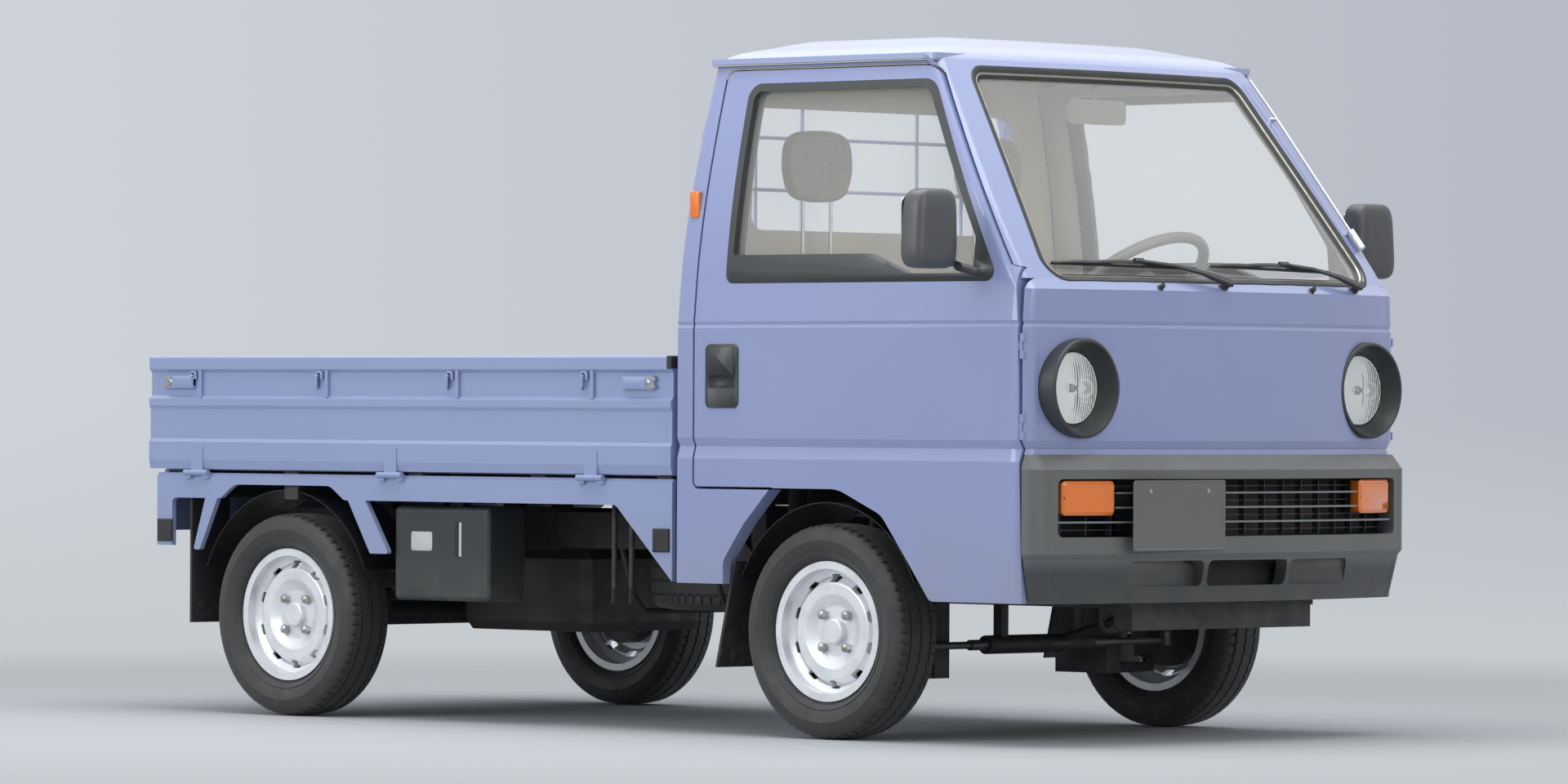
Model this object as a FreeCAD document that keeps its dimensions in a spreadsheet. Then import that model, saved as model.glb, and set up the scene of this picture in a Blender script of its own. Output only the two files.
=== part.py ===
"""A small cab-over pickup truck with a drop-side load bed.

Millimetres. +X points to the front of the truck, +Y to its left, +Z up. The origin is on the
ground at the middle of the truck's length and width. Driving sizes live on the sheet "sizes".
"""
import FreeCAD, Part
import math
import os
import re

from FreeCAD import Placement, Rotation, Vector

doc = FreeCAD.newDocument("kei_truck")
sheet = doc.addObject("Spreadsheet::Sheet", "sizes")


class Sizes:
    """The sheet's values by their aliases."""


size = Sizes()


def named(**values):
    """Writes named sizes to the sheet, one cell each."""
    for alias, value in values.items():
        cell = "A%d" % (len(vars(size)) + 1)
        sheet.set(cell, str(value))
        sheet.setAlias(cell, alias)
        setattr(size, alias, float(value))


def worked_out(**formulas):
    """Writes sizes that follow from others to the sheet, as formulas in its aliases."""
    for alias, formula in formulas.items():
        cell = "A%d" % (len(vars(size)) + 1)
        sheet.set(cell, "=" + formula)
        sheet.setAlias(cell, alias)
        sheet.recompute()
        setattr(size, alias, float(sheet.get(alias)))


def bound(formula):
    """A formula in the sheet's aliases, as an expression for a feature."""
    return re.sub(r"[a-z][a-z_]+", lambda word: "sizes." + word.group(), formula)


subparts = []


def subpart(label, thing):
    """Makes thing a named sub-part. A bare shape gets a feature of its own."""
    if isinstance(thing, Part.Shape):
        feature = doc.addObject("Part::Feature", label)
        feature.Shape = thing
        feature.Placement = thing.Placement
        thing = feature
    thing.Label = label
    subparts.append(thing)
    return thing


# Shapes that several sections use

def block(name, x, y, z):
    """A box in the document between two faces on each axis, each an expression on the sheet."""
    box = doc.addObject("Part::Box", name)
    for prop, axis, (low, high) in (("Length", "x", x), ("Width", "y", y), ("Height", "z", z)):
        box.setExpression(prop, bound("(%s) - (%s)" % (high, low)))
        box.setExpression("Placement.Base." + axis, bound(low))
    return box


def joined(name, things):
    """Features of the document fused into one."""
    fuse = doc.addObject("Part::MultiFuse", name)
    fuse.Shapes = things
    return fuse


def grouped(name, things):
    """Features of the document kept as separate solids of one sub-part."""
    group = doc.addObject("Part::Compound", name)
    group.Links = things
    return group


def mirrored(thing):
    """The same feature on the other side of the truck."""
    other = doc.addObject("Part::Mirroring", thing.Name + "_other_side")
    other.Source = thing
    other.Normal = Vector(0, 1, 0)
    return other


def rod_between(start, end, radius):
    """A round bar from one point to another."""
    run = end - start
    return Part.makeCylinder(radius, run.Length, start, run)


def bent_rod(points, radius):
    """A round bar along straight runs, with a ball at each bend."""
    runs = [rod_between(a, b, radius) for a, b in zip(points, points[1:])]
    bends = [Part.makeSphere(radius, p) for p in points[1:-1]]
    return runs[0].multiFuse(runs[1:] + bends) if len(runs) > 1 else runs[0]


def brick(x, y, z):
    """A plain box between two faces on each axis."""
    low = Vector(x[0], y[0], z[0])
    return Part.makeBox(x[1] - x[0], y[1] - y[0], z[1] - z[0], low)


def rounded_wire(points, place):
    """A closed outline through (a, b) or (a, b, radius) corners, put in space by place(a, b)."""
    count = len(points)
    edges = []
    joints = []
    for i, corner in enumerate(points):
        here = Vector(corner[0], corner[1], 0)
        radius = corner[2] if len(corner) > 2 else 0.0
        before = Vector(points[i - 1][0], points[i - 1][1], 0)
        after = Vector(points[(i + 1) % count][0], points[(i + 1) % count][1], 0)
        if not radius:
            joints.append((here, None, here))
            continue
        back = (before - here).normalize()
        ahead = (after - here).normalize()
        half_angle = back.getAngle(ahead) / 2
        reach = radius / math.tan(half_angle)
        centre = here + (back + ahead).normalize() * (radius / math.sin(half_angle))
        middle = centre + (here - centre).normalize() * radius
        joints.append((here + back * reach, middle, here + ahead * reach))
    for i, (start, middle, end) in enumerate(joints):
        if middle is not None:
            arc = [place(p.x, p.y) for p in (start, middle, end)]
            edges.append(Part.Arc(*arc).toShape())
        after = joints[(i + 1) % count][0]
        if (after - end).Length > 1e-6:
            edges.append(Part.LineSegment(place(end.x, end.y), place(after.x, after.y)).toShape())
    return Part.Wire(edges)


def side_prism(points, y_low, y_high):
    """An XZ outline carried along Y."""
    wire = rounded_wire(points, lambda x, z: Vector(x, y_low, z))
    return Part.Face(wire).extrude(Vector(0, y_high - y_low, 0))


def front_prism(points, x_low, x_high):
    """A YZ outline carried along X."""
    wire = rounded_wire(points, lambda y, z: Vector(x_low, y, z))
    return Part.Face(wire).extrude(Vector(x_high - x_low, 0, 0))


def plan_prism(points, z_low, z_high):
    """An XY outline carried along Z."""
    wire = rounded_wire(points, lambda x, y: Vector(x, y, z_low))
    return Part.Face(wire).extrude(Vector(0, 0, z_high - z_low))


def turned(section, centre):
    """A section of (radius, y) points, rounded where a third value says so, turned about the Y axis."""
    wire = rounded_wire(section, lambda r, y: Vector(r, y, 0))
    solid = Part.Face(wire).revolve(Vector(), Vector(0, 1, 0), 360)
    return solid.translated(centre)


def flipped(shape):
    """The same piece on the other side of the truck."""
    return shape.mirror(Vector(), Vector(0, 1, 0))


def both_sides(shape):
    """A piece and its mirror image, as solids that don't touch."""
    return Part.makeCompound([shape, flipped(shape)])


def solids_of(shape):
    """A clean compound or solid out of a boolean's result."""
    found = shape.Solids
    return found[0] if len(found) == 1 else Part.makeCompound(found)


# The whole truck. Places along it are counted from the front axle.
named(wheelbase=1900, front_overhang=787, rear_overhang=508, track=1200, body_width=1380)
named(panel_gap=6, wall=42, overrun=60, seat_gap=0.3, small_round=6, fair_round=14, large_round=24)
worked_out(front_axle="(wheelbase + rear_overhang - front_overhang) / 2")
worked_out(rear_axle="front_axle - wheelbase")
worked_out(nose="front_axle + front_overhang", tail="rear_axle - rear_overhang")
worked_out(half="body_width / 2", wheel_y="track / 2")
FRONT_AXLE = size.front_axle
REAR_AXLE = size.rear_axle
NOSE = size.nose
TAIL = size.tail
HALF = size.half
WHEEL_Y = size.wheel_y


# Wheels: a pressed steel disc wheel with vent slots, and a light-truck tyre round it
named(tyre_radius=260, tyre_width=148, tyre_bead_radius=158, tread_groove=5, shoulder_radius=22)
named(rim_flange_radius=169, rim_width=106, rim_seat_radius=156, rim_well_radius=132, rim_sheet=5)
named(disc_offset=18, disc_sheet=7, disc_bulge=15, disc_bulge_radius=112, hub_face_radius=62)
named(hub_bore_radius=30, lug_circle_radius=55, lug_radius=10, lug_height=15, lug_count=4)
named(vent_count=10, vent_circle_radius=128, vent_length=30, vent_width=20, cap_radius=31, cap_height=24)


def tyre_shape():
    """The tyre about its own centre, its axis on Y."""
    half = size.tyre_width / 2
    bead = size.rim_width / 2 - size.rim_sheet - size.seat_gap
    crown = size.tyre_radius
    section = [
        (size.rim_seat_radius + size.seat_gap, -bead),
        (size.rim_flange_radius + size.rim_sheet, -bead, size.rim_sheet * 0.6),
        ((crown + size.tyre_bead_radius) / 2, -half, size.shoulder_radius * 1.5),
        (crown - size.tread_groove, -half * 0.9, size.shoulder_radius),
        (crown, 0),
        (crown - size.tread_groove, half * 0.9, size.shoulder_radius),
        ((crown + size.tyre_bead_radius) / 2, half, size.shoulder_radius * 1.5),
        (size.rim_flange_radius + size.rim_sheet, bead, size.rim_sheet * 0.6),
        (size.rim_seat_radius + size.seat_gap, bead),
    ]
    return turned(section, Vector())


def rim_shape():
    """The steel wheel about its own centre, its outer face towards -Y."""
    half = size.rim_width / 2
    seat = size.rim_seat_radius
    inside = seat - size.rim_sheet
    well = size.rim_well_radius
    flange = size.rim_flange_radius
    barrel = turned([
        (flange, -half),
        (flange, -half + size.rim_sheet),
        (seat, -half + size.rim_sheet),
        (seat, -half * 0.45, 6),
        (well + size.rim_sheet, -half * 0.3, 6),
        (well + size.rim_sheet, half * 0.1, 6),
        (seat, half * 0.35, 6),
        (seat, half - size.rim_sheet),
        (flange, half - size.rim_sheet),
        (flange, half),
        (inside, half),
        (inside, half * 0.4, 6),
        (well, half * 0.15, 6),
        (well, -half * 0.35, 6),
        (inside, -half * 0.5, 6),
        (inside, -half),
    ], Vector())
    face = -size.disc_offset
    bulge = face - size.disc_bulge
    sheet_y = size.disc_sheet
    edge = well + size.seat_gap * 2
    disc = turned([
        (size.hub_bore_radius, face),
        (size.hub_face_radius, face, 4),
        (size.disc_bulge_radius - 22, bulge, 10),
        (size.disc_bulge_radius + 6, bulge, 8),
        (edge, face + sheet_y, 3),
        (edge, face + sheet_y * 2.4),
        (edge - sheet_y, face + sheet_y * 2.4),
        (size.disc_bulge_radius + 2, bulge + sheet_y * 1.3, 8),
        (size.disc_bulge_radius - 18, bulge + sheet_y * 1.3, 8),
        (size.hub_face_radius, face + sheet_y, 4),
        (size.hub_bore_radius, face + sheet_y),
    ], Vector())
    wheel = barrel.fuse(disc)
    reach = size.rim_width
    slots = []
    for i in range(int(size.vent_count)):
        slot = plan_prism([
            (size.vent_circle_radius - size.vent_width / 2, -size.vent_length / 2, 6),
            (size.vent_circle_radius + size.vent_width / 2, -size.vent_length / 2, 6),
            (size.vent_circle_radius + size.vent_width / 2, size.vent_length / 2, 6),
            (size.vent_circle_radius - size.vent_width / 2, size.vent_length / 2, 6),
        ], -size.disc_sheet, reach / 2)
        slot.rotate(Vector(), Vector(1, 0, 0), 90)
        slot.rotate(Vector(), Vector(0, 1, 0), (i + 0.5) * 360 / size.vent_count)
        slots.append(slot)
    wheel = wheel.cut(slots)
    lugs = []
    for i in range(int(size.lug_count)):
        lug = Part.makeCylinder(size.lug_radius, size.lug_height, Vector(size.lug_circle_radius, face, 0), Vector(0, -1, 0))
        lug.rotate(Vector(), Vector(0, 1, 0), (i + 0.5) * 360 / size.lug_count)
        lugs.append(lug)
    cap = Part.makeCylinder(size.cap_radius, size.cap_height, Vector(0, face + size.disc_sheet, 0), Vector(0, -1, 0))
    cap = cap.makeFillet(5, [e for e in cap.Edges if abs(e.CenterOfMass.y - face - size.disc_sheet + size.cap_height) < 0.1])
    wheel = wheel.multiFuse(lugs + [cap])
    return wheel.removeSplitter()


TYRE = tyre_shape()
RIM = rim_shape()
for corner, axle_x, side in (("front_right", FRONT_AXLE, -1), ("front_left", FRONT_AXLE, 1),
                             ("rear_right", REAR_AXLE, -1), ("rear_left", REAR_AXLE, 1)):
    place = Vector(axle_x, side * WHEEL_Y, size.tyre_radius)
    rim = RIM if side < 0 else flipped(RIM)
    subpart("tyre_" + corner, TYRE.translated(place))
    subpart("rim_" + corner, solids_of(rim.translated(place)))


# Cab shell: pressed-steel walls, made as rings at each height and lofted
named(sill_height=340, crease_height=703, crease_half=20, crease_depth=8)
named(waist_height=998, waist_half=8, waist_depth=3, cowl_height=1080, belt_height=1105)
named(roof_seam_height=1634, roof_rise=67, roof_skin=30)
named(panel_front=750, screen_base_front=728, screen_top_front=324, cab_back=485, cab_back_lean=34)
named(belt_inset=10, roof_inset=104, front_taper=12, nose_bow=2600, screen_bow=3400)
named(front_corner=46, pillar_corner=30, rear_corner=26)


def cab_ring(z, front, back, half_rear, half_front, bow, corner, rear_corner):
    """A plan outline at one height: a bowed front, rounded corners and straight sides."""
    corner_y = half_front - corner
    corner_x = front - corner_y ** 2 / (2 * bow)
    side_x = corner_x - corner
    bend = math.sqrt(0.5)

    def arc(start, centre, end):
        middle = (centre[0] + (end[0] - centre[0] + start[0] - centre[0]) * bend,
                  centre[1] + (end[1] - centre[1] + start[1] - centre[1]) * bend)
        return Part.Arc(*[Vector(p[0], p[1], z) for p in (start, middle, end)]).toShape()

    def line(start, end):
        return Part.LineSegment(Vector(start[0], start[1], z), Vector(end[0], end[1], z)).toShape()

    edges = [
        arc((back, rear_corner - half_rear), (back + rear_corner, rear_corner - half_rear), (back + rear_corner, -half_rear)),
        line((back + rear_corner, -half_rear), (side_x, -half_front)),
        arc((side_x, -half_front), (side_x, -corner_y), (corner_x, -corner_y)),
        Part.Arc(Vector(corner_x, -corner_y, z), Vector(front, 0, z), Vector(corner_x, corner_y, z)).toShape(),
        arc((corner_x, corner_y), (side_x, corner_y), (side_x, half_front)),
        line((side_x, half_front), (back + rear_corner, half_rear)),
        arc((back + rear_corner, half_rear), (back + rear_corner, half_rear - rear_corner), (back, half_rear - rear_corner)),
        line((back, half_rear - rear_corner), (back, rear_corner - half_rear)),
    ]
    return Part.Wire(edges)


def lower_ring(z, dent, inset):
    """A ring of the upright lower cab, dent deep at a crease and inset by a wall."""
    over_belt = max(0.0, (z - size.waist_height) / (size.belt_height - size.waist_height))
    half = HALF - dent - inset - size.belt_inset * over_belt
    front = FRONT_AXLE + size.panel_front - dent - inset
    if z > size.cowl_height:
        front = FRONT_AXLE + size.screen_base_front - inset
    back = FRONT_AXLE - size.cab_back + inset
    return cab_ring(z, front, back, half, half, size.nose_bow, size.front_corner, size.rear_corner)


def upper_ring(t, inset, z):
    """A ring of the raked upper cab, t from the belt at 0 to the roof seam at 1."""
    half = HALF - size.belt_inset - inset - (size.roof_inset - size.belt_inset) * t ** 1.4
    front = FRONT_AXLE + size.screen_base_front + (size.screen_top_front - size.screen_base_front) * t - inset
    back = FRONT_AXLE - size.cab_back + inset + size.cab_back_lean * t ** 1.3
    bow = size.nose_bow + (size.screen_bow - size.nose_bow) * t
    corner = size.front_corner + (size.pillar_corner - size.front_corner) * t
    return cab_ring(z, front, back, half, half - size.front_taper * t, bow, corner, size.rear_corner)


def roof_ring(angle, inset, skin):
    """A ring of the roof's crown: upright at the seam at 0 degrees and level at 90."""
    turn = math.radians(angle)
    shrink = 1 - math.cos(turn)
    length = size.screen_top_front + size.cab_back - size.cab_back_lean
    half = (HALF - size.roof_inset) * (1 - ROOF_SIDE_SHARE * shrink) - inset
    front = FRONT_AXLE + size.screen_top_front - inset - length * ROOF_FRONT_SHARE * shrink
    back = FRONT_AXLE - size.cab_back + size.cab_back_lean + inset + length * ROOF_BACK_SHARE * shrink
    z = size.roof_seam_height + (size.roof_rise - skin) * math.sin(turn) ** ROOF_FULLNESS_SHARE
    return cab_ring(z, front, back, half, half - size.front_taper, size.screen_bow, size.pillar_corner, size.rear_corner)


LOWER_LEVELS = (
    (size.sill_height, 0),
    (size.crease_height - size.crease_half * 1.5, 0),
    (size.crease_height, size.crease_depth),
    (size.crease_height + size.crease_half, 0),
    (size.waist_height - size.waist_half, 0),
    (size.waist_height, size.waist_depth),
    (size.waist_height + size.waist_half, 0),
    (size.cowl_height, 0),
    (size.belt_height, 0),
)
UPPER_STEPS = (0.0, 0.3, 0.65, 1.0)
UPPER_RISE = size.roof_seam_height - size.belt_height
ROOF_ANGLES = (0, 15, 35, 55, 75, 90)
ROOF_SIDE_SHARE = 0.62
ROOF_FRONT_SHARE = 0.46
ROOF_BACK_SHARE = 0.28
ROOF_FULLNESS_SHARE = 1.2


def cab_solid(inset, low_z):
    """The filled cab below the roof seam, inset by a wall."""
    levels = [(low_z, 0)] + list(LOWER_LEVELS[1:]) if not inset else [(low_z, 0), (size.cowl_height, 0), (size.belt_height, 0)]
    lower = Part.makeLoft([lower_ring(z, dent, inset) for z, dent in levels], True, True)
    upper = Part.makeLoft([upper_ring(t, inset, size.belt_height + UPPER_RISE * t) for t in UPPER_STEPS], True, False)
    return lower.fuse(upper)


CAB_OUTER = cab_solid(0.0, size.sill_height)
CAB_INNER = cab_solid(size.wall, size.sill_height)
CAB_WALL = CAB_OUTER.cut(CAB_INNER)


def x_from_axle(points):
    """Outline points whose places along the truck are counted from the front axle."""
    return [(FRONT_AXLE + p[0],) + tuple(p[1:]) for p in points]


# Doors: each reaches down ahead of the wheel, its lower edge cut by the wheel arch
named(door_rear=412, door_rear_top=395, door_foot=605, door_front=645, door_front_sill=652, door_top=1618)
named(pillar_foot=604, pillar_foot_height=1137, pillar_head=278, pillar_head_radius=60)
named(door_trim=2, door_front_inset=4, door_nose_inset=20, door_reach=146, arch_front_radius=70, arch_top_radius=120)
named(arch_top=603, arch_front_foot=367, arch_back=151, arch_back_foot=313)


def door_outline(grow):
    """The door's outline in side view, grown outwards by grow for the opening round it."""
    g = grow
    return x_from_axle([
        (-size.door_rear - g, size.door_foot - g, size.fair_round + g),
        (-size.door_rear - g, size.belt_height),
        (-size.door_rear_top - g, size.door_top + g, size.large_round + g),
        (size.pillar_head + g, size.door_top + g, size.pillar_head_radius),
        (size.pillar_foot + g, size.pillar_foot_height),
        (size.door_front - size.door_nose_inset + g, size.pillar_foot_height - size.small_round),
        (size.door_front - size.door_front_inset + g, size.waist_height),
        (size.door_front + g, size.crease_height),
        (size.door_front_sill + g, size.sill_height - g),
        (size.arch_front_foot, size.sill_height - g, size.large_round),
        (size.arch_front_foot * 0.82, size.arch_top * 0.707, size.arch_front_radius),
        (size.arch_front_foot * 0.57, size.arch_top * 0.9, size.arch_front_radius),
        (size.arch_front_foot * 0.18, size.arch_top, size.arch_top_radius),
        (-size.arch_back, size.arch_top),
        (-size.arch_back, size.door_foot - g),
    ])


named(window_rear=318, window_top=1586, window_foot=1098, window_front_top=285, window_front_foot=576)
named(seal_width=20, glass_thickness=4, trim_step=132, trim_step_end=264, trim_height=69, mirror_sail=490)
named(glass_inset=16)
WINDOW = x_from_axle([
    (-size.window_rear, size.window_foot, 24),
    (-size.window_rear, size.window_top, 40),
    (size.window_front_top, size.window_top, 60),
    (size.window_front_foot, size.window_foot, 24),
])
WINDOW_SLOPE = (size.window_front_foot - size.window_front_top) / (size.window_top - size.window_foot)
SAIL_HEIGHT = size.window_top - (size.mirror_sail + size.seal_width * 1.2 - size.window_front_top) / WINDOW_SLOPE
DOOR_GLASS = x_from_axle([
    (-size.window_rear + size.seal_width, size.window_foot + size.trim_height, 6),
    (-size.window_rear + size.seal_width, size.window_top - size.seal_width, 24),
    (size.window_front_top - size.seal_width * 0.8, size.window_top - size.seal_width, 44),
    (size.mirror_sail, SAIL_HEIGHT, 6),
    (size.mirror_sail, size.window_foot + size.seal_width, 6),
    (size.trim_step_end, size.window_foot + size.seal_width, 10),
    (size.trim_step, size.window_foot + size.trim_height, 10),
])
named(screen_half_top=488, screen_half_foot=598, screen_top=1612, screen_foot=1106, screen_radius=46)
screen_hole = front_prism([
    (-size.screen_half_foot, size.screen_foot, size.screen_radius),
    (-size.screen_half_top, size.screen_top, size.screen_radius),
    (size.screen_half_top, size.screen_top, size.screen_radius),
    (size.screen_half_foot, size.screen_foot, size.screen_radius),
], FRONT_AXLE, NOSE)
OUT = HALF + size.overrun
DOOR_DEPTH = size.door_reach - HALF
door_window = side_prism(WINDOW, -OUT, DOOR_DEPTH)
door_pane = side_prism(DOOR_GLASS, -OUT, DOOR_DEPTH)
door_slab = CAB_WALL.common(side_prism(door_outline(0.0), -OUT, DOOR_DEPTH)).cut(screen_hole)
corner_turn = brick((FRONT_AXLE + size.door_front - size.overrun * 2, NOSE), (size.wall + size.door_trim - HALF, 0),
                    (size.sill_height, size.cowl_height))
door_right = solids_of(door_slab.cut([door_window, corner_turn]))
glass_skin = cab_solid(size.glass_inset, size.sill_height).cut(cab_solid(size.glass_inset + size.glass_thickness, size.sill_height))
door_glass_right = solids_of(glass_skin.common(door_pane))
seal_right = CAB_WALL.common(door_window.cut(door_pane))

# Door fittings: window seal and belt trim, recessed handle and mirror on its bracket
named(handle_rear=373, handle_front=264, handle_foot=796, handle_top=951, handle_depth=10)
named(mirror_foot=1120, mirror_head_low=1125, mirror_head_high=1315, mirror_width=150, mirror_depth=72)
named(mirror_rear=440, mirror_reach=50, mirror_arm_radius=11)
handle_plate = side_prism(x_from_axle([
    (-size.handle_rear, size.handle_foot, 16),
    (-size.handle_rear, size.handle_top, 16),
    (-size.handle_front, size.handle_top, 16),
    (-size.handle_front, size.handle_foot, 16),
]), -HALF - size.handle_depth * 0.3, -HALF + size.handle_depth)
handle_pull = brick(
    (FRONT_AXLE - size.handle_rear + 14, FRONT_AXLE - size.handle_front - 14),
    (-HALF - size.handle_depth * 0.8, -HALF - size.handle_depth * 0.2),
    (size.handle_top - 75, size.handle_top - 8))
grip_hollow = brick(
    (FRONT_AXLE - size.handle_rear + 10, FRONT_AXLE - size.handle_front - 10),
    (-HALF - size.handle_depth, -HALF + size.handle_depth * 0.6),
    (size.handle_foot + 48, size.handle_top - 76))
handle = handle_plate.cut(grip_hollow).fuse(handle_pull)
door_right = door_right.cut(handle_plate)
mirror_y = -HALF - size.mirror_reach
mirror_head = plan_prism(x_from_axle([
    (size.mirror_rear, mirror_y, 12),
    (size.mirror_rear, mirror_y - size.mirror_width, 12),
    (size.mirror_rear + size.mirror_depth * 0.6, mirror_y - size.mirror_width, 26),
    (size.mirror_rear + size.mirror_depth, mirror_y - size.mirror_width * 0.6, 30),
    (size.mirror_rear + size.mirror_depth, mirror_y, 26),
]), size.mirror_head_low, size.mirror_head_high)
mirror_head = mirror_head.common(front_prism([
    (mirror_y, size.mirror_head_low, 22),
    (mirror_y - size.mirror_width, size.mirror_head_low + 14, 26),
    (mirror_y - size.mirror_width + 4, size.mirror_head_high - 6, 30),
    (mirror_y - 6, size.mirror_head_high, 30),
], FRONT_AXLE + size.mirror_rear - size.overrun, FRONT_AXLE + size.mirror_rear + size.mirror_depth + size.overrun))
arm_x = FRONT_AXLE + size.mirror_rear + size.mirror_depth * 0.5
foot_x = FRONT_AXLE + size.mirror_sail + size.seal_width * 1.6
arm = bent_rod([
    Vector(foot_x, -HALF + size.belt_inset + size.wall / 2, size.mirror_foot),
    Vector(foot_x, -HALF - size.mirror_arm_radius * 1.6, size.mirror_foot),
    Vector(arm_x, mirror_y - size.mirror_width * 0.12, size.mirror_head_low + size.mirror_arm_radius * 1.5),
], size.mirror_arm_radius)
fittings_right = seal_right.multiFuse([mirror_head, arm])
door_right = door_right.cut(arm)

# Door hinges: a barrel on the door between two on the nose panel, at two heights
named(hinge_x=648, hinge_in=8, barrel_radius=4, barrel_height=20, barrel_room=1)
named(low_hinge=755, high_hinge=945, hinge_leaf=9, leaf_half=2.5)


def barrel(middle, side):
    """One hinge barrel with its leaf, towards the nose for side 1 and the door for side -1."""
    foot = Vector(FRONT_AXLE + size.hinge_x, size.hinge_in - HALF, middle - size.barrel_height / 2)
    post = Part.makeCylinder(size.barrel_radius, size.barrel_height, foot)
    x_span = (foot.x, foot.x + size.hinge_leaf) if side > 0 else (foot.x - size.hinge_leaf, foot.x)
    leaf = brick(x_span, (foot.y - size.leaf_half, foot.y + size.leaf_half), (foot.z, foot.z + size.barrel_height))
    return post.fuse(leaf)


def barrel_space(middle):
    """The room round one hinge barrel."""
    foot = Vector(FRONT_AXLE + size.hinge_x, size.hinge_in - HALF, middle - size.barrel_height / 2 - size.seat_gap)
    return Part.makeCylinder(size.barrel_radius + size.barrel_room, size.barrel_height + size.seat_gap * 2, foot)


barrel_pitch = size.barrel_height + size.seat_gap
door_barrels = [barrel(z, -1) for z in (size.low_hinge, size.high_hinge)]
nose_heights = [z + step for z in (size.low_hinge, size.high_hinge) for step in (-barrel_pitch, barrel_pitch)]
nose_barrels = [barrel(z, 1) for z in nose_heights]
door_spaces = [barrel_space(z) for z in (size.low_hinge, size.high_hinge)]
nose_spaces = [barrel_space(z) for z in nose_heights]
door_right = door_right.cut(nose_spaces).multiFuse(door_barrels)
subpart("door_right", solids_of(door_right))
subpart("door_left", solids_of(flipped(door_right)))
subpart("door_glass_right", door_glass_right)
subpart("door_glass_left", flipped(door_glass_right))
fittings = Part.makeCompound(fittings_right.Solids + handle.Solids)
subpart("door_fittings_right", fittings)
subpart("door_fittings_left", flipped(fittings))

# Cab shell pieces: pillars and rear corners, back panel, nose panel and roof
named(quarter_foot=369, back_panel_half=560, back_panel_foot=600, bumper_top=690)
named(rear_window_half=470, rear_window_foot=1235, rear_window_top=1552, rear_window_radius=40)
named(lamp_y=529, lamp_height=847, lamp_radius=118, lamp_front=719)
CAB_BACK = FRONT_AXLE - size.cab_back
door_hole = side_prism(door_outline(size.panel_gap), -OUT, DOOR_DEPTH + size.panel_gap)
door_holes = [door_hole, flipped(door_hole)]
back_slot = brick((CAB_BACK - size.overrun, CAB_BACK + size.cab_back_lean * 2),
                  (-size.back_panel_half, size.back_panel_half),
                  (size.sill_height - size.overrun, size.roof_seam_height + size.overrun))
rear_window_hole = front_prism([
    (-size.rear_window_half, size.rear_window_foot, size.rear_window_radius),
    (-size.rear_window_half, size.rear_window_top, size.rear_window_radius),
    (size.rear_window_half, size.rear_window_top, size.rear_window_radius),
    (size.rear_window_half, size.rear_window_foot, size.rear_window_radius),
], CAB_BACK - size.overrun, CAB_BACK + size.cab_back_lean * 2)
quarter_reach = size.arch_back + size.panel_gap
under_door = side_prism(x_from_axle([
    (-quarter_reach, size.arch_top + size.overrun),
    (-quarter_reach, size.arch_top),
    (-size.arch_back_foot + 68, size.arch_top - 88, 40),
    (-size.arch_back_foot, size.quarter_foot + 56, 30),
    (-size.arch_back_foot, size.quarter_foot),
    (-size.cab_back - size.overrun, size.quarter_foot),
    (-size.cab_back - size.overrun, size.arch_top + size.overrun),
]), -OUT, OUT)
above_foot = brick((CAB_BACK - size.overrun, FRONT_AXLE - size.door_rear_top),
                   (-OUT, OUT), (size.door_foot - size.panel_gap, size.roof_seam_height))
above_belt = brick((FRONT_AXLE - size.door_rear_top, NOSE), (-OUT, OUT), (size.belt_height, size.roof_seam_height))
shell_zone = under_door.multiFuse([above_foot, above_belt])
cab_frame = CAB_WALL.common(shell_zone).cut(door_holes + [screen_hole, back_slot])
subpart("cab_frame", solids_of(cab_frame))
back_zone = back_slot.common(brick((CAB_BACK - size.overrun, CAB_BACK + size.cab_back_lean * 2),
                                   (-HALF, HALF), (size.back_panel_foot, size.roof_seam_height)))
back_panel = CAB_WALL.common(back_zone).cut(rear_window_hole)
subpart("cab_back_panel", solids_of(back_panel))
nose_zone = brick((FRONT_AXLE + size.door_front + size.panel_gap, NOSE), (-OUT, OUT), (size.bumper_top, size.belt_height))
lamp_bore = Part.makeCylinder(size.lamp_radius + size.seat_gap, size.overrun * 4,
                              Vector(FRONT_AXLE + size.lamp_front - size.overrun * 2, -size.lamp_y, size.lamp_height),
                              Vector(1, 0, 0))
nose = CAB_WALL.common(nose_zone).cut([lamp_bore, flipped(lamp_bore)] + [flipped(space) for space in door_spaces] + door_spaces)
nose = nose.multiFuse(nose_barrels + [flipped(post) for post in nose_barrels])
subpart("cab_front_panel", solids_of(nose))
screen_glass = glass_skin.common(screen_hole)
rear_glass = glass_skin.common(rear_window_hole)
subpart("cab_glass", Part.makeCompound(screen_glass.Solids + rear_glass.Solids))
roof_outer = Part.makeLoft([roof_ring(angle, 0.0, 0.0) for angle in ROOF_ANGLES], True, False)
roof_inner = Part.makeLoft([roof_ring(angle, size.wall, size.roof_skin) for angle in ROOF_ANGLES], True, False)
named(drip_height=14, drip_depth=12)
drip_outer = Part.makeLoft([upper_ring(1.0, -size.drip_depth, size.roof_seam_height + rise) for rise in (0.0, size.drip_height)], True, True)
drip_band = drip_outer.common(brick((CAB_BACK, FRONT_AXLE + size.pillar_head), (-OUT, OUT),
                                    (size.roof_seam_height, size.roof_seam_height + size.drip_height)))
roof = roof_outer.fuse(drip_band).cut(roof_inner)
subpart("cab_roof", solids_of(roof))


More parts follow.
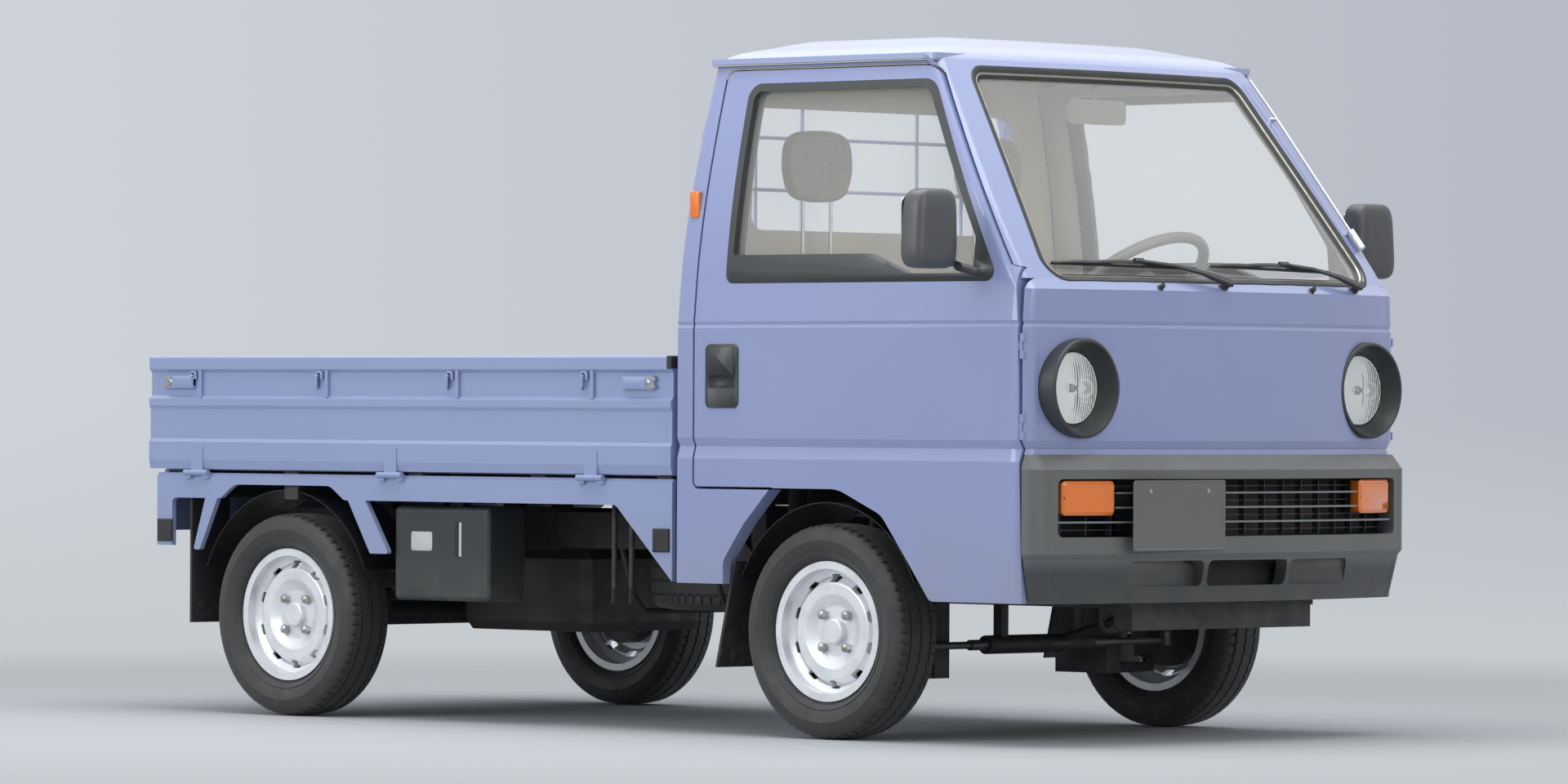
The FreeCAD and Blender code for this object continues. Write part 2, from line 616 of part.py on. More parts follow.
# Front bumper: a moulded plastic shell with the grille opening, signals and three lower openings
named(bumper_foot=339, bumper_lip=450, bumper_shoulder=655, bumper_wall=34, bumper_chin_back=30)
named(bumper_lip_depth=9, bumper_crown_back=28, bumper_chin_inset=22, bumper_crown_inset=6)
named(grille_foot=496, grille_top=633, grille_half=622, low_foot=378, low_top=439, pocket_depth=22)
named(low_middle_half=145, pocket_near=161, pocket_far=400)


def bumper_ring(z, setback, side_inset, inset):
    """The bumper's plan outline at one height, bowed like the nose above it."""
    half = HALF - side_inset - inset
    back = FRONT_AXLE
    return cab_ring(z, NOSE - setback - inset, back, half, half, size.nose_bow, size.front_corner, size.rear_corner)


def bumper_solid(inset):
    """The filled bumper, inset by its wall."""
    levels = (
        (size.bumper_foot, size.bumper_chin_back, size.bumper_chin_inset),
        (size.bumper_lip - size.small_round, size.bumper_lip_depth, size.bumper_crown_inset),
        (size.bumper_lip + size.small_round, 0.0, 0.0),
        (size.bumper_shoulder, 0.0, 0.0),
        (size.bumper_top - size.seat_gap, size.bumper_crown_back, size.bumper_crown_inset),
    )
    return Part.makeLoft([bumper_ring(z, back, side, inset) for z, back, side in levels], True, True)


BUMPER_OUTER = bumper_solid(0.0)
bumper_zone = brick((FRONT_AXLE + size.door_front_sill + size.panel_gap, NOSE), (-HALF, HALF),
                    (size.bumper_foot, size.bumper_top))
bumper_pane = BUMPER_OUTER.common(bumper_zone).cut(bumper_solid(size.bumper_wall))


def slot_through(y_low, y_high, z_low, z_high, x_low, radius):
    """A rounded slot through the bumper's front, from x_low to the nose."""
    return front_prism([(y_low, z_low, radius), (y_low, z_high, radius), (y_high, z_high, radius),
                        (y_high, z_low, radius)], x_low, NOSE)


grille_slot = slot_through(-size.grille_half, size.grille_half, size.grille_foot, size.grille_top,
                           FRONT_AXLE, size.fair_round)
middle_slot = slot_through(-size.low_middle_half, size.low_middle_half, size.low_foot, size.low_top,
                           FRONT_AXLE, size.fair_round)
pocket = slot_through(-size.pocket_far, -size.pocket_near, size.low_foot, size.low_top,
                      NOSE - size.bumper_chin_back - size.pocket_depth, size.fair_round)
bumper = bumper_pane.cut([grille_slot, middle_slot, pocket, flipped(pocket)])

# The front plate's bracket, bridging the grille opening towards the truck's right
named(plate_y=215, plate_half=112, plate_foot=463, plate_top=630, plate_sheet=3, plate_hole=3.5, plate_pitch=210)
named(plate_hole_height=604, bracket_half=9)


def plate_bolts(x_low, x_high, y, z):
    """The two bolt holes of a number plate."""
    holes = []
    for side in (-1, 1):
        foot = Vector(x_low, y + side * size.plate_pitch / 2, z)
        holes.append(rod_between(foot, foot + Vector(x_high - x_low, 0, 0), size.plate_hole))
    return holes


plate_face = NOSE - size.plate_sheet - (size.plate_y - size.plate_half) ** 2 / (2 * size.nose_bow)
bracket = brick((plate_face, plate_face + size.plate_sheet), (-size.plate_y - size.plate_half, -size.plate_y + size.plate_half),
                (size.plate_foot, size.plate_top))
bracket = bracket.cut(plate_bolts(plate_face - size.plate_sheet, NOSE, -size.plate_y, size.plate_hole_height))
legs = []
for side in (-1, 1):
    leg_y = -size.plate_y + side * (size.plate_half - size.bracket_half)
    legs.append(brick((plate_face - size.bumper_wall, plate_face), (leg_y - size.bracket_half, leg_y + size.bracket_half),
                      (size.plate_foot, size.grille_foot)).cut(bumper_solid(size.bumper_wall / 2)))
bumper = bumper.multiFuse([bracket] + legs)
subpart("front_bumper", solids_of(bumper))

# Grille between the signals: three bowed slats on upright ribs, in a thin frame
named(slat_count=3, slat_height=17, slat_depth=22, slat_setback=6, grille_end=446, rib_sheet=4, rib_pitch=74)
named(grille_rim=7, rib_depth=16)
slot_floor = size.grille_foot + size.seat_gap
slot_roof = size.grille_top - size.seat_gap
grille_band = bumper_solid(size.slat_setback).cut(bumper_solid(size.slat_setback + size.slat_depth))
rib_band = bumper_solid(size.slat_setback + size.slat_depth / 2)
rib_band = rib_band.cut(bumper_solid(size.slat_setback + size.slat_depth / 2 + size.rib_depth))
grille_bars = []
slat_pitch = (slot_roof - slot_floor) / (size.slat_count + 1)
for i in range(int(size.slat_count)):
    middle = slot_floor + slat_pitch * (i + 1)
    grille_bars.append(brick((FRONT_AXLE, NOSE), (-size.grille_end, size.grille_end),
                             (middle - size.slat_height / 2, middle + size.slat_height / 2)))
for edge in (slot_floor, slot_roof - size.grille_rim):
    grille_bars.append(brick((FRONT_AXLE, NOSE), (-size.grille_end, size.grille_end), (edge, edge + size.grille_rim)))
for side in (-size.grille_end, size.grille_end - size.grille_rim):
    grille_bars.append(brick((FRONT_AXLE, NOSE), (side, side + size.grille_rim), (slot_floor, slot_roof)))
rib_bars = []
for i in range(int(2 * size.grille_end / size.rib_pitch)):
    y = -size.grille_end + size.rib_pitch * (i + 0.5)
    rib_bars.append(brick((FRONT_AXLE, NOSE), (y, y + size.rib_sheet), (slot_floor, slot_roof)))
slats = grille_band.common(grille_bars[0].multiFuse(grille_bars[1:]))
ribs = rib_band.common(Part.makeCompound(rib_bars))
subpart("grille", solids_of(slats.fuse(ribs)))

# Turn signals: two in the bumper's opening, and a small marker on each rear corner of the cab
named(signal_inset=4, signal_depth=46, signal_foot=547, signal_top=625, signal_near=452, signal_far=606)
named(marker_x=440, marker_foot=1259, marker_top=1326, marker_width=32, marker_stand=9)
signal_band = bumper_solid(size.signal_inset).cut(bumper_solid(size.signal_inset + size.signal_depth))
signal = signal_band.common(brick((FRONT_AXLE, NOSE), (-size.signal_far, -size.signal_near),
                                  (size.signal_foot, slot_roof)))
marker_box = side_prism(x_from_axle([
    (-size.marker_x - size.marker_width / 2, size.marker_foot, size.small_round),
    (-size.marker_x - size.marker_width / 2, size.marker_top, size.small_round),
    (-size.marker_x + size.marker_width / 2, size.marker_top, size.small_round),
    (-size.marker_x + size.marker_width / 2, size.marker_foot, size.small_round),
]), -OUT, -size.door_reach)
marker = cab_solid(-size.marker_stand, size.sill_height).common(marker_box).cut(CAB_OUTER)
lights = [signal, marker]
subpart("indicators", Part.makeCompound([s for light in lights for s in light.Solids + flipped(light).Solids]))

# Headlamps: a deep round bezel in the nose panel with the lamp's glass at its foot
named(bezel_rim=9, bezel_depth=60, lamp_recess=43, lamp_glass_radius=89, lamp_glass_bulge=14, lamp_glass_edge=8)
lamp_centre = Vector(FRONT_AXLE + size.lamp_front, -size.lamp_y, size.lamp_height)
bezel = turned([
    (size.lamp_radius, 0, size.small_round),
    (size.lamp_radius, -size.bezel_depth),
    (0, -size.bezel_depth),
    (0, -size.lamp_recess - size.lamp_glass_edge - size.seat_gap),
    (size.lamp_glass_radius + size.seat_gap, -size.lamp_recess - size.lamp_glass_edge - size.seat_gap),
    (size.lamp_glass_radius + size.seat_gap, -size.lamp_recess),
    (size.lamp_radius - size.bezel_rim, 0),
], Vector())
dome_radius = (size.lamp_glass_radius ** 2 + size.lamp_glass_bulge ** 2) / (2 * size.lamp_glass_bulge)
lens = Part.makeCylinder(size.lamp_glass_radius, size.lamp_glass_edge + size.lamp_glass_bulge, Vector(), Vector(0, 1, 0))
lens = lens.common(Part.makeSphere(dome_radius, Vector(0, size.lamp_glass_edge + size.lamp_glass_bulge - dome_radius, 0)))
lens.translate(Vector(0, -size.lamp_recess - size.lamp_glass_edge, 0))
to_nose = Rotation(Vector(0, 0, 1), -90)
for piece, label in ((bezel, "headlamp_bezels"), (lens, "headlamp_lenses")):
    piece.Placement = Placement(lamp_centre, to_nose).multiply(piece.Placement)
    subpart(label, Part.makeCompound([piece, flipped(piece)]))

# Wipers parked along the foot of the windshield, and the aerial up the left pillar
named(wiper_rod=5, blade_rod=6, wiper_boss=11, wiper_stand=12, wiper_pivot_height=1092)
named(pivot_right=60, pivot_left=480, tip_right=560, tip_left=50, wiper_rise=24, wiper_foot_rise=10)


def screen_point(y, z, stand):
    """A point stand in front of the windshield's outer face line at a height."""
    t = (z - size.belt_height) / UPPER_RISE
    front = size.screen_base_front + (size.screen_top_front - size.screen_base_front) * t
    return Vector(FRONT_AXLE + front - y ** 2 / (2 * size.nose_bow) + stand, y, z)


def flat_bar(start, end, width):
    """A square bar from one point to another, a little longer at both ends."""
    run = end - start
    bar = Part.makeBox(run.Length + width, width, width, Vector(-width / 2, -width / 2, -width / 2))
    bar.Placement = Placement(start, Rotation(Vector(1, 0, 0), run))
    return bar


def wiper(pivot_y, tip_y):
    """One arm and blade: a boss on the cowl, the arm rising from it, the blade along the glass."""
    cowl = (size.wiper_pivot_height - size.cowl_height) / (size.belt_height - size.cowl_height)
    cowl_x = size.panel_front + (size.screen_base_front - size.panel_front) * cowl - pivot_y ** 2 / (2 * size.nose_bow)
    foot = Vector(FRONT_AXLE + cowl_x, pivot_y, size.wiper_pivot_height)
    out = Vector(size.belt_height - size.cowl_height, 0, size.panel_front - size.screen_base_front).normalize()
    boss = rod_between(foot - out * size.wiper_stand, foot + out * size.wiper_stand * 1.5, size.wiper_boss).cut(CAB_OUTER)
    hollow = ((tip_y - pivot_y) * 0.44) ** 2 / (8 * size.nose_bow)
    rake = math.atan((size.screen_base_front - size.screen_top_front) / UPPER_RISE)
    blade_stand = (size.blade_rod + size.seat_gap) / math.cos(rake) + hollow - size.glass_inset
    blade_rise = size.belt_height + size.wiper_rise
    hold = screen_point(pivot_y + (tip_y - pivot_y) * 0.5, blade_rise + size.blade_rod, size.wiper_rod)
    near = screen_point(pivot_y + (tip_y - pivot_y) * 0.12, blade_rise, blade_stand)
    tip = screen_point(tip_y, blade_rise + size.wiper_foot_rise, blade_stand)
    middle = screen_point((near.y + tip.y) / 2, (near.z + tip.z) / 2, blade_stand)
    bars = [flat_bar(foot + out * size.wiper_stand * 1.3, hold, size.wiper_rod * 1.6)]
    bars.append(flat_bar(hold, middle, size.wiper_rod * 1.6))
    bars.append(flat_bar(near, middle, size.blade_rod * 1.4))
    bars.append(flat_bar(middle, tip, size.blade_rod * 1.4))
    return boss.multiFuse(bars)


wipers = [wiper(-size.pivot_right, -size.tip_right), wiper(size.pivot_left, -size.tip_left)]
subpart("wipers", Part.makeCompound([s for w in wipers for s in w.Solids]))
named(aerial_foot=1205, aerial_clip=1520, aerial_top=1618, aerial_radius=4, aerial_boss=11, aerial_stand=16)


def pillar_point(z, stand):
    """A point stand outside the left pillar's corner at a height."""
    t = (z - size.belt_height) / UPPER_RISE
    y = HALF - size.belt_inset - (size.roof_inset - size.belt_inset) * t ** 1.4 - size.front_corner
    front = size.screen_base_front + (size.screen_top_front - size.screen_base_front) * t
    bow = size.nose_bow + (size.screen_bow - size.nose_bow) * t
    return Vector(FRONT_AXLE + front - y ** 2 / (2 * bow) + stand, y, z)


aerial_line = [pillar_point(z, size.aerial_stand) for z in (size.aerial_foot, size.aerial_clip, size.aerial_top)]
mast = bent_rod(aerial_line, size.aerial_radius)
along = (aerial_line[1] - aerial_line[0]).normalize()
boss = rod_between(aerial_line[0] - along * size.aerial_boss, aerial_line[0] + along * size.aerial_boss * 4, size.aerial_boss)
feet = [rod_between(point - Vector(size.aerial_stand * 1.6, 0, 0), point, size.aerial_radius * 1.4)
        for point in (aerial_line[0] + along * size.aerial_boss * 3, aerial_line[1])]
aerial = mast.multiFuse([boss] + feet).cut(CAB_OUTER)
subpart("antenna", solids_of(aerial))

# Cab floor: footwell, heel board and the seat platform over the front axle, one folded sheet
named(floor_sheet=10, toe_x=690, toe_top=724, toe_foot=480, well_front=646, well_floor=430)
named(heel_foot=335, heel_waist=295, platform_low=615, heel_top=215, platform=705)
floor_line = [
    (size.toe_x, size.toe_top),
    (size.toe_x, size.toe_foot),
    (size.well_front, size.well_floor),
    (size.heel_foot, size.well_floor),
    (size.heel_waist, size.platform_low),
    (size.heel_top, size.platform - size.floor_sheet),
    (-size.cab_back, size.platform - size.floor_sheet),
    (-size.cab_back, size.platform),
    (size.heel_top + size.floor_sheet, size.platform),
    (size.heel_waist + size.floor_sheet, size.platform_low),
    (size.heel_foot + size.floor_sheet, size.well_floor + size.floor_sheet),
    (size.well_front - size.small_round, size.well_floor + size.floor_sheet),
    (size.toe_x - size.floor_sheet, size.toe_foot + size.small_round),
    (size.toe_x - size.floor_sheet, size.toe_top),
]
CAB_ROOM = cab_solid(size.wall + size.panel_gap, size.sill_height)
beyond_doors = [
    brick((CAB_BACK, FRONT_AXLE - size.door_rear - size.fair_round), (-HALF, HALF), (size.sill_height, size.belt_height)),
    brick((FRONT_AXLE + size.door_front_sill + size.hinge_leaf, NOSE), (-HALF, HALF), (size.sill_height, size.belt_height)),
]
CAB_FIT = CAB_ROOM.multiFuse(cab_solid(size.wall + size.seat_gap, size.sill_height).common(Part.makeCompound(beyond_doors)).Solids)
floor = side_prism(x_from_axle(floor_line), -HALF, HALF).common(CAB_FIT)
subpart("cab_floor", solids_of(floor))

# Dashboard with the steering column's shroud and the pedals under it
named(dash_low=880, dash_top=1084, dash_rear=560, dash_lip=1020, dash_front=705, dash_half=600)
named(wheel_x=128, wheel_height=1112, column_lean=37, wheel_radius=184, wheel_rod=14, driver_y=330)
named(shroud_radius=36, column_radius=17, shroud_end=400, hub_radius=46, hub_depth=34, spoke_width=34)
named(shroud_gap=8, pedal_width=62, pedal_height=70, pedal_rod=7, pedal_x=560, pedal_z=560)
dashboard = side_prism(x_from_axle([
    (size.dash_rear, size.dash_low, size.large_round),
    (size.dash_rear - size.fair_round, size.dash_lip, size.large_round * 2),
    (size.dash_rear + size.large_round * 2, size.dash_top, size.large_round),
    (size.dash_front, size.dash_top),
    (size.dash_front, size.dash_low),
]), -size.dash_half, size.dash_half)
hood = side_prism(x_from_axle([
    (size.dash_rear - size.large_round, size.dash_lip - size.large_round, size.fair_round),
    (size.dash_rear - size.large_round, size.dash_top, size.large_round),
    (size.dash_rear + size.large_round * 2, size.dash_top + size.large_round, size.large_round),
    (size.dash_front - size.large_round, size.dash_top - size.small_round),
    (size.dash_front - size.large_round, size.dash_lip - size.large_round),
]), size.driver_y - size.wheel_radius, size.driver_y + size.wheel_radius)
lean = math.radians(size.column_lean)
column_line = Vector(math.sin(lean), 0, -math.cos(lean))
wheel_centre = Vector(FRONT_AXLE + size.wheel_x, size.driver_y, size.wheel_height)
column_top = wheel_centre + column_line * (size.hub_depth + size.shroud_gap)
toe = wheel_centre + column_line * ((size.wheel_height - size.toe_foot) / math.cos(lean))
shroud = rod_between(column_top, wheel_centre + column_line * size.shroud_end, size.shroud_radius)
column = rod_between(wheel_centre + column_line * (size.hub_depth + size.seat_gap), toe, size.column_radius)
pedals = []
for i in (-1, 0, 1):
    y = size.driver_y + i * size.pedal_width * 1.5
    pad = side_prism(x_from_axle([
        (size.pedal_x - size.fair_round, size.pedal_z),
        (size.pedal_x - size.fair_round + size.pedal_rod, size.pedal_z - size.small_round),
        (size.pedal_x + size.pedal_height * 0.7, size.pedal_z + size.pedal_height * 0.8),
        (size.pedal_x + size.pedal_height * 0.7 - size.pedal_rod, size.pedal_z + size.pedal_height * 0.8 + size.small_round),
    ]), y - size.pedal_width / 2, y + size.pedal_width / 2)
    hang = bent_rod([
        Vector(FRONT_AXLE + size.pedal_x + size.pedal_height * 0.4, y, size.pedal_z + size.pedal_height * 0.5),
        Vector(FRONT_AXLE + size.pedal_x + size.pedal_height, y, size.pedal_z + size.pedal_height * 2),
        Vector(FRONT_AXLE + size.pedal_x + size.pedal_height * 0.6, y, size.dash_low + size.fair_round),
    ], size.pedal_rod)
    pedals += [pad, hang]
lamp_clearance = Part.makeCylinder(size.lamp_radius + size.panel_gap, size.overrun * 2,
                                   lamp_centre - Vector(size.bezel_depth + size.panel_gap, 0, 0), Vector(1, 0, 0))
dash = dashboard.cut([lamp_clearance, flipped(lamp_clearance)]).multiFuse([hood, shroud, column] + pedals)
dash = dash.common(CAB_FIT).cut(floor)
subpart("dashboard", solids_of(dash))

# Steering wheel on the column's end: a rim, two broad spokes and a hub
ring = Part.makeTorus(size.wheel_radius, size.wheel_rod)
hub = Part.makeCylinder(size.hub_radius, size.hub_depth, Vector(0, 0, -size.hub_depth), Vector(0, 0, 1))
spokes = []
for angle in (-20, 200):
    spoke = Part.makeBox(size.wheel_radius, size.spoke_width, size.wheel_rod, Vector(0, -size.spoke_width / 2, -size.wheel_rod))
    spoke.rotate(Vector(), Vector(0, 0, 1), angle - 90)
    spokes.append(spoke)
steering_wheel = ring.multiFuse([hub] + spokes)
steering_wheel.Placement = Placement(wheel_centre, Rotation(Vector(0, 1, 0), -size.column_lean))
subpart("steering_wheel", steering_wheel)

# Seats: a cushion and a back with a headrest each
named(seat_half=235, seat_y=315, cushion_rear=345, cushion_front=130, cushion_top=838)
named(back_top=1120, back_depth=92, back_lean=36, back_x=282, headrest_half=114, headrest_depth=56)
named(headrest_low=1303, headrest_high=1481, headrest_x=358, headrest_rod=5, headrest_rod_y=50)
worked_out(cushion_low="platform + seat_gap", cushion_fall="large_round / (cushion_front - large_round + cushion_rear)")
worked_out(back_foot="cushion_top - large_round + cushion_fall * (cushion_rear - back_x) + seat_gap")
cushion = side_prism(x_from_axle([
    (-size.cushion_rear, size.cushion_low),
    (-size.cushion_rear, size.cushion_top - size.large_round, size.large_round),
    (size.cushion_front - size.large_round, size.cushion_top, size.large_round * 2),
    (size.cushion_front, size.cushion_low, size.large_round),
]), -size.seat_y - size.seat_half, -size.seat_y + size.seat_half)
back = side_prism(x_from_axle([
    (-size.back_x, size.back_foot, size.large_round),
    (-size.back_x - size.back_lean, size.back_top, size.large_round),
    (-size.back_x - size.back_lean - size.back_depth * 0.7, size.back_top, size.fair_round),
    (-size.back_x - size.back_depth, size.back_foot - size.cushion_fall * size.back_depth, size.large_round),
]), -size.seat_y - size.seat_half, -size.seat_y + size.seat_half)
headrest = side_prism(x_from_axle([
    (-size.headrest_x + size.headrest_depth / 2, size.headrest_low, size.large_round),
    (-size.headrest_x + size.headrest_depth / 2 - size.small_round, size.headrest_high, size.large_round),
    (-size.headrest_x - size.headrest_depth / 2, size.headrest_high, size.fair_round),
    (-size.headrest_x - size.headrest_depth / 2, size.headrest_low, size.fair_round),
]), -size.seat_y - size.headrest_half, -size.seat_y + size.headrest_half)
posts = [rod_between(Vector(FRONT_AXLE - size.headrest_x, -size.seat_y + side * size.headrest_rod_y, size.back_top - size.large_round),
                     Vector(FRONT_AXLE - size.headrest_x, -size.seat_y + side * size.headrest_rod_y, size.headrest_low + size.large_round),
                     size.headrest_rod) for side in (-1, 1)]
back = back.multiFuse([headrest] + posts)
subpart("seat_cushions", both_sides(cushion))
subpart("seat_backs", both_sides(back))

# Levers between the seats and the driving mirror on the windshield header
named(lever_x=250, lever_rod=7, lever_top=985, knob_radius=24, brake_x=60, brake_rod=12, brake_rise=110, brake_length=260)
named(glance_x=322, glance_half=108, glance_low=1492, glance_high=1552, glance_depth=20, stalk_radius=6)
lever_foot = Vector(FRONT_AXLE + size.heel_top - size.large_round, 0, size.platform + size.seat_gap)
lever_knob = Vector(FRONT_AXLE + size.lever_x, 0, size.lever_top)
lever = bent_rod([lever_foot, lever_knob], size.lever_rod).multiFuse([
    Part.makeSphere(size.knob_radius, lever_knob),
    Part.makeCone(size.knob_radius * 1.3, size.lever_rod * 1.4, size.knob_radius * 2, lever_foot)]).cut(floor)
brake_foot = Vector(FRONT_AXLE - size.brake_length, 0, size.platform + size.brake_rod * 2)
brake_end = Vector(FRONT_AXLE + size.brake_x, 0, size.platform + size.brake_rod * 2 + size.brake_rise)
brake = rod_between(brake_foot, brake_end, size.brake_rod)
brake_stand = brick((brake_foot.x - size.knob_radius, brake_foot.x + size.knob_radius),
                    (-size.knob_radius, size.knob_radius), (size.platform + size.seat_gap, brake_foot.z + size.brake_rod * 2))
brake = brake.fuse(brake_stand)
glance = front_prism([
    (-size.glance_half, size.glance_low, size.large_round),
    (-size.glance_half, size.glance_high, size.large_round),
    (size.glance_half, size.glance_high, size.fair_round),
    (size.glance_half, size.glance_low, size.fair_round),
], FRONT_AXLE + size.glance_x - size.glance_depth - size.wall, FRONT_AXLE + size.glance_x - size.wall)
stalk_foot = Vector(FRONT_AXLE + size.screen_top_front - size.wall, 0, size.roof_seam_height - size.stalk_radius)
stalk = rod_between(Vector(FRONT_AXLE + size.glance_x - size.glance_depth / 2 - size.wall, 0, size.glance_high - size.small_round),
                    stalk_foot, size.stalk_radius).cut(CAB_WALL)
glance = glance.fuse(stalk)
controls = [lever, brake] + glance.Solids
subpart("controls", Part.makeCompound([s for c in controls for s in c.Solids]))


# Bed: a ribbed deck on cross bearers, front wall with a window guard, and three drop gates
named(bed_gap=10, deck_top=640, deck_sheet=12, deck_rib_rise=5, deck_rib_width=34, deck_rib_count=11)
named(gate_foot=631, gate_top=923, gate_sheet=26, gate_inset=3, hinge_height=622, hinge_radius=7.5)
named(rail_foot=890, channel_foot=813, channel_depth=9, bead_radius=7, panel_inset=5, gate_play=6)
named(wall_sheet=28, wall_top=923, guard_top=1590, guard_half=552, guard_rod=11, guard_bar=5)
named(guard_low=1208, guard_middle=1337, guard_high=1466, guard_upright_near=211, guard_upright_far=378)
worked_out(cab_rear="front_axle - cab_back", bed_front="cab_rear - bed_gap", hinge_y="body_width / 2")
worked_out(gate_out="hinge_y - gate_inset", gate_in="gate_out - gate_sheet", deck_half="gate_in - gate_play")
worked_out(tail_hinge="tail + hinge_radius", tail_out="tail_hinge + gate_inset", tail_in="tail_out + gate_sheet")
worked_out(deck_back="tail_in + gate_play", deck_front="bed_front")
deck_plate = block("deck_plate", ("deck_back", "deck_front"), ("-deck_half", "deck_half"), ("deck_top - deck_sheet", "deck_top"))
rib_steps = (int(size.deck_rib_count) - 1) // 2
ribs_in_deck = []
for i in range(-rib_steps, rib_steps + 1):
    rib = block("deck_rib_%d" % (i + rib_steps), ("deck_back", "deck_front - wall_sheet - seat_gap"),
                ("%d * deck_half * 2 / deck_rib_count - deck_rib_width / 2" % i,
                 "%d * deck_half * 2 / deck_rib_count + deck_rib_width / 2" % i),
                ("deck_top - deck_rib_rise", "deck_top + deck_rib_rise"))
    ribs_in_deck.append(rib)
subpart("bed_deck", joined("deck", [deck_plate] + ribs_in_deck))

front_wall = front_prism([
    (-size.deck_half, size.deck_top + size.seat_gap),
    (-size.deck_half, size.wall_top, size.large_round),
    (size.deck_half, size.wall_top, size.large_round),
    (size.deck_half, size.deck_top + size.seat_gap),
], size.deck_front - size.wall_sheet, size.deck_front)
groove = front_prism([
    (-size.deck_half + size.large_round * 2, size.deck_top + size.large_round * 2, size.large_round),
    (-size.deck_half + size.large_round * 2, size.rail_foot, size.large_round),
    (size.deck_half - size.large_round * 2, size.rail_foot, size.large_round),
    (size.deck_half - size.large_round * 2, size.deck_top + size.large_round * 2, size.large_round),
], size.deck_front - size.wall_sheet, size.deck_front - size.wall_sheet + size.channel_depth)
front_wall = front_wall.cut(groove)
guard_x = size.deck_front - size.wall_sheet / 2
guard_low = size.wall_top - size.large_round
guard = [bent_rod([
    Vector(guard_x, -size.guard_half, guard_low),
    Vector(guard_x, -size.guard_half, size.guard_high),
    Vector(guard_x, -size.guard_half + size.large_round * 2, size.guard_top),
    Vector(guard_x, size.guard_half - size.large_round * 2, size.guard_top),
    Vector(guard_x, size.guard_half, size.guard_high),
    Vector(guard_x, size.guard_half, guard_low),
], size.guard_rod)]
for height in (size.guard_low, size.guard_middle, size.guard_high):
    guard.append(rod_between(Vector(guard_x, -size.guard_half, height), Vector(guard_x, size.guard_half, height), size.guard_bar))
for y in (-size.guard_upright_far, -size.guard_upright_near, size.guard_upright_near, size.guard_upright_far):
    guard.append(rod_between(Vector(guard_x, y, size.guard_low), Vector(guard_x, y, size.guard_top), size.guard_bar))
subpart("bed_headboard", solids_of(front_wall.multiFuse(guard)))


def gate_panel(length, hinges, hooks):
    """A drop gate lying along +X from 0, its outer face towards -Y at 0: rail, channel, beads, hinges, hooks."""
    height = size.gate_top - size.gate_foot
    step = size.panel_inset
    section = rounded_wire([
        (size.gate_sheet, size.gate_foot),
        (step, size.gate_foot),
        (0, size.gate_foot + height * 0.08),
        (0, size.gate_foot + height * 0.24),
        (step, size.gate_foot + height * 0.27),
        (step, size.channel_foot - height * 0.09),
        (0, size.channel_foot - height * 0.06),
        (0, size.channel_foot),
        (size.channel_depth, size.channel_foot + size.channel_depth),
        (size.channel_depth, size.rail_foot - size.channel_depth),
        (0, size.rail_foot),
        (0, size.gate_top, size.small_round),
        (size.gate_sheet, size.gate_top, size.small_round),
    ], lambda y, z: Vector(0, y, z))
    panel = Part.Face(section).extrude(Vector(length, 0, 0))
    pieces = []
    for at in hinges:
        knuckle = rod_between(Vector(at - size.knuckle_length / 2, -size.gate_inset, size.hinge_height),
                              Vector(at + size.knuckle_length / 2, -size.gate_inset, size.hinge_height), size.hinge_radius)
        leaf = brick((at - size.knuckle_length / 2, at + size.knuckle_length / 2),
                     (-size.gate_inset, size.panel_inset), (size.hinge_height, size.gate_foot + height * 0.2))
        leaf = leaf.common(brick((0, length), (-size.leaf_stand, size.gate_sheet), (size.hinge_height, size.gate_top)))
        pieces += [knuckle, leaf]
    for at in hooks:
        low = Vector(at, size.channel_depth, size.hook_height)
        hook_points = [low, Vector(at, -size.hook_reach, size.hook_height), Vector(at, -size.hook_reach, size.hook_height - size.hook_drop)]
        pieces.append(bent_rod(hook_points, size.hook_rod))
    return panel.multiFuse(pieces)


named(knuckle_length=44, knuckle_gap=0.3, leaf_stand=2.4, hook_height=872, hook_reach=3, hook_drop=26, hook_rod=4)
named(side_hinge_one=275, side_hinge_two=990, side_hinge_three=1716, side_hook_one=305, side_hook_two=785)
named(side_hook_three=1264, side_hook_four=1738, tail_hinge_y=430, tail_hook_y=300, side_gate_end=4)
worked_out(side_gate_back="tail_out", side_gate_front="bed_front", gate_length="side_gate_front - side_gate_back")
side_hinges = [size.gate_length - at for at in (size.side_hinge_one, size.side_hinge_two, size.side_hinge_three)]
side_hooks = [size.gate_length - at for at in (size.side_hook_one, size.side_hook_two, size.side_hook_three,
                                               size.side_hook_four)]
gate_right = gate_panel(size.gate_length, side_hinges, side_hooks)
latches = []
named(latch_near=60, latch_far=170, latch_height=857, latch_thick=5, latch_half=17)
for near, far in ((size.latch_near, size.latch_far), (size.gate_length - size.latch_far, size.gate_length - size.latch_near)):
    latches.append(brick((near, far), (size.panel_inset - size.leaf_stand * 2, size.channel_depth),
                         (size.latch_height - size.latch_half, size.latch_height + size.latch_half)))
gate_right = gate_right.multiFuse(latches)
gate_right.translate(Vector(size.side_gate_back, -size.gate_out, 0))
subpart("gate_right", solids_of(gate_right))
subpart("gate_left", solids_of(flipped(gate_right)))
worked_out(tail_half="gate_in - gate_play")
tail_width = 2 * size.tail_half
middle = size.tail_half
gate_rear = gate_panel(tail_width, [middle - size.tail_hinge_y, middle, middle + size.tail_hinge_y],
                       [middle - size.tail_hook_y, middle + size.tail_hook_y])
gate_rear.rotate(Vector(), Vector(0, 0, 1), -90)
gate_rear.translate(Vector(size.tail_out, size.tail_half, 0))
subpart("gate_rear", solids_of(gate_rear))

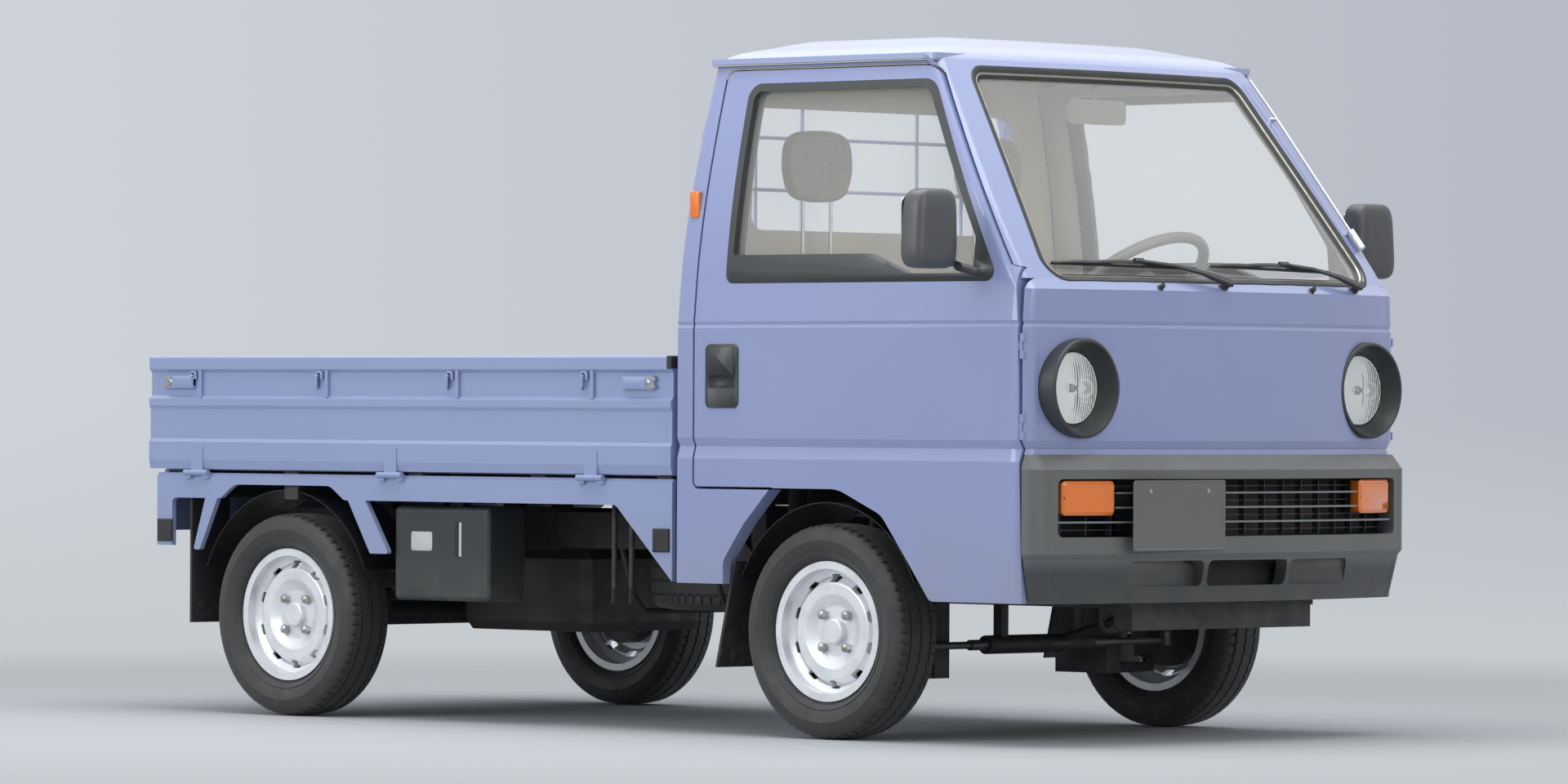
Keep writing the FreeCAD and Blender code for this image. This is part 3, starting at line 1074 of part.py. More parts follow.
# Skirts below the gates, the rear apron with its lamps, corner posts with rubber stops, and mudguards
named(skirt_top=621, skirt_foot=556, skirt_sheet=14, skirt_y=681, skirt_front_foot=371, skirt_slope_back=690)
named(post_foot=432, post_length=58, wheel_arch_top=592, cheek_foot=422, apron_foot=470, apron_sheet=16, apron_half=640)
skirt = side_prism([
    (size.tail_in, size.skirt_top),
    (size.bed_front, size.skirt_top),
    (size.bed_front, size.skirt_front_foot),
    (FRONT_AXLE - size.skirt_slope_back, size.skirt_foot, size.large_round),
] + x_from_axle([
    (-1663, size.skirt_foot, size.large_round),
    (-1716, size.wheel_arch_top, size.large_round * 2),
    (-2076, size.wheel_arch_top, size.large_round * 2),
    (-2129, size.skirt_foot, size.large_round),
]) + [
    (size.tail_in + size.post_length, size.skirt_foot, size.fair_round),
    (size.tail_in + size.post_length, size.post_foot),
    (size.tail_in, size.post_foot),
], -size.skirt_y, -size.skirt_y + size.skirt_sheet)
for cheek in (
    [(-1652, size.skirt_foot + size.small_round), (-1588, size.skirt_foot + size.small_round),
     (-1497, size.cheek_foot, size.small_round), (-1566, size.cheek_foot, size.small_round)],
    [(-2184, size.skirt_foot + size.small_round), (-2137, size.skirt_foot + size.small_round),
     (-2207, size.cheek_foot, size.small_round), (-2231, size.cheek_foot, size.small_round)],
):
    skirt = skirt.fuse(side_prism(x_from_axle(cheek), -size.skirt_y, -size.skirt_y + size.skirt_sheet))
skirt = skirt.cut(brick((size.tail_in, size.bed_front), (-HALF, -size.skirt_y + size.skirt_sheet / 3),
                        (size.deck_top - size.deck_sheet - size.panel_gap - size.bead_radius, size.deck_top)))
outer_knuckles = []
for at in side_hinges:
    for side in (-1, 1):
        start = size.side_gate_back + at + side * (size.knuckle_length / 2 + size.knuckle_gap)
        end = start + side * size.knuckle_length / 2
        low, high = min(start, end), max(start, end)
        outer_knuckles.append(rod_between(Vector(low, -size.hinge_y, size.hinge_height), Vector(high, -size.hinge_y, size.hinge_height), size.hinge_radius))
        outer_knuckles.append(brick((low, high), (-size.hinge_y, -size.skirt_y + size.skirt_sheet / 2),
                                    (size.hinge_height - size.hinge_radius * 2, size.hinge_height)))
skirt_right = skirt.multiFuse(outer_knuckles)
skirts = both_sides(solids_of(skirt_right))
apron = front_prism([
    (-size.apron_half, size.apron_foot, size.large_round),
    (-size.apron_half, size.deck_top - size.deck_sheet - size.seat_gap),
    (size.apron_half, size.deck_top - size.deck_sheet - size.seat_gap),
    (size.apron_half, size.apron_foot, size.large_round),
], size.tail_in - size.apron_sheet, size.tail_in)
rear_knuckles = []
for centre in (-size.tail_hinge_y, 0, size.tail_hinge_y):
    for side in (-1, 1):
        start = centre + side * (size.knuckle_length / 2 + size.knuckle_gap)
        end = start + side * size.knuckle_length / 2
        low, high = min(start, end), max(start, end)
        rear_knuckles.append(rod_between(Vector(size.tail_hinge, low, size.hinge_height), Vector(size.tail_hinge, high, size.hinge_height), size.hinge_radius))
        rear_knuckles.append(brick((size.tail_hinge, size.tail_in - size.apron_sheet / 2), (low, high),
                                   (size.hinge_height - size.hinge_radius * 2, size.hinge_height)))
apron = apron.multiFuse(rear_knuckles)
named(rear_plate_height=560)
apron = apron.cut(plate_bolts(size.tail_hinge, size.tail_in, 0, size.rear_plate_height))
subpart("bed_skirts", Part.makeCompound(skirts.Solids + apron.Solids))

# Tail lamps on the apron, one block of three colours each side
named(tail_lamp_near=405, tail_lamp_far=610, tail_lamp_foot=494, tail_lamp_top=574, tail_lamp_depth=9)
lamp = front_prism([
    (-size.tail_lamp_far, size.tail_lamp_foot, size.small_round),
    (-size.tail_lamp_far, size.tail_lamp_top, size.small_round),
    (-size.tail_lamp_near, size.tail_lamp_top, size.small_round),
    (-size.tail_lamp_near, size.tail_lamp_foot, size.small_round),
], size.tail_in - size.apron_sheet - size.tail_lamp_depth, size.tail_in - size.apron_sheet)
subpart("tail_lamps", both_sides(lamp))


# Mudguards: a black flap behind each wheel, and the rubber stops that a hanging gate rests against
named(flap_sheet=8, flap_width=132, front_flap_foot=165, front_flap_top=424, front_flap_x=299.9, front_flap_lean=60)
named(rear_flap_foot=232, rear_flap_top=596, bearer_five=2310, bearer_width=50)


def flap(x, foot, top, lean):
    """A mudguard flap hanging across the truck, its foot swept back by lean."""
    return side_prism([
        (x, top),
        (x - lean, foot),
        (x - lean + size.flap_sheet, foot),
        (x + size.flap_sheet, top),
    ], -WHEEL_Y - size.flap_width / 2, -WHEEL_Y + size.flap_width / 2)


front_flap = flap(FRONT_AXLE - size.front_flap_x, size.front_flap_foot, size.front_flap_top, size.front_flap_lean)
rear_flap = flap(FRONT_AXLE - size.bearer_five + size.bearer_width + size.seat_gap,
                 size.rear_flap_foot, size.rear_flap_top, 0)
flaps = [front_flap, flipped(front_flap), rear_flap, flipped(rear_flap)]
named(stop_depth=6.5, stop_foot=442, stop_height=58, stop_length=55, front_stop_x=530)
stops = []
for x in (size.tail_in + size.small_round, FRONT_AXLE - size.front_stop_x - size.stop_length / 2):
    stop = brick((x, x + size.stop_length), (-size.skirt_y - size.stop_depth, -size.skirt_y),
                 (size.stop_foot, size.stop_foot + size.stop_height))
    stop = stop.makeFillet(size.stop_depth * 0.6, [e for e in stop.Edges if abs(e.CenterOfMass.y + size.skirt_y + size.stop_depth) < size.seat_gap])
    stops += [stop, flipped(stop)]
subpart("mudflaps", Part.makeCompound(flaps + stops))

# Frame: two box rails that drop under the cab, cross members, and outriggers for the bed and cab
named(rail_y=290, rail_width=50, rail_height=90, rail_rear_foot=440, rail_front_foot=325, rail_front=690)
named(rail_drop_front=520, rail_drop_back=660, member_width=46, member_height=60)
named(nose_member_foot=272, nose_member_half=330, tow_outer=30, tow_hole=18, tow_sheet=12, engine_top=430)
named(rear_eye_in=49, rear_eye_drop=92)
rail = side_prism([
    (FRONT_AXLE + size.rail_front, size.rail_front_foot),
    (FRONT_AXLE + size.rail_front, size.rail_front_foot + size.rail_height),
    (FRONT_AXLE - size.rail_drop_front, size.rail_front_foot + size.rail_height),
    (FRONT_AXLE - size.rail_drop_back, size.rail_rear_foot + size.rail_height),
    (size.tail_in + size.seat_gap, size.rail_rear_foot + size.rail_height),
    (size.tail_in + size.seat_gap, size.rail_rear_foot),
    (FRONT_AXLE - size.rail_drop_back, size.rail_rear_foot),
    (FRONT_AXLE - size.rail_drop_front, size.rail_front_foot),
], -size.rail_y - size.rail_width, -size.rail_y)
frame_pieces = [rail, flipped(rail)]
rear_member_z = (size.rail_rear_foot + (size.rail_height - size.member_height) / 2,
                 size.rail_rear_foot + (size.rail_height + size.member_height) / 2)
front_member_z = (size.rail_front_foot, size.rail_front_foot + size.member_height)
named(rear_member_one=700, rear_member_two=1190, rear_member_three=1780, front_member_one=250)
for x, levels in ((-size.rear_member_one, rear_member_z), (-size.rear_member_two, rear_member_z),
                  (-size.rear_member_three, rear_member_z), (size.front_member_one, front_member_z)):
    frame_pieces.append(brick((FRONT_AXLE + x - size.member_width, FRONT_AXLE + x), (-size.rail_y, size.rail_y), levels))
frame_pieces.append(brick((size.tail_in + size.seat_gap, size.tail_in + size.member_width), (-size.rail_y, size.rail_y), rear_member_z))
frame_pieces.append(brick((FRONT_AXLE + size.rail_front - size.member_width, FRONT_AXLE + size.rail_front),
                          (-size.nose_member_half, size.nose_member_half), (size.nose_member_foot, size.rail_front_foot + size.rail_height)))
named(bearer_one=560, bearer_two=1000, bearer_three=1440, bearer_four=1900, bearer_foot=556)
bearer_top = size.deck_top - size.deck_sheet - size.seat_gap
rail_top = size.rail_rear_foot + size.rail_height
for x in (size.bearer_one, size.bearer_two, size.bearer_three, size.bearer_four, size.bearer_five):
    reach = size.skirt_y - size.skirt_sheet - size.seat_gap
    frame_pieces.append(brick((FRONT_AXLE - x, FRONT_AXLE - x + size.bearer_width), (-reach, reach), (size.bearer_foot, bearer_top)))
    foot_height = rail_top - size.rail_height / 2 if x > size.rail_drop_back else size.rail_front_foot + size.rail_height
    for side in (-1, 1):
        y = side * (size.rail_y + size.rail_width / 2)
        frame_pieces.append(brick((FRONT_AXLE - x, FRONT_AXLE - x + size.bearer_width),
                                  (y - size.rail_width / 3, y + size.rail_width / 3), (foot_height, bearer_top)))
named(cab_mount_front=560, cab_mount_rear=440, cab_mount_radius=26)
cab_stand_rear = (size.rail_front_foot + size.rail_height, size.platform - size.floor_sheet - size.seat_gap)
for side in (-1, 1):
    y = side * (size.rail_y + size.rail_width / 2)
    frame_pieces.append(Part.makeCylinder(size.cab_mount_radius, cab_stand_rear[1] - cab_stand_rear[0] + size.rail_height / 2,
                                          Vector(FRONT_AXLE - size.cab_mount_rear + size.cab_mount_radius, y, cab_stand_rear[0] - size.rail_height / 2)))
    frame_pieces.append(Part.makeCylinder(size.cab_mount_radius, size.well_floor - size.seat_gap - size.rail_front_foot - size.rail_height / 2,
                                          Vector(FRONT_AXLE + size.cab_mount_front, y, size.rail_front_foot + size.rail_height / 2)))

# Hangers for the rear leaf springs, on the frame rails' outer faces
named(spring_y=380, spring_width=50, spring_leaf=24, spring_front=470, spring_rear=440, spring_eye_height=392)
named(spring_eye_radius=20, spring_arch=104, shackle_drop=16, shackle_sheet=8)
for side in (-1, 1):
    for x in (size.spring_front, -size.spring_rear):
        y_inner = side * (size.rail_y + size.rail_width)
        y_outer = side * (size.spring_y + size.spring_width / 2)
        low, high = min(y_inner, y_outer), max(y_inner, y_outer)
        frame_pieces.append(brick((REAR_AXLE + x - size.spring_eye_radius, REAR_AXLE + x + size.spring_eye_radius),
                                  (low, high), (size.spring_eye_height + size.spring_eye_radius + size.seat_gap, rail_top)))
named(engine_bar_one=1350, engine_bar_two=1690)
for x in (size.engine_bar_one, size.engine_bar_two):
    frame_pieces.append(brick((FRONT_AXLE - x, FRONT_AXLE - x + size.member_width),
                              (-size.rail_y - size.rail_width, size.rail_y + size.rail_width),
                              (size.engine_top + size.seat_gap, size.rail_rear_foot + size.small_round)))


def tow_eye(x, foot, drop):
    """A flat lug with a round hole a drop below the right rail's foot, which it hangs from."""
    y = -size.rail_y - size.rail_width / 2
    lug = side_prism([
        (x - size.tow_outer, foot + size.small_round),
        (x - size.tow_outer, foot - drop - size.tow_outer, size.tow_outer * 0.9),
        (x + size.tow_outer, foot - drop - size.tow_outer, size.tow_outer * 0.9),
        (x + size.tow_outer, foot + size.small_round),
    ], y - size.tow_sheet / 2, y + size.tow_sheet / 2)
    hole = rod_between(Vector(x, y - size.tow_sheet, foot - drop), Vector(x, y + size.tow_sheet, foot - drop),
                       size.tow_hole)
    return lug.cut(hole)


frame_pieces.append(tow_eye(FRONT_AXLE + size.rail_front - size.member_width - size.tow_outer * 1.2, size.rail_front_foot,
                            size.tow_outer))
frame_pieces.append(tow_eye(size.tail_in + size.rear_eye_in, size.rail_rear_foot, size.rear_eye_drop))
named(carrier_rod=7, carrier_x=700, carrier_pitch=60, carrier_y=612, carrier_foot=313, carrier_bend=40)
named(spare_x=868, spare_top=434, cradle_front=720, cradle_back=1030, cradle_half=270, flank_dip=1.8)
cradle_z = size.spare_top - size.tyre_width + size.flank_dip - size.carrier_rod - size.seat_gap
for i in (0, 1):
    x = FRONT_AXLE - size.carrier_x - i * size.carrier_pitch
    top = Vector(x, -size.carrier_y, size.bearer_foot + size.carrier_rod)
    frame_pieces.append(bent_rod([
        Vector(FRONT_AXLE - size.bearer_one + size.bearer_width / 2, -size.carrier_y, size.bearer_foot + size.carrier_rod),
        top,
        Vector(x, -size.carrier_y, size.carrier_foot + size.carrier_bend),
        Vector(x - size.carrier_bend, -size.carrier_y + size.carrier_bend, size.carrier_foot),
    ], size.carrier_rod))
# Two bent rods carry the spare wheel from the rails
for x in (size.cradle_front, size.cradle_back):
    for side in (-1, 1):
        frame_pieces.append(bent_rod([
            Vector(FRONT_AXLE - x, side * (size.rail_y + size.rail_width / 2), size.rail_rear_foot + size.carrier_rod),
            Vector(FRONT_AXLE - x, side * size.cradle_half, cradle_z + size.carrier_bend),
            Vector(FRONT_AXLE - x, side * (size.cradle_half - size.carrier_bend), cradle_z),
            Vector(FRONT_AXLE - x, -side * size.carrier_bend, cradle_z),
        ], size.carrier_rod))
subpart("frame", solids_of(frame_pieces[0].multiFuse(frame_pieces[1:])))

# Engine, gearbox and final drive as one plain mass ahead of the rear axle
named(engine_front=620, engine_back=158, engine_right=190, engine_left=250, engine_foot=220)
engine = block("engine_mass", ("rear_axle + engine_back", "rear_axle + engine_front"),
               ("-engine_right", "engine_left"), ("engine_foot", "engine_top"))
rounded_engine = doc.addObject("Part::Chamfer", "engine")
rounded_engine.Base = engine
doc.recompute()
rounded_engine.Edges = [(i + 1, size.large_round, size.large_round) for i in range(len(engine.Shape.Edges))]
subpart("engine_block", rounded_engine)

# Fuel tank under the bed's left side, and the box of the air cleaner and battery under its right side
named(tank_front=740, tank_back=360, tank_near=416, tank_far=636, tank_foot=300, tank_top=540)
tank = block("tank_body", ("rear_axle + tank_back", "rear_axle + tank_front"), ("tank_near", "tank_far"),
             ("tank_foot", "tank_top"))
rounded_tank = doc.addObject("Part::Fillet", "tank")
rounded_tank.Base = tank
doc.recompute()
rounded_tank.Edges = [(i + 1, size.large_round, size.large_round) for i in range(len(tank.Shape.Edges))]
tank_strap = block("tank_strap", ("rear_axle + (tank_back + tank_front) / 2 - fair_round", "rear_axle + (tank_back + tank_front) / 2 + fair_round"),
                   ("(tank_near + tank_far) / 2 - fair_round", "(tank_near + tank_far) / 2 + fair_round"),
                   ("tank_top - small_round", "deck_top - deck_sheet - seat_gap"))
subpart("fuel_tank", joined("tank_whole", [rounded_tank, tank_strap]))
named(box_front=739, box_back=397, box_near=520, box_far=658, box_foot=306, box_top=544)
side_box = block("box_body", ("rear_axle + box_back", "rear_axle + box_front"), ("-box_far", "-box_near"), ("box_foot", "box_top"))
rounded_box = doc.addObject("Part::Fillet", "box_rounded")
rounded_box.Base = side_box
doc.recompute()
rounded_box.Edges = [(i + 1, size.fair_round, size.fair_round) for i in range(len(side_box.Shape.Edges))]
box_bracket = block("box_bracket", ("rear_axle + (box_back + box_front) / 2 - large_round", "rear_axle + (box_back + box_front) / 2 + large_round"),
                    ("-(box_near + box_far) / 2 - fair_round", "-(box_near + box_far) / 2 + fair_round"),
                    ("box_top - small_round", "deck_top - deck_sheet - seat_gap"))
subpart("side_box", joined("box_whole", [rounded_box, box_bracket]))

# Exhaust: a silencer across the truck behind the axle, with its pipes
named(silencer_radius=66, silencer_half=210, silencer_x=262, silencer_height=360, pipe_radius=18, tail_pipe_y=250)
silencer_centre = Vector(REAR_AXLE - size.silencer_x, 0, size.silencer_height)
silencer = Part.makeCylinder(size.silencer_radius, size.silencer_half * 2, silencer_centre - Vector(0, size.silencer_half, 0), Vector(0, 1, 0))
tail_pipe = bent_rod([
    silencer_centre + Vector(0, size.silencer_half - size.pipe_radius, 0),
    silencer_centre + Vector(0, size.tail_pipe_y, 0),
    silencer_centre + Vector(-size.silencer_radius, size.tail_pipe_y + size.pipe_radius, 0),
    Vector(size.tail_in + size.fair_round, size.tail_pipe_y + size.pipe_radius, size.silencer_height - size.pipe_radius * 2),
], size.pipe_radius)
axle_clear = size.silencer_height + size.pipe_radius
head_pipe = bent_rod([
    silencer_centre + Vector(0, -size.silencer_half / 2, size.pipe_radius),
    Vector(REAR_AXLE, -size.silencer_half / 2, axle_clear),
    Vector(REAR_AXLE + size.engine_back + size.pipe_radius, -size.silencer_half / 2, axle_clear),
], size.pipe_radius)
hanger = brick((silencer_centre.x - size.pipe_radius, silencer_centre.x + size.pipe_radius),
               (-size.pipe_radius, size.pipe_radius), (size.silencer_height, bearer_top))
exhaust = silencer.multiFuse([tail_pipe, head_pipe, hanger])
exhaust = exhaust.cut(rounded_engine.Shape)
subpart("exhaust", solids_of(exhaust))

# Rear axle: a tube with brake drums, leaf springs clamped on top of it
named(tube_radius=32, drum_radius=95, drum_width=44, drum_gap=6, clamp_width=64, clamp_sheet=10, hub_gap=0.6)
axle_z = size.tyre_radius
drum_face = WHEEL_Y + size.disc_offset - size.disc_sheet - size.hub_gap
axle = Part.makeCylinder(size.tube_radius, 2 * drum_face - size.drum_width, Vector(REAR_AXLE, size.drum_width / 2 - drum_face, axle_z), Vector(0, 1, 0))
drum = Part.makeCylinder(size.drum_radius, size.drum_width, Vector(REAR_AXLE, -drum_face, axle_z), Vector(0, 1, 0))
axle_pieces = [drum, flipped(drum)]
eye_front = Vector(REAR_AXLE + size.spring_front, 0, size.spring_eye_height)
eye_rear = Vector(REAR_AXLE - size.spring_rear, 0, size.spring_eye_height)
seat_height = axle_z + size.tube_radius
for side in (-1, 1):
    y_low = side * size.spring_y - size.spring_width / 2
    place = lambda x, z: Vector(x, y_low, z)
    low_arc = Part.Arc(place(eye_front.x, eye_front.z - size.spring_leaf / 3), place(REAR_AXLE, seat_height), place(eye_rear.x, eye_rear.z - size.spring_leaf / 3)).toShape()
    high_arc = Part.Arc(place(eye_rear.x, eye_rear.z + size.spring_leaf / 3), place(REAR_AXLE, seat_height + size.spring_leaf), place(eye_front.x, eye_front.z + size.spring_leaf / 3)).toShape()
    back_end = Part.LineSegment(place(eye_rear.x, eye_rear.z - size.spring_leaf / 3), place(eye_rear.x, eye_rear.z + size.spring_leaf / 3)).toShape()
    front_end = Part.LineSegment(place(eye_front.x, eye_front.z + size.spring_leaf / 3), place(eye_front.x, eye_front.z - size.spring_leaf / 3)).toShape()
    leaf = Part.Face(Part.Wire([low_arc, back_end, high_arc, front_end])).extrude(Vector(0, size.spring_width, 0))
    eyes = [Part.makeCylinder(size.spring_eye_radius, size.spring_width, Vector(eye.x, y_low, eye.z), Vector(0, 1, 0)) for eye in (eye_front, eye_rear)]
    clamp = brick((REAR_AXLE - size.clamp_width, REAR_AXLE + size.clamp_width), (y_low - size.clamp_sheet, y_low + size.spring_width + size.clamp_sheet),
                  (axle_z - size.tube_radius / 2, seat_height + size.spring_leaf + size.clamp_sheet))
    axle_pieces += [leaf, clamp] + eyes
subpart("rear_axle", solids_of(axle.multiFuse(axle_pieces)))

# Front suspension: struts above the wheels, lower arms, and the steering rack's housing and shaft
named(kingpin_y=522, kingpin_lean=5, kingpin_height=175, strut_radius=24, strut_foot=318, strut_top=486)
named(rod_radius=10, spring_coil_radius=48, spring_coil_rod=7, spring_foot=540, spring_top=660, coil_turns=3)
named(strut_tower=78, joint_gap=0.5, joint_radius=18, arm_sheet=22, arm_pivot_y=330, arm_half=34)
king_axis = Vector(0, math.sin(math.radians(size.kingpin_lean)), math.cos(math.radians(size.kingpin_lean)))
king_foot = Vector(FRONT_AXLE, -size.kingpin_y, size.kingpin_height)


def on_kingpin(z):
    """The point of the right wheel's steering axis at a height."""
    return king_foot + king_axis * ((z - size.kingpin_height) / king_axis.z)


arm = plan_prism([
    (FRONT_AXLE - size.joint_radius, -size.kingpin_y - size.joint_radius * 0.6, size.fair_round),
    (FRONT_AXLE - size.arm_half * 3, -size.arm_pivot_y, size.fair_round),
    (FRONT_AXLE - size.arm_half * 1.6, -size.arm_pivot_y, size.fair_round),
    (FRONT_AXLE, -size.kingpin_y + size.arm_half * 2, size.large_round),
    (FRONT_AXLE + size.arm_half * 0.8, -size.arm_pivot_y, size.fair_round),
    (FRONT_AXLE + size.arm_half * 2, -size.arm_pivot_y, size.fair_round),
    (FRONT_AXLE + size.joint_radius, -size.kingpin_y - size.joint_radius * 0.6, size.fair_round),
], size.kingpin_height - size.arm_sheet * 1.5, size.kingpin_height - size.arm_sheet * 0.5)
ball = rod_between(king_foot - king_axis * size.arm_sheet, king_foot - king_axis * size.joint_gap, size.joint_radius * 0.7)
pivot_bracket = brick((FRONT_AXLE - size.arm_half * 3, FRONT_AXLE + size.arm_half * 2), (-size.arm_pivot_y - size.fair_round, -size.rail_y),
                      (size.kingpin_height - size.arm_sheet * 1.5, size.rail_front_foot - size.seat_gap))
strut_rod = rod_between(on_kingpin(size.strut_top) + king_axis * size.joint_gap, on_kingpin(size.spring_top), size.rod_radius)
sleeve = size.spring_coil_radius - size.spring_coil_rod * 2
spring_length = (on_kingpin(size.spring_top) - on_kingpin(size.spring_foot)).Length
coil_rise = spring_length / size.coil_turns
spring_line = [(0, -size.small_round), (size.spring_coil_radius, -size.small_round), (size.spring_coil_radius, 0)]
for i in range(int(size.coil_turns)):
    spring_line.append((sleeve, coil_rise * (i + 0.25)))
    spring_line.append((size.spring_coil_radius - size.spring_coil_rod / 2, coil_rise * (i + 0.5), size.spring_coil_rod))
    spring_line.append((sleeve, coil_rise * (i + 0.75)))
spring_line += [(size.spring_coil_radius, spring_length), (0, spring_length)]
spring = turned(spring_line, Vector())
spring.Placement = Placement(on_kingpin(size.spring_foot), Rotation(Vector(0, 1, 0), king_axis))
tower = brick((FRONT_AXLE - size.spring_coil_radius, FRONT_AXLE + size.spring_coil_radius),
              (-size.rail_y - size.strut_tower - size.rail_width * 2, -size.rail_y),
              (size.spring_top - size.small_round, size.platform - size.floor_sheet - size.seat_gap))
tower_post = brick((FRONT_AXLE - size.arm_half, FRONT_AXLE + size.arm_half), (-size.rail_y - size.rail_width, -size.rail_y),
                   (size.rail_front_foot + size.rail_height + size.seat_gap, size.platform - size.floor_sheet - size.seat_gap))
side_suspension = arm.multiFuse([ball, pivot_bracket])
upper_suspension = strut_rod.multiFuse([spring, tower, tower_post])
named(rack_x=95, rack_height=222, rack_radius=13, housing_wall=9, housing_half=190, rack_gap=1, shaft_radius=11)
rack_centre = Vector(FRONT_AXLE + size.rack_x, 0, size.rack_height)
housing = rod_between(rack_centre - Vector(0, size.housing_half, 0), rack_centre + Vector(0, size.housing_half, 0),
                      size.rack_radius + size.rack_gap + size.housing_wall)
housing_feet = [brick((rack_centre.x - size.rack_radius, rack_centre.x + size.rack_radius),
                      (side * size.housing_half * 0.7 - size.rack_radius, side * size.housing_half * 0.7 + size.rack_radius),
                      (size.rack_height, size.rail_front_foot + size.rack_radius)) for side in (-1, 1)]
rack_member = brick((rack_centre.x - size.member_width / 2, rack_centre.x + size.member_width / 2),
                    (-size.rail_y, size.rail_y), (size.rail_front_foot, size.rail_front_foot + size.member_height))
pinion_foot = rack_centre + Vector(size.rack_radius, size.housing_half * 0.5, size.rack_radius)
shaft = rod_between(pinion_foot, Vector(toe.x - size.large_round, size.rail_y - size.large_round, size.well_floor - size.large_round), size.shaft_radius)
housing = housing.multiFuse(housing_feet + [rack_member, shaft])
bore = rod_between(rack_centre - Vector(0, size.housing_half * 1.5, 0), rack_centre + Vector(0, size.housing_half * 1.5, 0), size.rack_radius + size.rack_gap)
housing = housing.cut(bore)
housing = housing.cut(rail.fuse(flipped(rail)))
suspension = [s for piece in (side_suspension, upper_suspension) for s in piece.Solids + flipped(piece).Solids] + housing.Solids
subpart("front_suspension", Part.makeCompound(suspension))

# Knuckles: they turn with the front wheels and carry the strut's tube, the brake and the steering arm
named(joint_lift=4, knuckle_half=26, brake_disc_radius=108, brake_disc_sheet=14, stub_radius=22)
named(arm_end_y=484, arm_end_radius=14, arm_thick=14, arm_height=250, tie_gap=6)
brake_y = -drum_face
strut_tube = rod_between(on_kingpin(size.strut_foot), on_kingpin(size.strut_top), size.strut_radius)
upright = front_prism([
    (-size.kingpin_y - size.joint_radius, size.kingpin_height + size.joint_lift, size.small_round),
    (-size.kingpin_y - size.joint_radius * 1.4, axle_z + size.knuckle_half * 2),
    (on_kingpin(size.strut_foot).y - size.strut_radius, size.strut_foot + size.knuckle_half),
    (on_kingpin(size.strut_foot).y + size.strut_radius * 0.8, size.strut_foot + size.knuckle_half),
    (on_kingpin(axle_z).y + size.knuckle_half * 0.8, axle_z + size.knuckle_half),
    (-size.kingpin_y + size.joint_radius, size.kingpin_height + size.joint_lift, size.small_round),
], FRONT_AXLE - size.knuckle_half, FRONT_AXLE + size.knuckle_half)
stub = Part.makeCylinder(size.stub_radius, drum_face - size.kingpin_y, Vector(FRONT_AXLE, brake_y, axle_z), Vector(0, 1, 0))
disc = Part.makeCylinder(size.brake_disc_radius, size.brake_disc_sheet, Vector(FRONT_AXLE, brake_y, axle_z), Vector(0, 1, 0))
caliper = brick((FRONT_AXLE - size.brake_disc_radius, FRONT_AXLE - size.brake_disc_radius * 0.55), (brake_y, brake_y + size.brake_disc_sheet * 2),
                (axle_z - size.knuckle_half * 1.6, axle_z + size.knuckle_half * 1.6))
arm_end = Vector(rack_centre.x, -size.arm_end_y, size.arm_height)
steer_arm = plan_prism([
    (FRONT_AXLE, -size.kingpin_y - size.fair_round, size.small_round),
    (arm_end.x + size.arm_end_radius, arm_end.y - size.arm_end_radius, size.arm_end_radius * 0.8),
    (arm_end.x + size.arm_end_radius, arm_end.y + size.arm_end_radius, size.arm_end_radius * 0.8),
    (FRONT_AXLE, on_kingpin(axle_z).y + size.fair_round, size.small_round),
], size.arm_height, size.arm_height + size.arm_thick)
knuckle = upright.multiFuse([strut_tube, stub, disc, caliper, steer_arm]).common(
    brick((FRONT_AXLE - HALF, FRONT_AXLE + HALF), (-HALF, 0), (0, size.roof_seam_height)))
subpart("knuckle_right", solids_of(knuckle))
subpart("knuckle_left", solids_of(flipped(knuckle)))

# Steering rack with its tie rods: it slides across the truck, its ends just under the steering arms
rack = rod_between(Vector(rack_centre.x, -size.arm_end_y, rack_centre.z),
                   Vector(rack_centre.x, size.arm_end_y, rack_centre.z), size.rack_radius * 0.7)
rack = rack.fuse(rod_between(rack_centre - Vector(0, size.housing_half * 1.3, 0), rack_centre + Vector(0, size.housing_half * 1.3, 0), size.rack_radius))
ends = [Part.makeCylinder(size.arm_end_radius * 0.9, size.arm_height - size.tie_gap - size.rack_height + size.rack_radius,
                          Vector(rack_centre.x, side * size.arm_end_y, size.rack_height - size.rack_radius)) for side in (-1, 1)]
subpart("steering_rack", solids_of(rack.multiFuse(ends)))

# Spare wheel lying flat between the frame rails, held up by a clamp from the frame's cross member
spare_centre = Vector(FRONT_AXLE - size.spare_x, 0, size.spare_top - size.tyre_width / 2)
flat = Rotation(Vector(1, 0, 0), 90)
spare_pieces = []
for piece in (TYRE, RIM):
    laid = piece.copy()
    laid.Placement = Placement(spare_centre, flat)
    spare_pieces += laid.Solids
subpart("spare_wheel", Part.makeCompound(spare_pieces))

# Every feature must be sound before anything is written
doc.recompute()
for thing in doc.Objects:
    if "Invalid" in thing.State or "Error" in thing.State:
        raise SystemExit("feature %s failed: %s" % (thing.Name, thing.State))
os.makedirs("parts", exist_ok=True)
for thing in subparts:
    shape = thing.Shape
    if shape.isNull() or not shape.isValid() or not shape.Solids:
        raise SystemExit("sub-part %s is not a valid solid" % thing.Label)
    shape.exportStep("parts/%s.step" % thing.Label)
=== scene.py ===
"""A small cab-over pickup truck with a drop-side bed, dressed for a studio picture.

Metres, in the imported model's frame: +X to the front, +Y to the truck's left, +Z up.
"""
import math

import bmesh
import bpy
from mathutils import Matrix, Vector
from mathutils.bvhtree import BVHTree


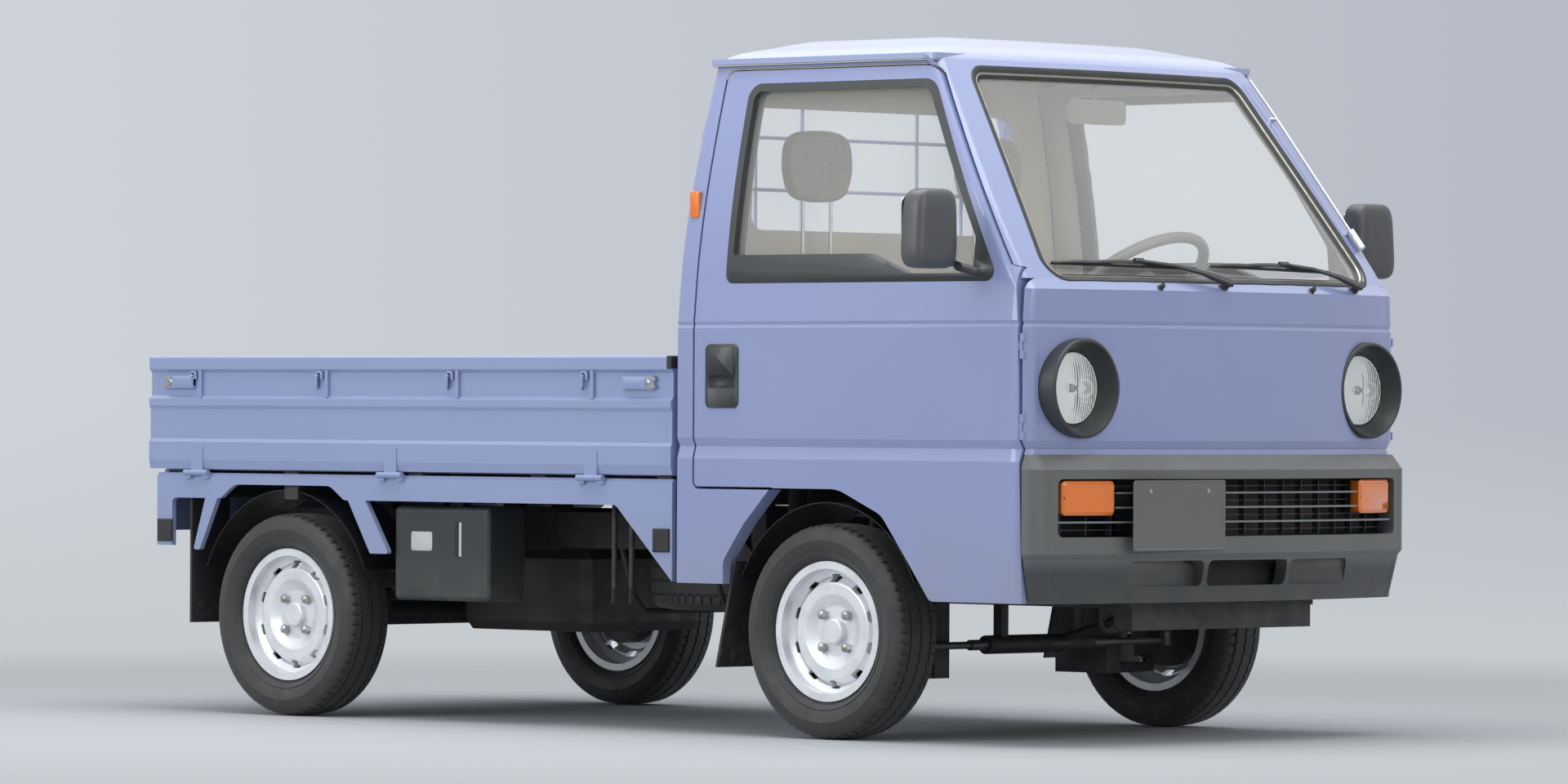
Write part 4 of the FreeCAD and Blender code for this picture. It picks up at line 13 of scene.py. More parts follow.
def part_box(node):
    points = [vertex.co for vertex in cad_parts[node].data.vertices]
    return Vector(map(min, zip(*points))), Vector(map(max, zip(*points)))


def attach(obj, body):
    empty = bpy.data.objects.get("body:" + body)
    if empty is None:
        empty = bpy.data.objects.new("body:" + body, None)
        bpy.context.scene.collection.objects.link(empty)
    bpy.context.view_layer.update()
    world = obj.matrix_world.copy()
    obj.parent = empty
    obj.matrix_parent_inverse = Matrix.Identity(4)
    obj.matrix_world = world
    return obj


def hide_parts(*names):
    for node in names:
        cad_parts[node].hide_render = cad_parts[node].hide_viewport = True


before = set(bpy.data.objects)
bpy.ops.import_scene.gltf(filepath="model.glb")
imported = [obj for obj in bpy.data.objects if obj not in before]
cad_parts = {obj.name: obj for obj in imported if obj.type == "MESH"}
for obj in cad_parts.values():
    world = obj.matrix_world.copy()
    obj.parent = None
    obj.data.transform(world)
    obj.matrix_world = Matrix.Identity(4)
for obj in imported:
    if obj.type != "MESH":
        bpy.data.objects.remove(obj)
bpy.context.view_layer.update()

# Camera: a long lens about 20 m away, level with a tall person's waist, a quarter turn off the truck's
# nose. Its place was fitted to the wheels, lamps, windshield corners and gate ends.
lens_mm = 181.5
camera_at = Vector((13.819, -14.506, 0.795))
heading = math.radians(43.519)
tilt = math.radians(0.121)
roll = math.radians(0.298)
ahead = Vector((-math.sin(heading) * math.cos(tilt), math.cos(heading) * math.cos(tilt), math.sin(tilt)))
level_right = Vector((math.cos(heading), math.sin(heading), 0))
level_up = level_right.cross(ahead)
camera_right = level_right * math.cos(roll) + level_up * math.sin(roll)
camera_up = level_up * math.cos(roll) - level_right * math.sin(roll)
camera_data = bpy.data.cameras.new("studio_camera")
camera_data.lens = lens_mm
camera_data.sensor_width = 36
camera_data.clip_end = 200
camera = bpy.data.objects.new("studio_camera", camera_data)
bpy.context.scene.collection.objects.link(camera)
axes = Matrix((camera_right, camera_up, -ahead)).transposed().to_4x4()
camera.matrix_world = Matrix.Translation(camera_at) @ axes
bpy.context.scene.camera = camera
bpy.context.scene.view_settings.view_transform = "Standard"


# Studio: a pale grey-blue floor that fades into the backdrop, a wide soft lamp overhead, and weaker
# ones to the front and the side. The backdrop's colour comes from the world, seen also through glass.
def linear(red, green, blue):
    """A colour given as a picture editor gives it, 0 to 255, in Blender's linear values."""
    levels = [level / 255 for level in (red, green, blue)]
    return tuple(v / 12.92 if v <= 0.04045 else ((v + 0.055) / 1.055) ** 2.4 for v in levels) + (1.0,)


def plug(socket, value):
    """Links another node's socket to an input, or sets the input's value."""
    if isinstance(value, bpy.types.NodeSocket):
        socket.id_data.links.new(value, socket)
    else:
        socket.default_value = value


def tree_node(tree, kind, inputs=(), **settings):
    """A node in a tree: its properties, then values or sockets for its inputs, by name or number."""
    made = tree.nodes.new(kind)
    for name, value in settings.items():
        setattr(made, name, value)
    for name, value in inputs:
        plug(made.inputs[name], value)
    return made


def feed(made, **values):
    """Fills inputs of a node by name, with underscores for spaces."""
    for name, value in values.items():
        plug(made.inputs[name.replace("_", " ")], value)
    return made


def in_scene(name, data):
    """An object for some data, in the scene."""
    made = bpy.data.objects.new(name, data)
    bpy.context.scene.collection.objects.link(made)
    return made


def two_tones(factor, first, second):
    """A colour that runs from the first to the second."""
    return tree_node(factor.id_data, "ShaderNodeMix", [("Factor", factor), (6, first), (7, second)],
                     data_type="RGBA").outputs[2]


backdrop_left = linear(206, 212, 218)
backdrop_right = linear(181, 185, 196)
backdrop_low = linear(199, 203, 207)
world = bpy.data.worlds.new("studio_world")
bpy.context.scene.world = world
world.use_nodes = True
sky = world.node_tree
sky.nodes.clear()
sky_way = tree_node(sky, "ShaderNodeTexCoord").outputs["Generated"]
sky_axes = tree_node(sky, "ShaderNodeSeparateXYZ", [(0, sky_way)]).outputs
across = tree_node(sky, "ShaderNodeMath", [(0, sky_axes["X"]), (1, 6.2), (2, 4.75)], operation="MULTIPLY_ADD")
across_tone = two_tones(across.outputs[0], backdrop_left, backdrop_right)
fall = feed(tree_node(sky, "ShaderNodeMapRange"), Value=sky_axes["Z"], From_Min=-0.03, From_Max=0.0,
            To_Min=1.0, To_Max=0.0)
tone = two_tones(fall.outputs[0], across_tone, backdrop_low)
overhead_glow = feed(tree_node(sky, "ShaderNodeMapRange"), Value=sky_axes["Z"], From_Min=0.1, From_Max=0.75,
                     To_Min=0.66, To_Max=1.7)
seen = feed(tree_node(sky, "ShaderNodeBackground"), Color=tone, Strength=1.0)
room = feed(tree_node(sky, "ShaderNodeBackground"), Color=linear(250, 252, 255),
            Strength=overhead_glow.outputs[0])
light = feed(tree_node(sky, "ShaderNodeBackground"), Color=linear(246, 249, 255), Strength=0.62)
rays = tree_node(sky, "ShaderNodeLightPath").outputs
sees_through = tree_node(sky, "ShaderNodeMath", [
    (0, rays["Is Camera Ray"]), (1, rays["Is Transmission Ray"])], operation="MAXIMUM")
glossy_or_light = tree_node(sky, "ShaderNodeMixShader", [
    (0, rays["Is Glossy Ray"]), (1, light.outputs[0]), (2, room.outputs[0])])
all_rays = tree_node(sky, "ShaderNodeMixShader", [
    (0, sees_through.outputs[0]), (1, glossy_or_light.outputs[0]), (2, seen.outputs[0])])
tree_node(sky, "ShaderNodeOutputWorld", [(0, all_rays.outputs[0])])

floor_material = bpy.data.materials.new("studio_floor")
floor_material.use_nodes = True
floor_tree = floor_material.node_tree
floor_tree.nodes.clear()
floor_place = tree_node(floor_tree, "ShaderNodeTexCoord").outputs["Object"]
floor_far = tree_node(floor_tree, "ShaderNodeVectorMath", [(0, floor_place)], operation="LENGTH")
floor_fade = feed(tree_node(floor_tree, "ShaderNodeMapRange", interpolation_type="SMOOTHSTEP"),
                  Value=floor_far.outputs["Value"], From_Min=2.2, From_Max=6.5)
floor_paint = feed(tree_node(floor_tree, "ShaderNodeBsdfDiffuse"), Color=linear(178, 181, 184))
floor_clear = tree_node(floor_tree, "ShaderNodeBsdfTransparent")
floor_mix = tree_node(floor_tree, "ShaderNodeMixShader", [
    (0, floor_fade.outputs[0]), (1, floor_paint.outputs[0]), (2, floor_clear.outputs[0])])
tree_node(floor_tree, "ShaderNodeOutputMaterial", [(0, floor_mix.outputs[0])])
floor_half = 14.0
floor_mesh = bpy.data.meshes.new("floor")
floor_corners = [(floor_half * x, floor_half * y, 0) for x, y in ((-1, -1), (1, -1), (1, 1), (-1, 1))]
floor_mesh.from_pydata(floor_corners, [], [(0, 1, 2, 3)])
floor_mesh.materials.append(floor_material)
floor = in_scene("floor", floor_mesh)


def soft_lamp(name, at, toward, width, height, watts, colour):
    """A rectangular soft lamp at a point, facing another."""
    lamp = bpy.data.lights.new(name, "AREA")
    lamp.shape = "RECTANGLE"
    lamp.size = width
    lamp.size_y = height
    lamp.energy = watts
    lamp.color = colour
    holder = in_scene(name, lamp)
    holder.location = at
    holder.rotation_euler = (Vector(toward) - Vector(at)).to_track_quat("-Z", "Y").to_euler()


soft_lamp("lamp_overhead", (0.4, -0.6, 5.2), (0, 0, 0.8), 5.5, 4.0, 250, (1.0, 0.99, 0.97))
soft_lamp("lamp_side", (-1.5, -7.5, 3.2), (-0.2, 0, 0.9), 5.0, 3.0, 190, (0.96, 0.98, 1.0))
soft_lamp("lamp_nose", (8.0, -1.5, 3.0), (1.0, 0, 0.9), 3.5, 3.0, 95, (1.0, 0.98, 0.95))


# Sheet metal of the cab: pressed steel, primed, sprayed in a light violet-blue enamel and baked. The
# finish is a smooth gloss with a faint orange peel, slow changes of tone between panels, and road film
# on the lowest few inches.
def start_finish(name):
    """A new material, its Principled shader, and the place on the piece that its patterns read."""
    made = bpy.data.materials.new(name)
    made.use_nodes = True
    tree = made.node_tree
    return made, tree.nodes["Principled BSDF"], tree_node(tree, "ShaderNodeTexCoord").outputs["Object"]


def mottle(place, scale, low, high, detail=4.0, stretch=(1, 1, 1)):
    """Soft random patches, running from low to high."""
    tree = place.id_data
    stretched = feed(tree_node(tree, "ShaderNodeMapping"), Vector=place, Scale=stretch)
    noise = feed(tree_node(tree, "ShaderNodeTexNoise"), Vector=stretched.outputs[0], Scale=scale,
                 Detail=detail,
                 Roughness=0.55)
    spread = feed(tree_node(tree, "ShaderNodeMapRange"), Value=noise.outputs["Fac"], From_Min=0.3,
                  From_Max=0.7,
                  To_Min=low, To_Max=high)
    return spread.outputs[0]


def waves(place, axis, scale):
    """Even ribs that follow one another along an axis."""
    ribs = tree_node(place.id_data, "ShaderNodeTexWave", wave_type="BANDS", bands_direction=axis,
                     wave_profile="SIN")
    return feed(ribs, Vector=place, Scale=scale).outputs["Fac"]


def pores(place, scale):
    """A fine grain of small cells."""
    return feed(tree_node(place.id_data, "ShaderNodeTexVoronoi"), Vector=place,
                Scale=scale).outputs["Distance"]


def between(place, axis, start, end):
    """0 up to start and 1 from end, along an axis of the row frame."""
    apart = tree_node(place.id_data, "ShaderNodeSeparateXYZ", [(0, place)])
    ramp = tree_node(place.id_data, "ShaderNodeMapRange", interpolation_type="SMOOTHSTEP")
    return feed(ramp, Value=apart.outputs[axis], From_Min=start, From_Max=end).outputs[0]


def product(first, second):
    """Two masks multiplied, the second of them perhaps a plain number."""
    return tree_node(first.id_data, "ShaderNodeMath", [(0, first), (1, second)],
                     operation="MULTIPLY").outputs[0]


def emboss(shader, heights):
    """Raises a surface by (height socket, metres, strength) in turn."""
    normal = None
    for height, distance, strength in heights:
        bump = feed(tree_node(shader.id_data, "ShaderNodeBump"), Height=height, Distance=distance,
                    Strength=strength)
        if normal:
            plug(bump.inputs["Normal"], normal)
        normal = bump.outputs[0]
    plug(shader.inputs["Normal"], normal)


def sprayed_steel(name, colour, deep, gloss=0.34, coat=0.8, film=0.5):
    """Baked enamel over pressed sheet steel, with road film low down."""
    made, shader, place = start_finish(name)
    patches = mottle(place, 1.6, 0.0, 0.55)
    fine = mottle(place, 24, 0.0, 0.18)
    paint = two_tones(fine, two_tones(patches, colour, deep), deep)
    low = product(between(place, "Z", 0.62, 0.3), mottle(place, 9, 0.1, film, stretch=(1, 1, 0.35)))
    road_film = linear(139, 141, 146)
    feed(shader, Base_Color=two_tones(low, paint, road_film),
         Roughness=mottle(place, 5, gloss - 0.05, gloss + 0.09), Coat_Weight=coat, Coat_Roughness=0.06,
         Specular_IOR_Level=0.45)
    emboss(shader, [(mottle(place, 1.9, 0, 1, 2), 0.004, 0.12),
                    (mottle(place, 320, 0, 1, 1), 0.0003, 0.12)])
    return made


def dress(finish, *names):
    """Gives CAD nodes a finish through their own material slots."""
    for name in names:
        for place_in_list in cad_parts[name].material_slots:
            place_in_list.material = finish


cab_blue = sprayed_steel("cab_enamel", linear(137, 149, 191), linear(131, 142, 185))
dress(cab_blue, "cab_frame", "cab_back_panel", "cab_front_panel", "door_right", "door_left")
# Painted light: the roof gets a lighter blue than the cab's sides, standing in for the brighter light that falls on
# its top from overhead.
roof_blue_painted_light = sprayed_steel("roof_enamel_painted_light", linear(155, 166, 203), linear(148, 160, 197), gloss=0.3)
dress(roof_blue_painted_light, "cab_roof")

# Load bed: thicker folded sheet, welded and sprayed in the same blue. Loads, boots and rain have
# dulled the deck, scuffed its ribs to a paler grey, and left the gates a little flatter than the cab.
bed_blue = sprayed_steel("bed_enamel", linear(140, 154, 192), linear(133, 146, 186), gloss=0.4, coat=0.55)
dress(bed_blue, "gate_right", "gate_left", "gate_rear", "bed_headboard", "bed_skirts")


def worn_deck():
    """The same enamel with scuffs drawn out along the truck, worn through to grey on the rib tops."""
    made, shader, place = start_finish("deck_enamel")
    patches = mottle(place, 2.2, 0.0, 0.8)
    paint = two_tones(patches, linear(138, 151, 190), linear(126, 138, 178))
    scuffs = mottle(place, 34, -0.9, 1.0, detail=6, stretch=(0.08, 1, 1))
    rib_tops = product(between(place, "Z", 0.6415, 0.6445), scuffs)
    feed(shader, Base_Color=two_tones(rib_tops, paint, linear(150, 153, 160)),
         Roughness=mottle(place, 12, 0.38, 0.62))
    emboss(shader, [(mottle(place, 2.6, 0, 1, 2), 0.006, 0.3),
                    (scuffs, 0.0004, 0.35)])
    return made


dress(worn_deck(), "bed_deck")


# Chassis: welded box rails and cross members under black anti-rust paint, dull and dusty, with brown
# rust showing at the patches that stones reach.
def underbody_steel(name, colour, dust, rust, gloss=0.55, metallic=0.0):
    """Dull protected steel with dust in patches and a little rust."""
    made, shader, place = start_finish(name)
    patches = mottle(place, 7, 0.0, 0.6)
    rusty = mottle(place, 26, -1.3, 1.0, detail=8)
    base = two_tones(patches, colour, dust)
    feed(shader, Base_Color=two_tones(product(rusty, 0.55), base, rust),
         Roughness=mottle(place, 16, gloss - 0.1, gloss + 0.2), Metallic=metallic)
    emboss(shader, [(mottle(place, 60, 0, 1, 5), 0.0012, 0.3),
                    (rusty, 0.0008, 0.3)])
    return made


rail_black = underbody_steel("rail_black", linear(38, 39, 41), linear(62, 61, 59), linear(84, 62, 48))
dress(rail_black, "frame", "rear_axle", "front_suspension")
cast_grey = underbody_steel("cast_iron", linear(74, 74, 75), linear(98, 95, 90), linear(98, 72, 55),
                            metallic=0.35)
dress(cast_grey, "engine_block", "knuckle_right", "knuckle_left")
rack_grey = underbody_steel("rack_steel", linear(118, 119, 120), linear(92, 90, 87), linear(92, 70, 55), 0.42,
                            0.7)
dress(rack_grey, "steering_rack")
pipe_steel = underbody_steel("exhaust_steel", linear(112, 107, 101), linear(88, 78, 69), linear(110, 76, 52),
                             0.5, 0.6)
dress(pipe_steel, "exhaust")
tank_black = underbody_steel("tank_black", linear(44, 45, 47), linear(66, 65, 63), linear(74, 60, 50), 0.42)
dress(tank_black, "fuel_tank")


# Moulded plastic: bumper, grille, mirror shells and handles, injection moulded in dark grey with a
# spark-eroded grain, a satin sheen where hands and washing have polished it, and dust low down.
def moulded(name, colour, pale, grain=520, depth=0.0005, gloss=0.5, under=0.0):
    """Grained dark plastic, faded in soft patches, and darker below the bumper's lip as painted shade where that is
    asked for.
    """
    made, shader, place = start_finish(name)
    faded = two_tones(mottle(place, 3.1, 0.0, 1.0), colour, pale)
    low = product(between(place, "Z", 0.45, 0.25), mottle(place, 11, 0.0, 0.4))
    # Painted shade: from 0.455 m down to 0.405 m the colour runs to a near-black grey, standing in for the shadow
    # under the bumper's lip.
    painted_lip_shade = two_tones(product(between(place, "Z", 0.455, 0.405), under), faded, linear(52, 55, 57))
    feed(shader, Base_Color=two_tones(low, painted_lip_shade, linear(108, 106, 102)),
         Roughness=mottle(place, 8, gloss - 0.06, gloss + 0.1))
    emboss(shader, [(mottle(place, 4, 0, 1, 2), 0.003, 0.1), (pores(place, grain), depth, 0.35)])
    return made


# The bumper takes the band of painted shade below its lip.
bumper_grey = moulded("bumper_plastic", linear(93, 95, 95), linear(99, 101, 101), gloss=0.42, under=0.85)
dress(bumper_grey, "front_bumper")
grille_black = moulded("grille_plastic", linear(38, 40, 41), linear(47, 49, 50), gloss=0.42)
dress(grille_black, "grille")
fitting_black = moulded("fitting_plastic", linear(47, 50, 52), linear(55, 58, 60), gloss=0.4)
dress(fitting_black, "door_fittings_right", "door_fittings_left", "headlamp_bezels")
box_grey = moulded("box_plastic", linear(42, 46, 47), linear(47, 51, 52), grain=700, depth=0.0003, gloss=0.4)
dress(box_grey, "side_box")
dash_plastic = moulded("dashboard_plastic", linear(108, 108, 98), linear(115, 114, 104), grain=300,
                       gloss=0.55)
dress(dash_plastic, "dashboard")
wheel_plastic = moulded("handwheel_plastic", linear(104, 104, 98), linear(110, 110, 104), grain=400,
                        gloss=0.45)
dress(wheel_plastic, "steering_wheel", "controls")


# Floor covering of the cab: a black rubber mat with fine ribs across the truck, greyed by boots.
def ribbed_mat():
    """Black rubber with fine ribs and trodden dust."""
    made, shader, place = start_finish("floor_mat")
    trodden = two_tones(mottle(place, 6, 0.0, 1.0), linear(46, 45, 43), linear(70, 66, 61))
    feed(shader, Base_Color=trodden, Roughness=mottle(place, 14, 0.6, 0.85))
    emboss(shader, [(waves(place, "X", 28.0), 0.0012, 0.5)])
    return made


dress(ribbed_mat(), "cab_floor")


# Mud flaps: flat sheets of black rubber hung behind the wheels, splashed with dried mud.
def splashed_rubber():
    """Black rubber with mud splashes that thicken downwards."""
    made, shader, place = start_finish("flap_rubber")
    splash = product(between(place, "Z", 0.36, 0.12), mottle(place, 40, -0.5, 0.9, detail=8))
    rubber = two_tones(mottle(place, 5, 0.0, 1.0), linear(33, 33, 34), linear(44, 44, 44))
    feed(shader, Base_Color=two_tones(splash, rubber, linear(96, 90, 80)),
         Roughness=mottle(place, 18, 0.55, 0.8))
    emboss(shader, [(mottle(place, 90, 0, 1, 4), 0.0009, 0.35)])
    return made


dress(splashed_rubber(), "mudflaps")


# Window glass: the windshield, rear window and door panes are flat clear safety glass, 4 mm thick,
# polished both sides, with only a breath of green in its depth.
def safety_glass(name, tint):
    """Clear sheet glass with a light tint."""
    made, shader, place = start_finish(name)
    feed(shader, Base_Color=tint, Transmission_Weight=0.93, IOR=1.25, Roughness=0.0)
    return made


pane_glass = safety_glass("pane_glass", linear(255, 255, 254))
screen_tint = safety_glass("screen_glass", linear(254, 255, 253))
dress(pane_glass, "door_glass_right", "door_glass_left")
dress(screen_tint, "cab_glass")
for pane in ("cab_glass", "door_glass_right", "door_glass_left", "headlamp_lenses"):
    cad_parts[pane].visible_shadow = False


# Signal lamps: amber plastic lenses, prism-ribbed inside so that they glow evenly by daylight.
def prism_lens(name, colour, deep, pitch):
    """Coloured lens plastic with fine prism ribs behind a smooth face."""
    made, shader, place = start_finish(name)
    cells = product(waves(place, "Z", pitch), waves(place, "Y", pitch))
    feed(shader, Base_Color=two_tones(cells, deep, colour), Roughness=mottle(place, 9, 0.08, 0.16),
         Coat_Weight=0.8, Coat_Roughness=0.05, Subsurface_Weight=0.25, Subsurface_Radius=(0.01, 0.004, 0.001))
    emboss(shader, [(cells, 0.0003, 0.12)])
    return made


amber_lens = prism_lens("amber_lens", linear(244, 134, 38), linear(228, 116, 30), 60)
dress(amber_lens, "indicators")
red_lens = prism_lens("red_lens", linear(186, 34, 28), linear(128, 18, 16), 26)
dress(red_lens, "tail_lamps")


# Tyres: light-truck cross-ply pattern, moulded in black rubber. Three zigzag grooves run round the
# tread, short cuts open its shoulders, and fine rings stand on the sidewalls. One piece per wheel.
axle_x = {"front": 0.8105, "rear": -1.0895}
wheel_half_track = 0.6
tyre_radius = 0.26
tread_pitches = 62
pitch_steps = (0.0, 0.1, 0.2, 0.3, 0.65)
groove_places = (-0.0345, 0.0, 0.0345)
groove_half = 0.0028
groove_depth = 0.0065
zigzag = 0.0026
side_rings = [(0.1565, 0.0475), (0.1700, 0.0478), (0.1745, 0.0495), (0.1775, 0.0560), (0.1815, 0.0600),
              (0.1850, 0.0622), (0.1870, 0.0648), (0.1890, 0.0652), (0.1905, 0.0640), (0.1990, 0.0682),
              (0.2090, 0.0716), (0.2160, 0.0729), (0.2180, 0.0738), (0.2205, 0.0739), (0.2225, 0.0730),
              (0.2330, 0.0716), (0.2420, 0.0686), (0.2480, 0.0652), (0.2515, 0.0622)]
shoulder = [(0.2545, 0.0590), (0.2565, 0.0545), (0.2572, 0.0470), (0.2578, 0.0420)]


def tread_line(step_at, swing):
    """The tyre's section at one step of a pitch, as (radius, y), from one bead to the other."""
    cut = 0.0042 if step_at in (0.1, 0.2) else 0.0
    outer = list(side_rings) + [(r - cut * (0.6 if i == 0 else 1.0), y) for i, (r, y) in enumerate(shoulder)]
    line = [(r, -y) for r, y in outer]
    for middle in groove_places:
        for y, deep in ((middle - groove_half, 0), (middle - groove_half * 0.55, 1),
                        (middle + groove_half * 0.55, 1),
                        (middle + groove_half, 0)):
            crown = 0.2598 - 0.9 * y * y
            line.append((crown - groove_depth * deep, y + swing))
        if middle < groove_places[-1]:
            line.append((0.2598 - 0.9 * (middle + 0.01725) ** 2, middle + 0.01725))
    return line + [(r, y) for r, y in reversed(outer)]


def tyre_piece(name, centre, turn=None):
    """One tyre about a wheel centre, its axis on Y unless it is turned."""
    rings = []
    for pitch in range(tread_pitches):
        for step_at in pitch_steps:
            angle = 2 * math.pi * (pitch + step_at) / tread_pitches
            line = tread_line(step_at, zigzag * (1 - 4 * abs(step_at - 0.5)))
            rings.append([(r * math.cos(angle), y, r * math.sin(angle)) for r, y in line])
    tyre = lofted(name, rings, closed=True)
    tyre.data.transform(Matrix.Translation(centre) @ (turn or Matrix.Identity(4)))
    return tyre


def finished(name, mesh, smooth_below=38):
    """An object for a closed mesh, its faces outwards and its round parts smooth."""
    work = bmesh.new()
    work.from_mesh(mesh)
    bmesh.ops.remove_doubles(work, verts=work.verts, dist=1e-7)
    bmesh.ops.recalc_face_normals(work, faces=work.faces)
    work.to_mesh(mesh)
    work.free()
    mesh.shade_smooth()
    mesh.set_sharp_from_angle(angle=math.radians(smooth_below))
    piece = in_scene(name, mesh)
    return piece


def lofted(name, rings, smooth_below=38, closed=False):
    """A piece through rings of points: capped at both ends, or closed back to its first ring."""
    count = len(rings[0])
    faces = []
    for i in range(len(rings) if closed else len(rings) - 1):
        here, after = i * count, (i + 1) % len(rings) * count
        for k in range(count):
            m = (k + 1) % count
            faces.append((here + k, here + m, after + m, after + k))
    if not closed:
        faces += [tuple(range(count)), tuple(range(after, after + count))]
    mesh = bpy.data.meshes.new(name)
    mesh.from_pydata([tuple(point) for ring in rings for point in ring], [], faces)
    return finished(name, mesh, smooth_below)


def fit(piece, finish, body):
    """Gives a piece its finish and the body that it moves with."""
    piece.data.materials.clear()
    piece.data.materials.append(finish)
    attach(piece, body)
    return piece


def tread_rubber():
    """Black carbon rubber, matt, in soft blotches, dusted grey low down, with a faint sheen."""
    made, shader, place = start_finish("tyre_rubber")
    blotch = mottle(place, 11, 0.0, 1.0)
    rubber = two_tones(blotch, linear(40, 41, 41), linear(49, 50, 50))
    dusty = product(between(place, "Z", 0.2, 0.0), mottle(place, 45, -0.6, 0.3, detail=7))
    feed(shader, Base_Color=two_tones(dusty, rubber, linear(104, 101, 97)),
         Roughness=mottle(place, 20, 0.52, 0.72), Sheen_Weight=0.12)
    emboss(shader, [(mottle(place, 150, 0, 1, 3), 0.0006, 0.25)])
    return made


tyre_black = tread_rubber()
wheel_places = {}
for end in ("front", "rear"):
    for side_name, side in (("right", -1), ("left", 1)):
        centre = Vector((axle_x[end], side * wheel_half_track, tyre_radius))
        wheel_places[end + "_" + side_name] = (centre, side)
        tyre = tyre_piece("treaded_tyre_" + end + "_" + side_name, centre)
        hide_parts("tyre_" + end + "_" + side_name)
        fit(tyre, tyre_black, "wheel_" + end + "_" + side_name)


# Wheels: welded steel discs and rims, stove-enamelled silver, greyed with brake dust in random patches. Each has four
# plated hexagon nuts, set on their circle by geometry nodes.
def silver_enamel():
    """Fine aluminium-flake enamel, greyed with brake dust in random patches."""
    made, shader, place = start_finish("wheel_silver")
    dust = mottle(place, 18, -0.35, 0.8, detail=6)
    feed(shader, Base_Color=two_tones(dust, linear(232, 234, 238), linear(214, 216, 220)), Metallic=0.3,
         Roughness=mottle(place, 60, 0.26, 0.4), Coat_Weight=0.3, Coat_Roughness=0.15)
    emboss(shader, [(mottle(place, 500, 0, 1, 1), 0.0002, 0.15)])
    return made


wheel_silver = silver_enamel()
dress(wheel_silver, "rim_front_right", "rim_front_left", "rim_rear_right", "rim_rear_left")


def plated(name, colour, dull, rough=0.18):
    """Zinc or chrome plating, slightly clouded, with water marks."""
    made, shader, place = start_finish(name)
    clouds = mottle(place, 70, 0.0, 1.0)
    feed(shader, Base_Color=two_tones(clouds, colour, dull), Metallic=1.0,
         Roughness=mottle(place, 120, rough, rough + 0.16))
    emboss(shader, [(clouds, 0.0002, 0.1)])
    return made


nut_plating = plated("nut_plating", linear(196, 196, 194), linear(150, 148, 143), 0.24)
chrome = plated("chrome_plating", linear(222, 224, 226), linear(205, 207, 209), 0.06)
dress(chrome, "antenna")


def start_tree(name, sizes):
    """A geometry tree with named inputs for its sizes, and the nodes where it begins and ends."""
    tree = bpy.data.node_groups.new(name, "GeometryNodeTree")
    tree.interface.new_socket("Geometry", in_out="INPUT", socket_type="NodeSocketGeometry")
    tree.interface.new_socket("Geometry", in_out="OUTPUT", socket_type="NodeSocketGeometry")
    for label, (kind, value) in sizes.items():
        tree.interface.new_socket(label, in_out="INPUT",
                                  socket_type="NodeSocket" + kind).default_value = value
    return tree, tree.nodes.new("NodeGroupInput"), tree.nodes.new("NodeGroupOutput")


def grown(name, tree, values):
    """Runs a geometry tree and keeps what it makes as a plain mesh."""
    seed = in_scene(name + "_seed", bpy.data.meshes.new(name + "_seed"))
    growth = seed.modifiers.new("growth", "NODES")
    growth.node_group = tree
    for item in tree.interface.items_tree:
        if item.item_type == "SOCKET" and item.in_out == "INPUT" and item.name in values:
            growth[item.identifier] = values[item.name]
    bpy.context.view_layer.update()
    settled = seed.evaluated_get(bpy.context.evaluated_depsgraph_get())
    mesh = bpy.data.meshes.new_from_object(settled)
    bpy.data.objects.remove(seed)
    mesh.name = name
    return finished(name, mesh, 30)


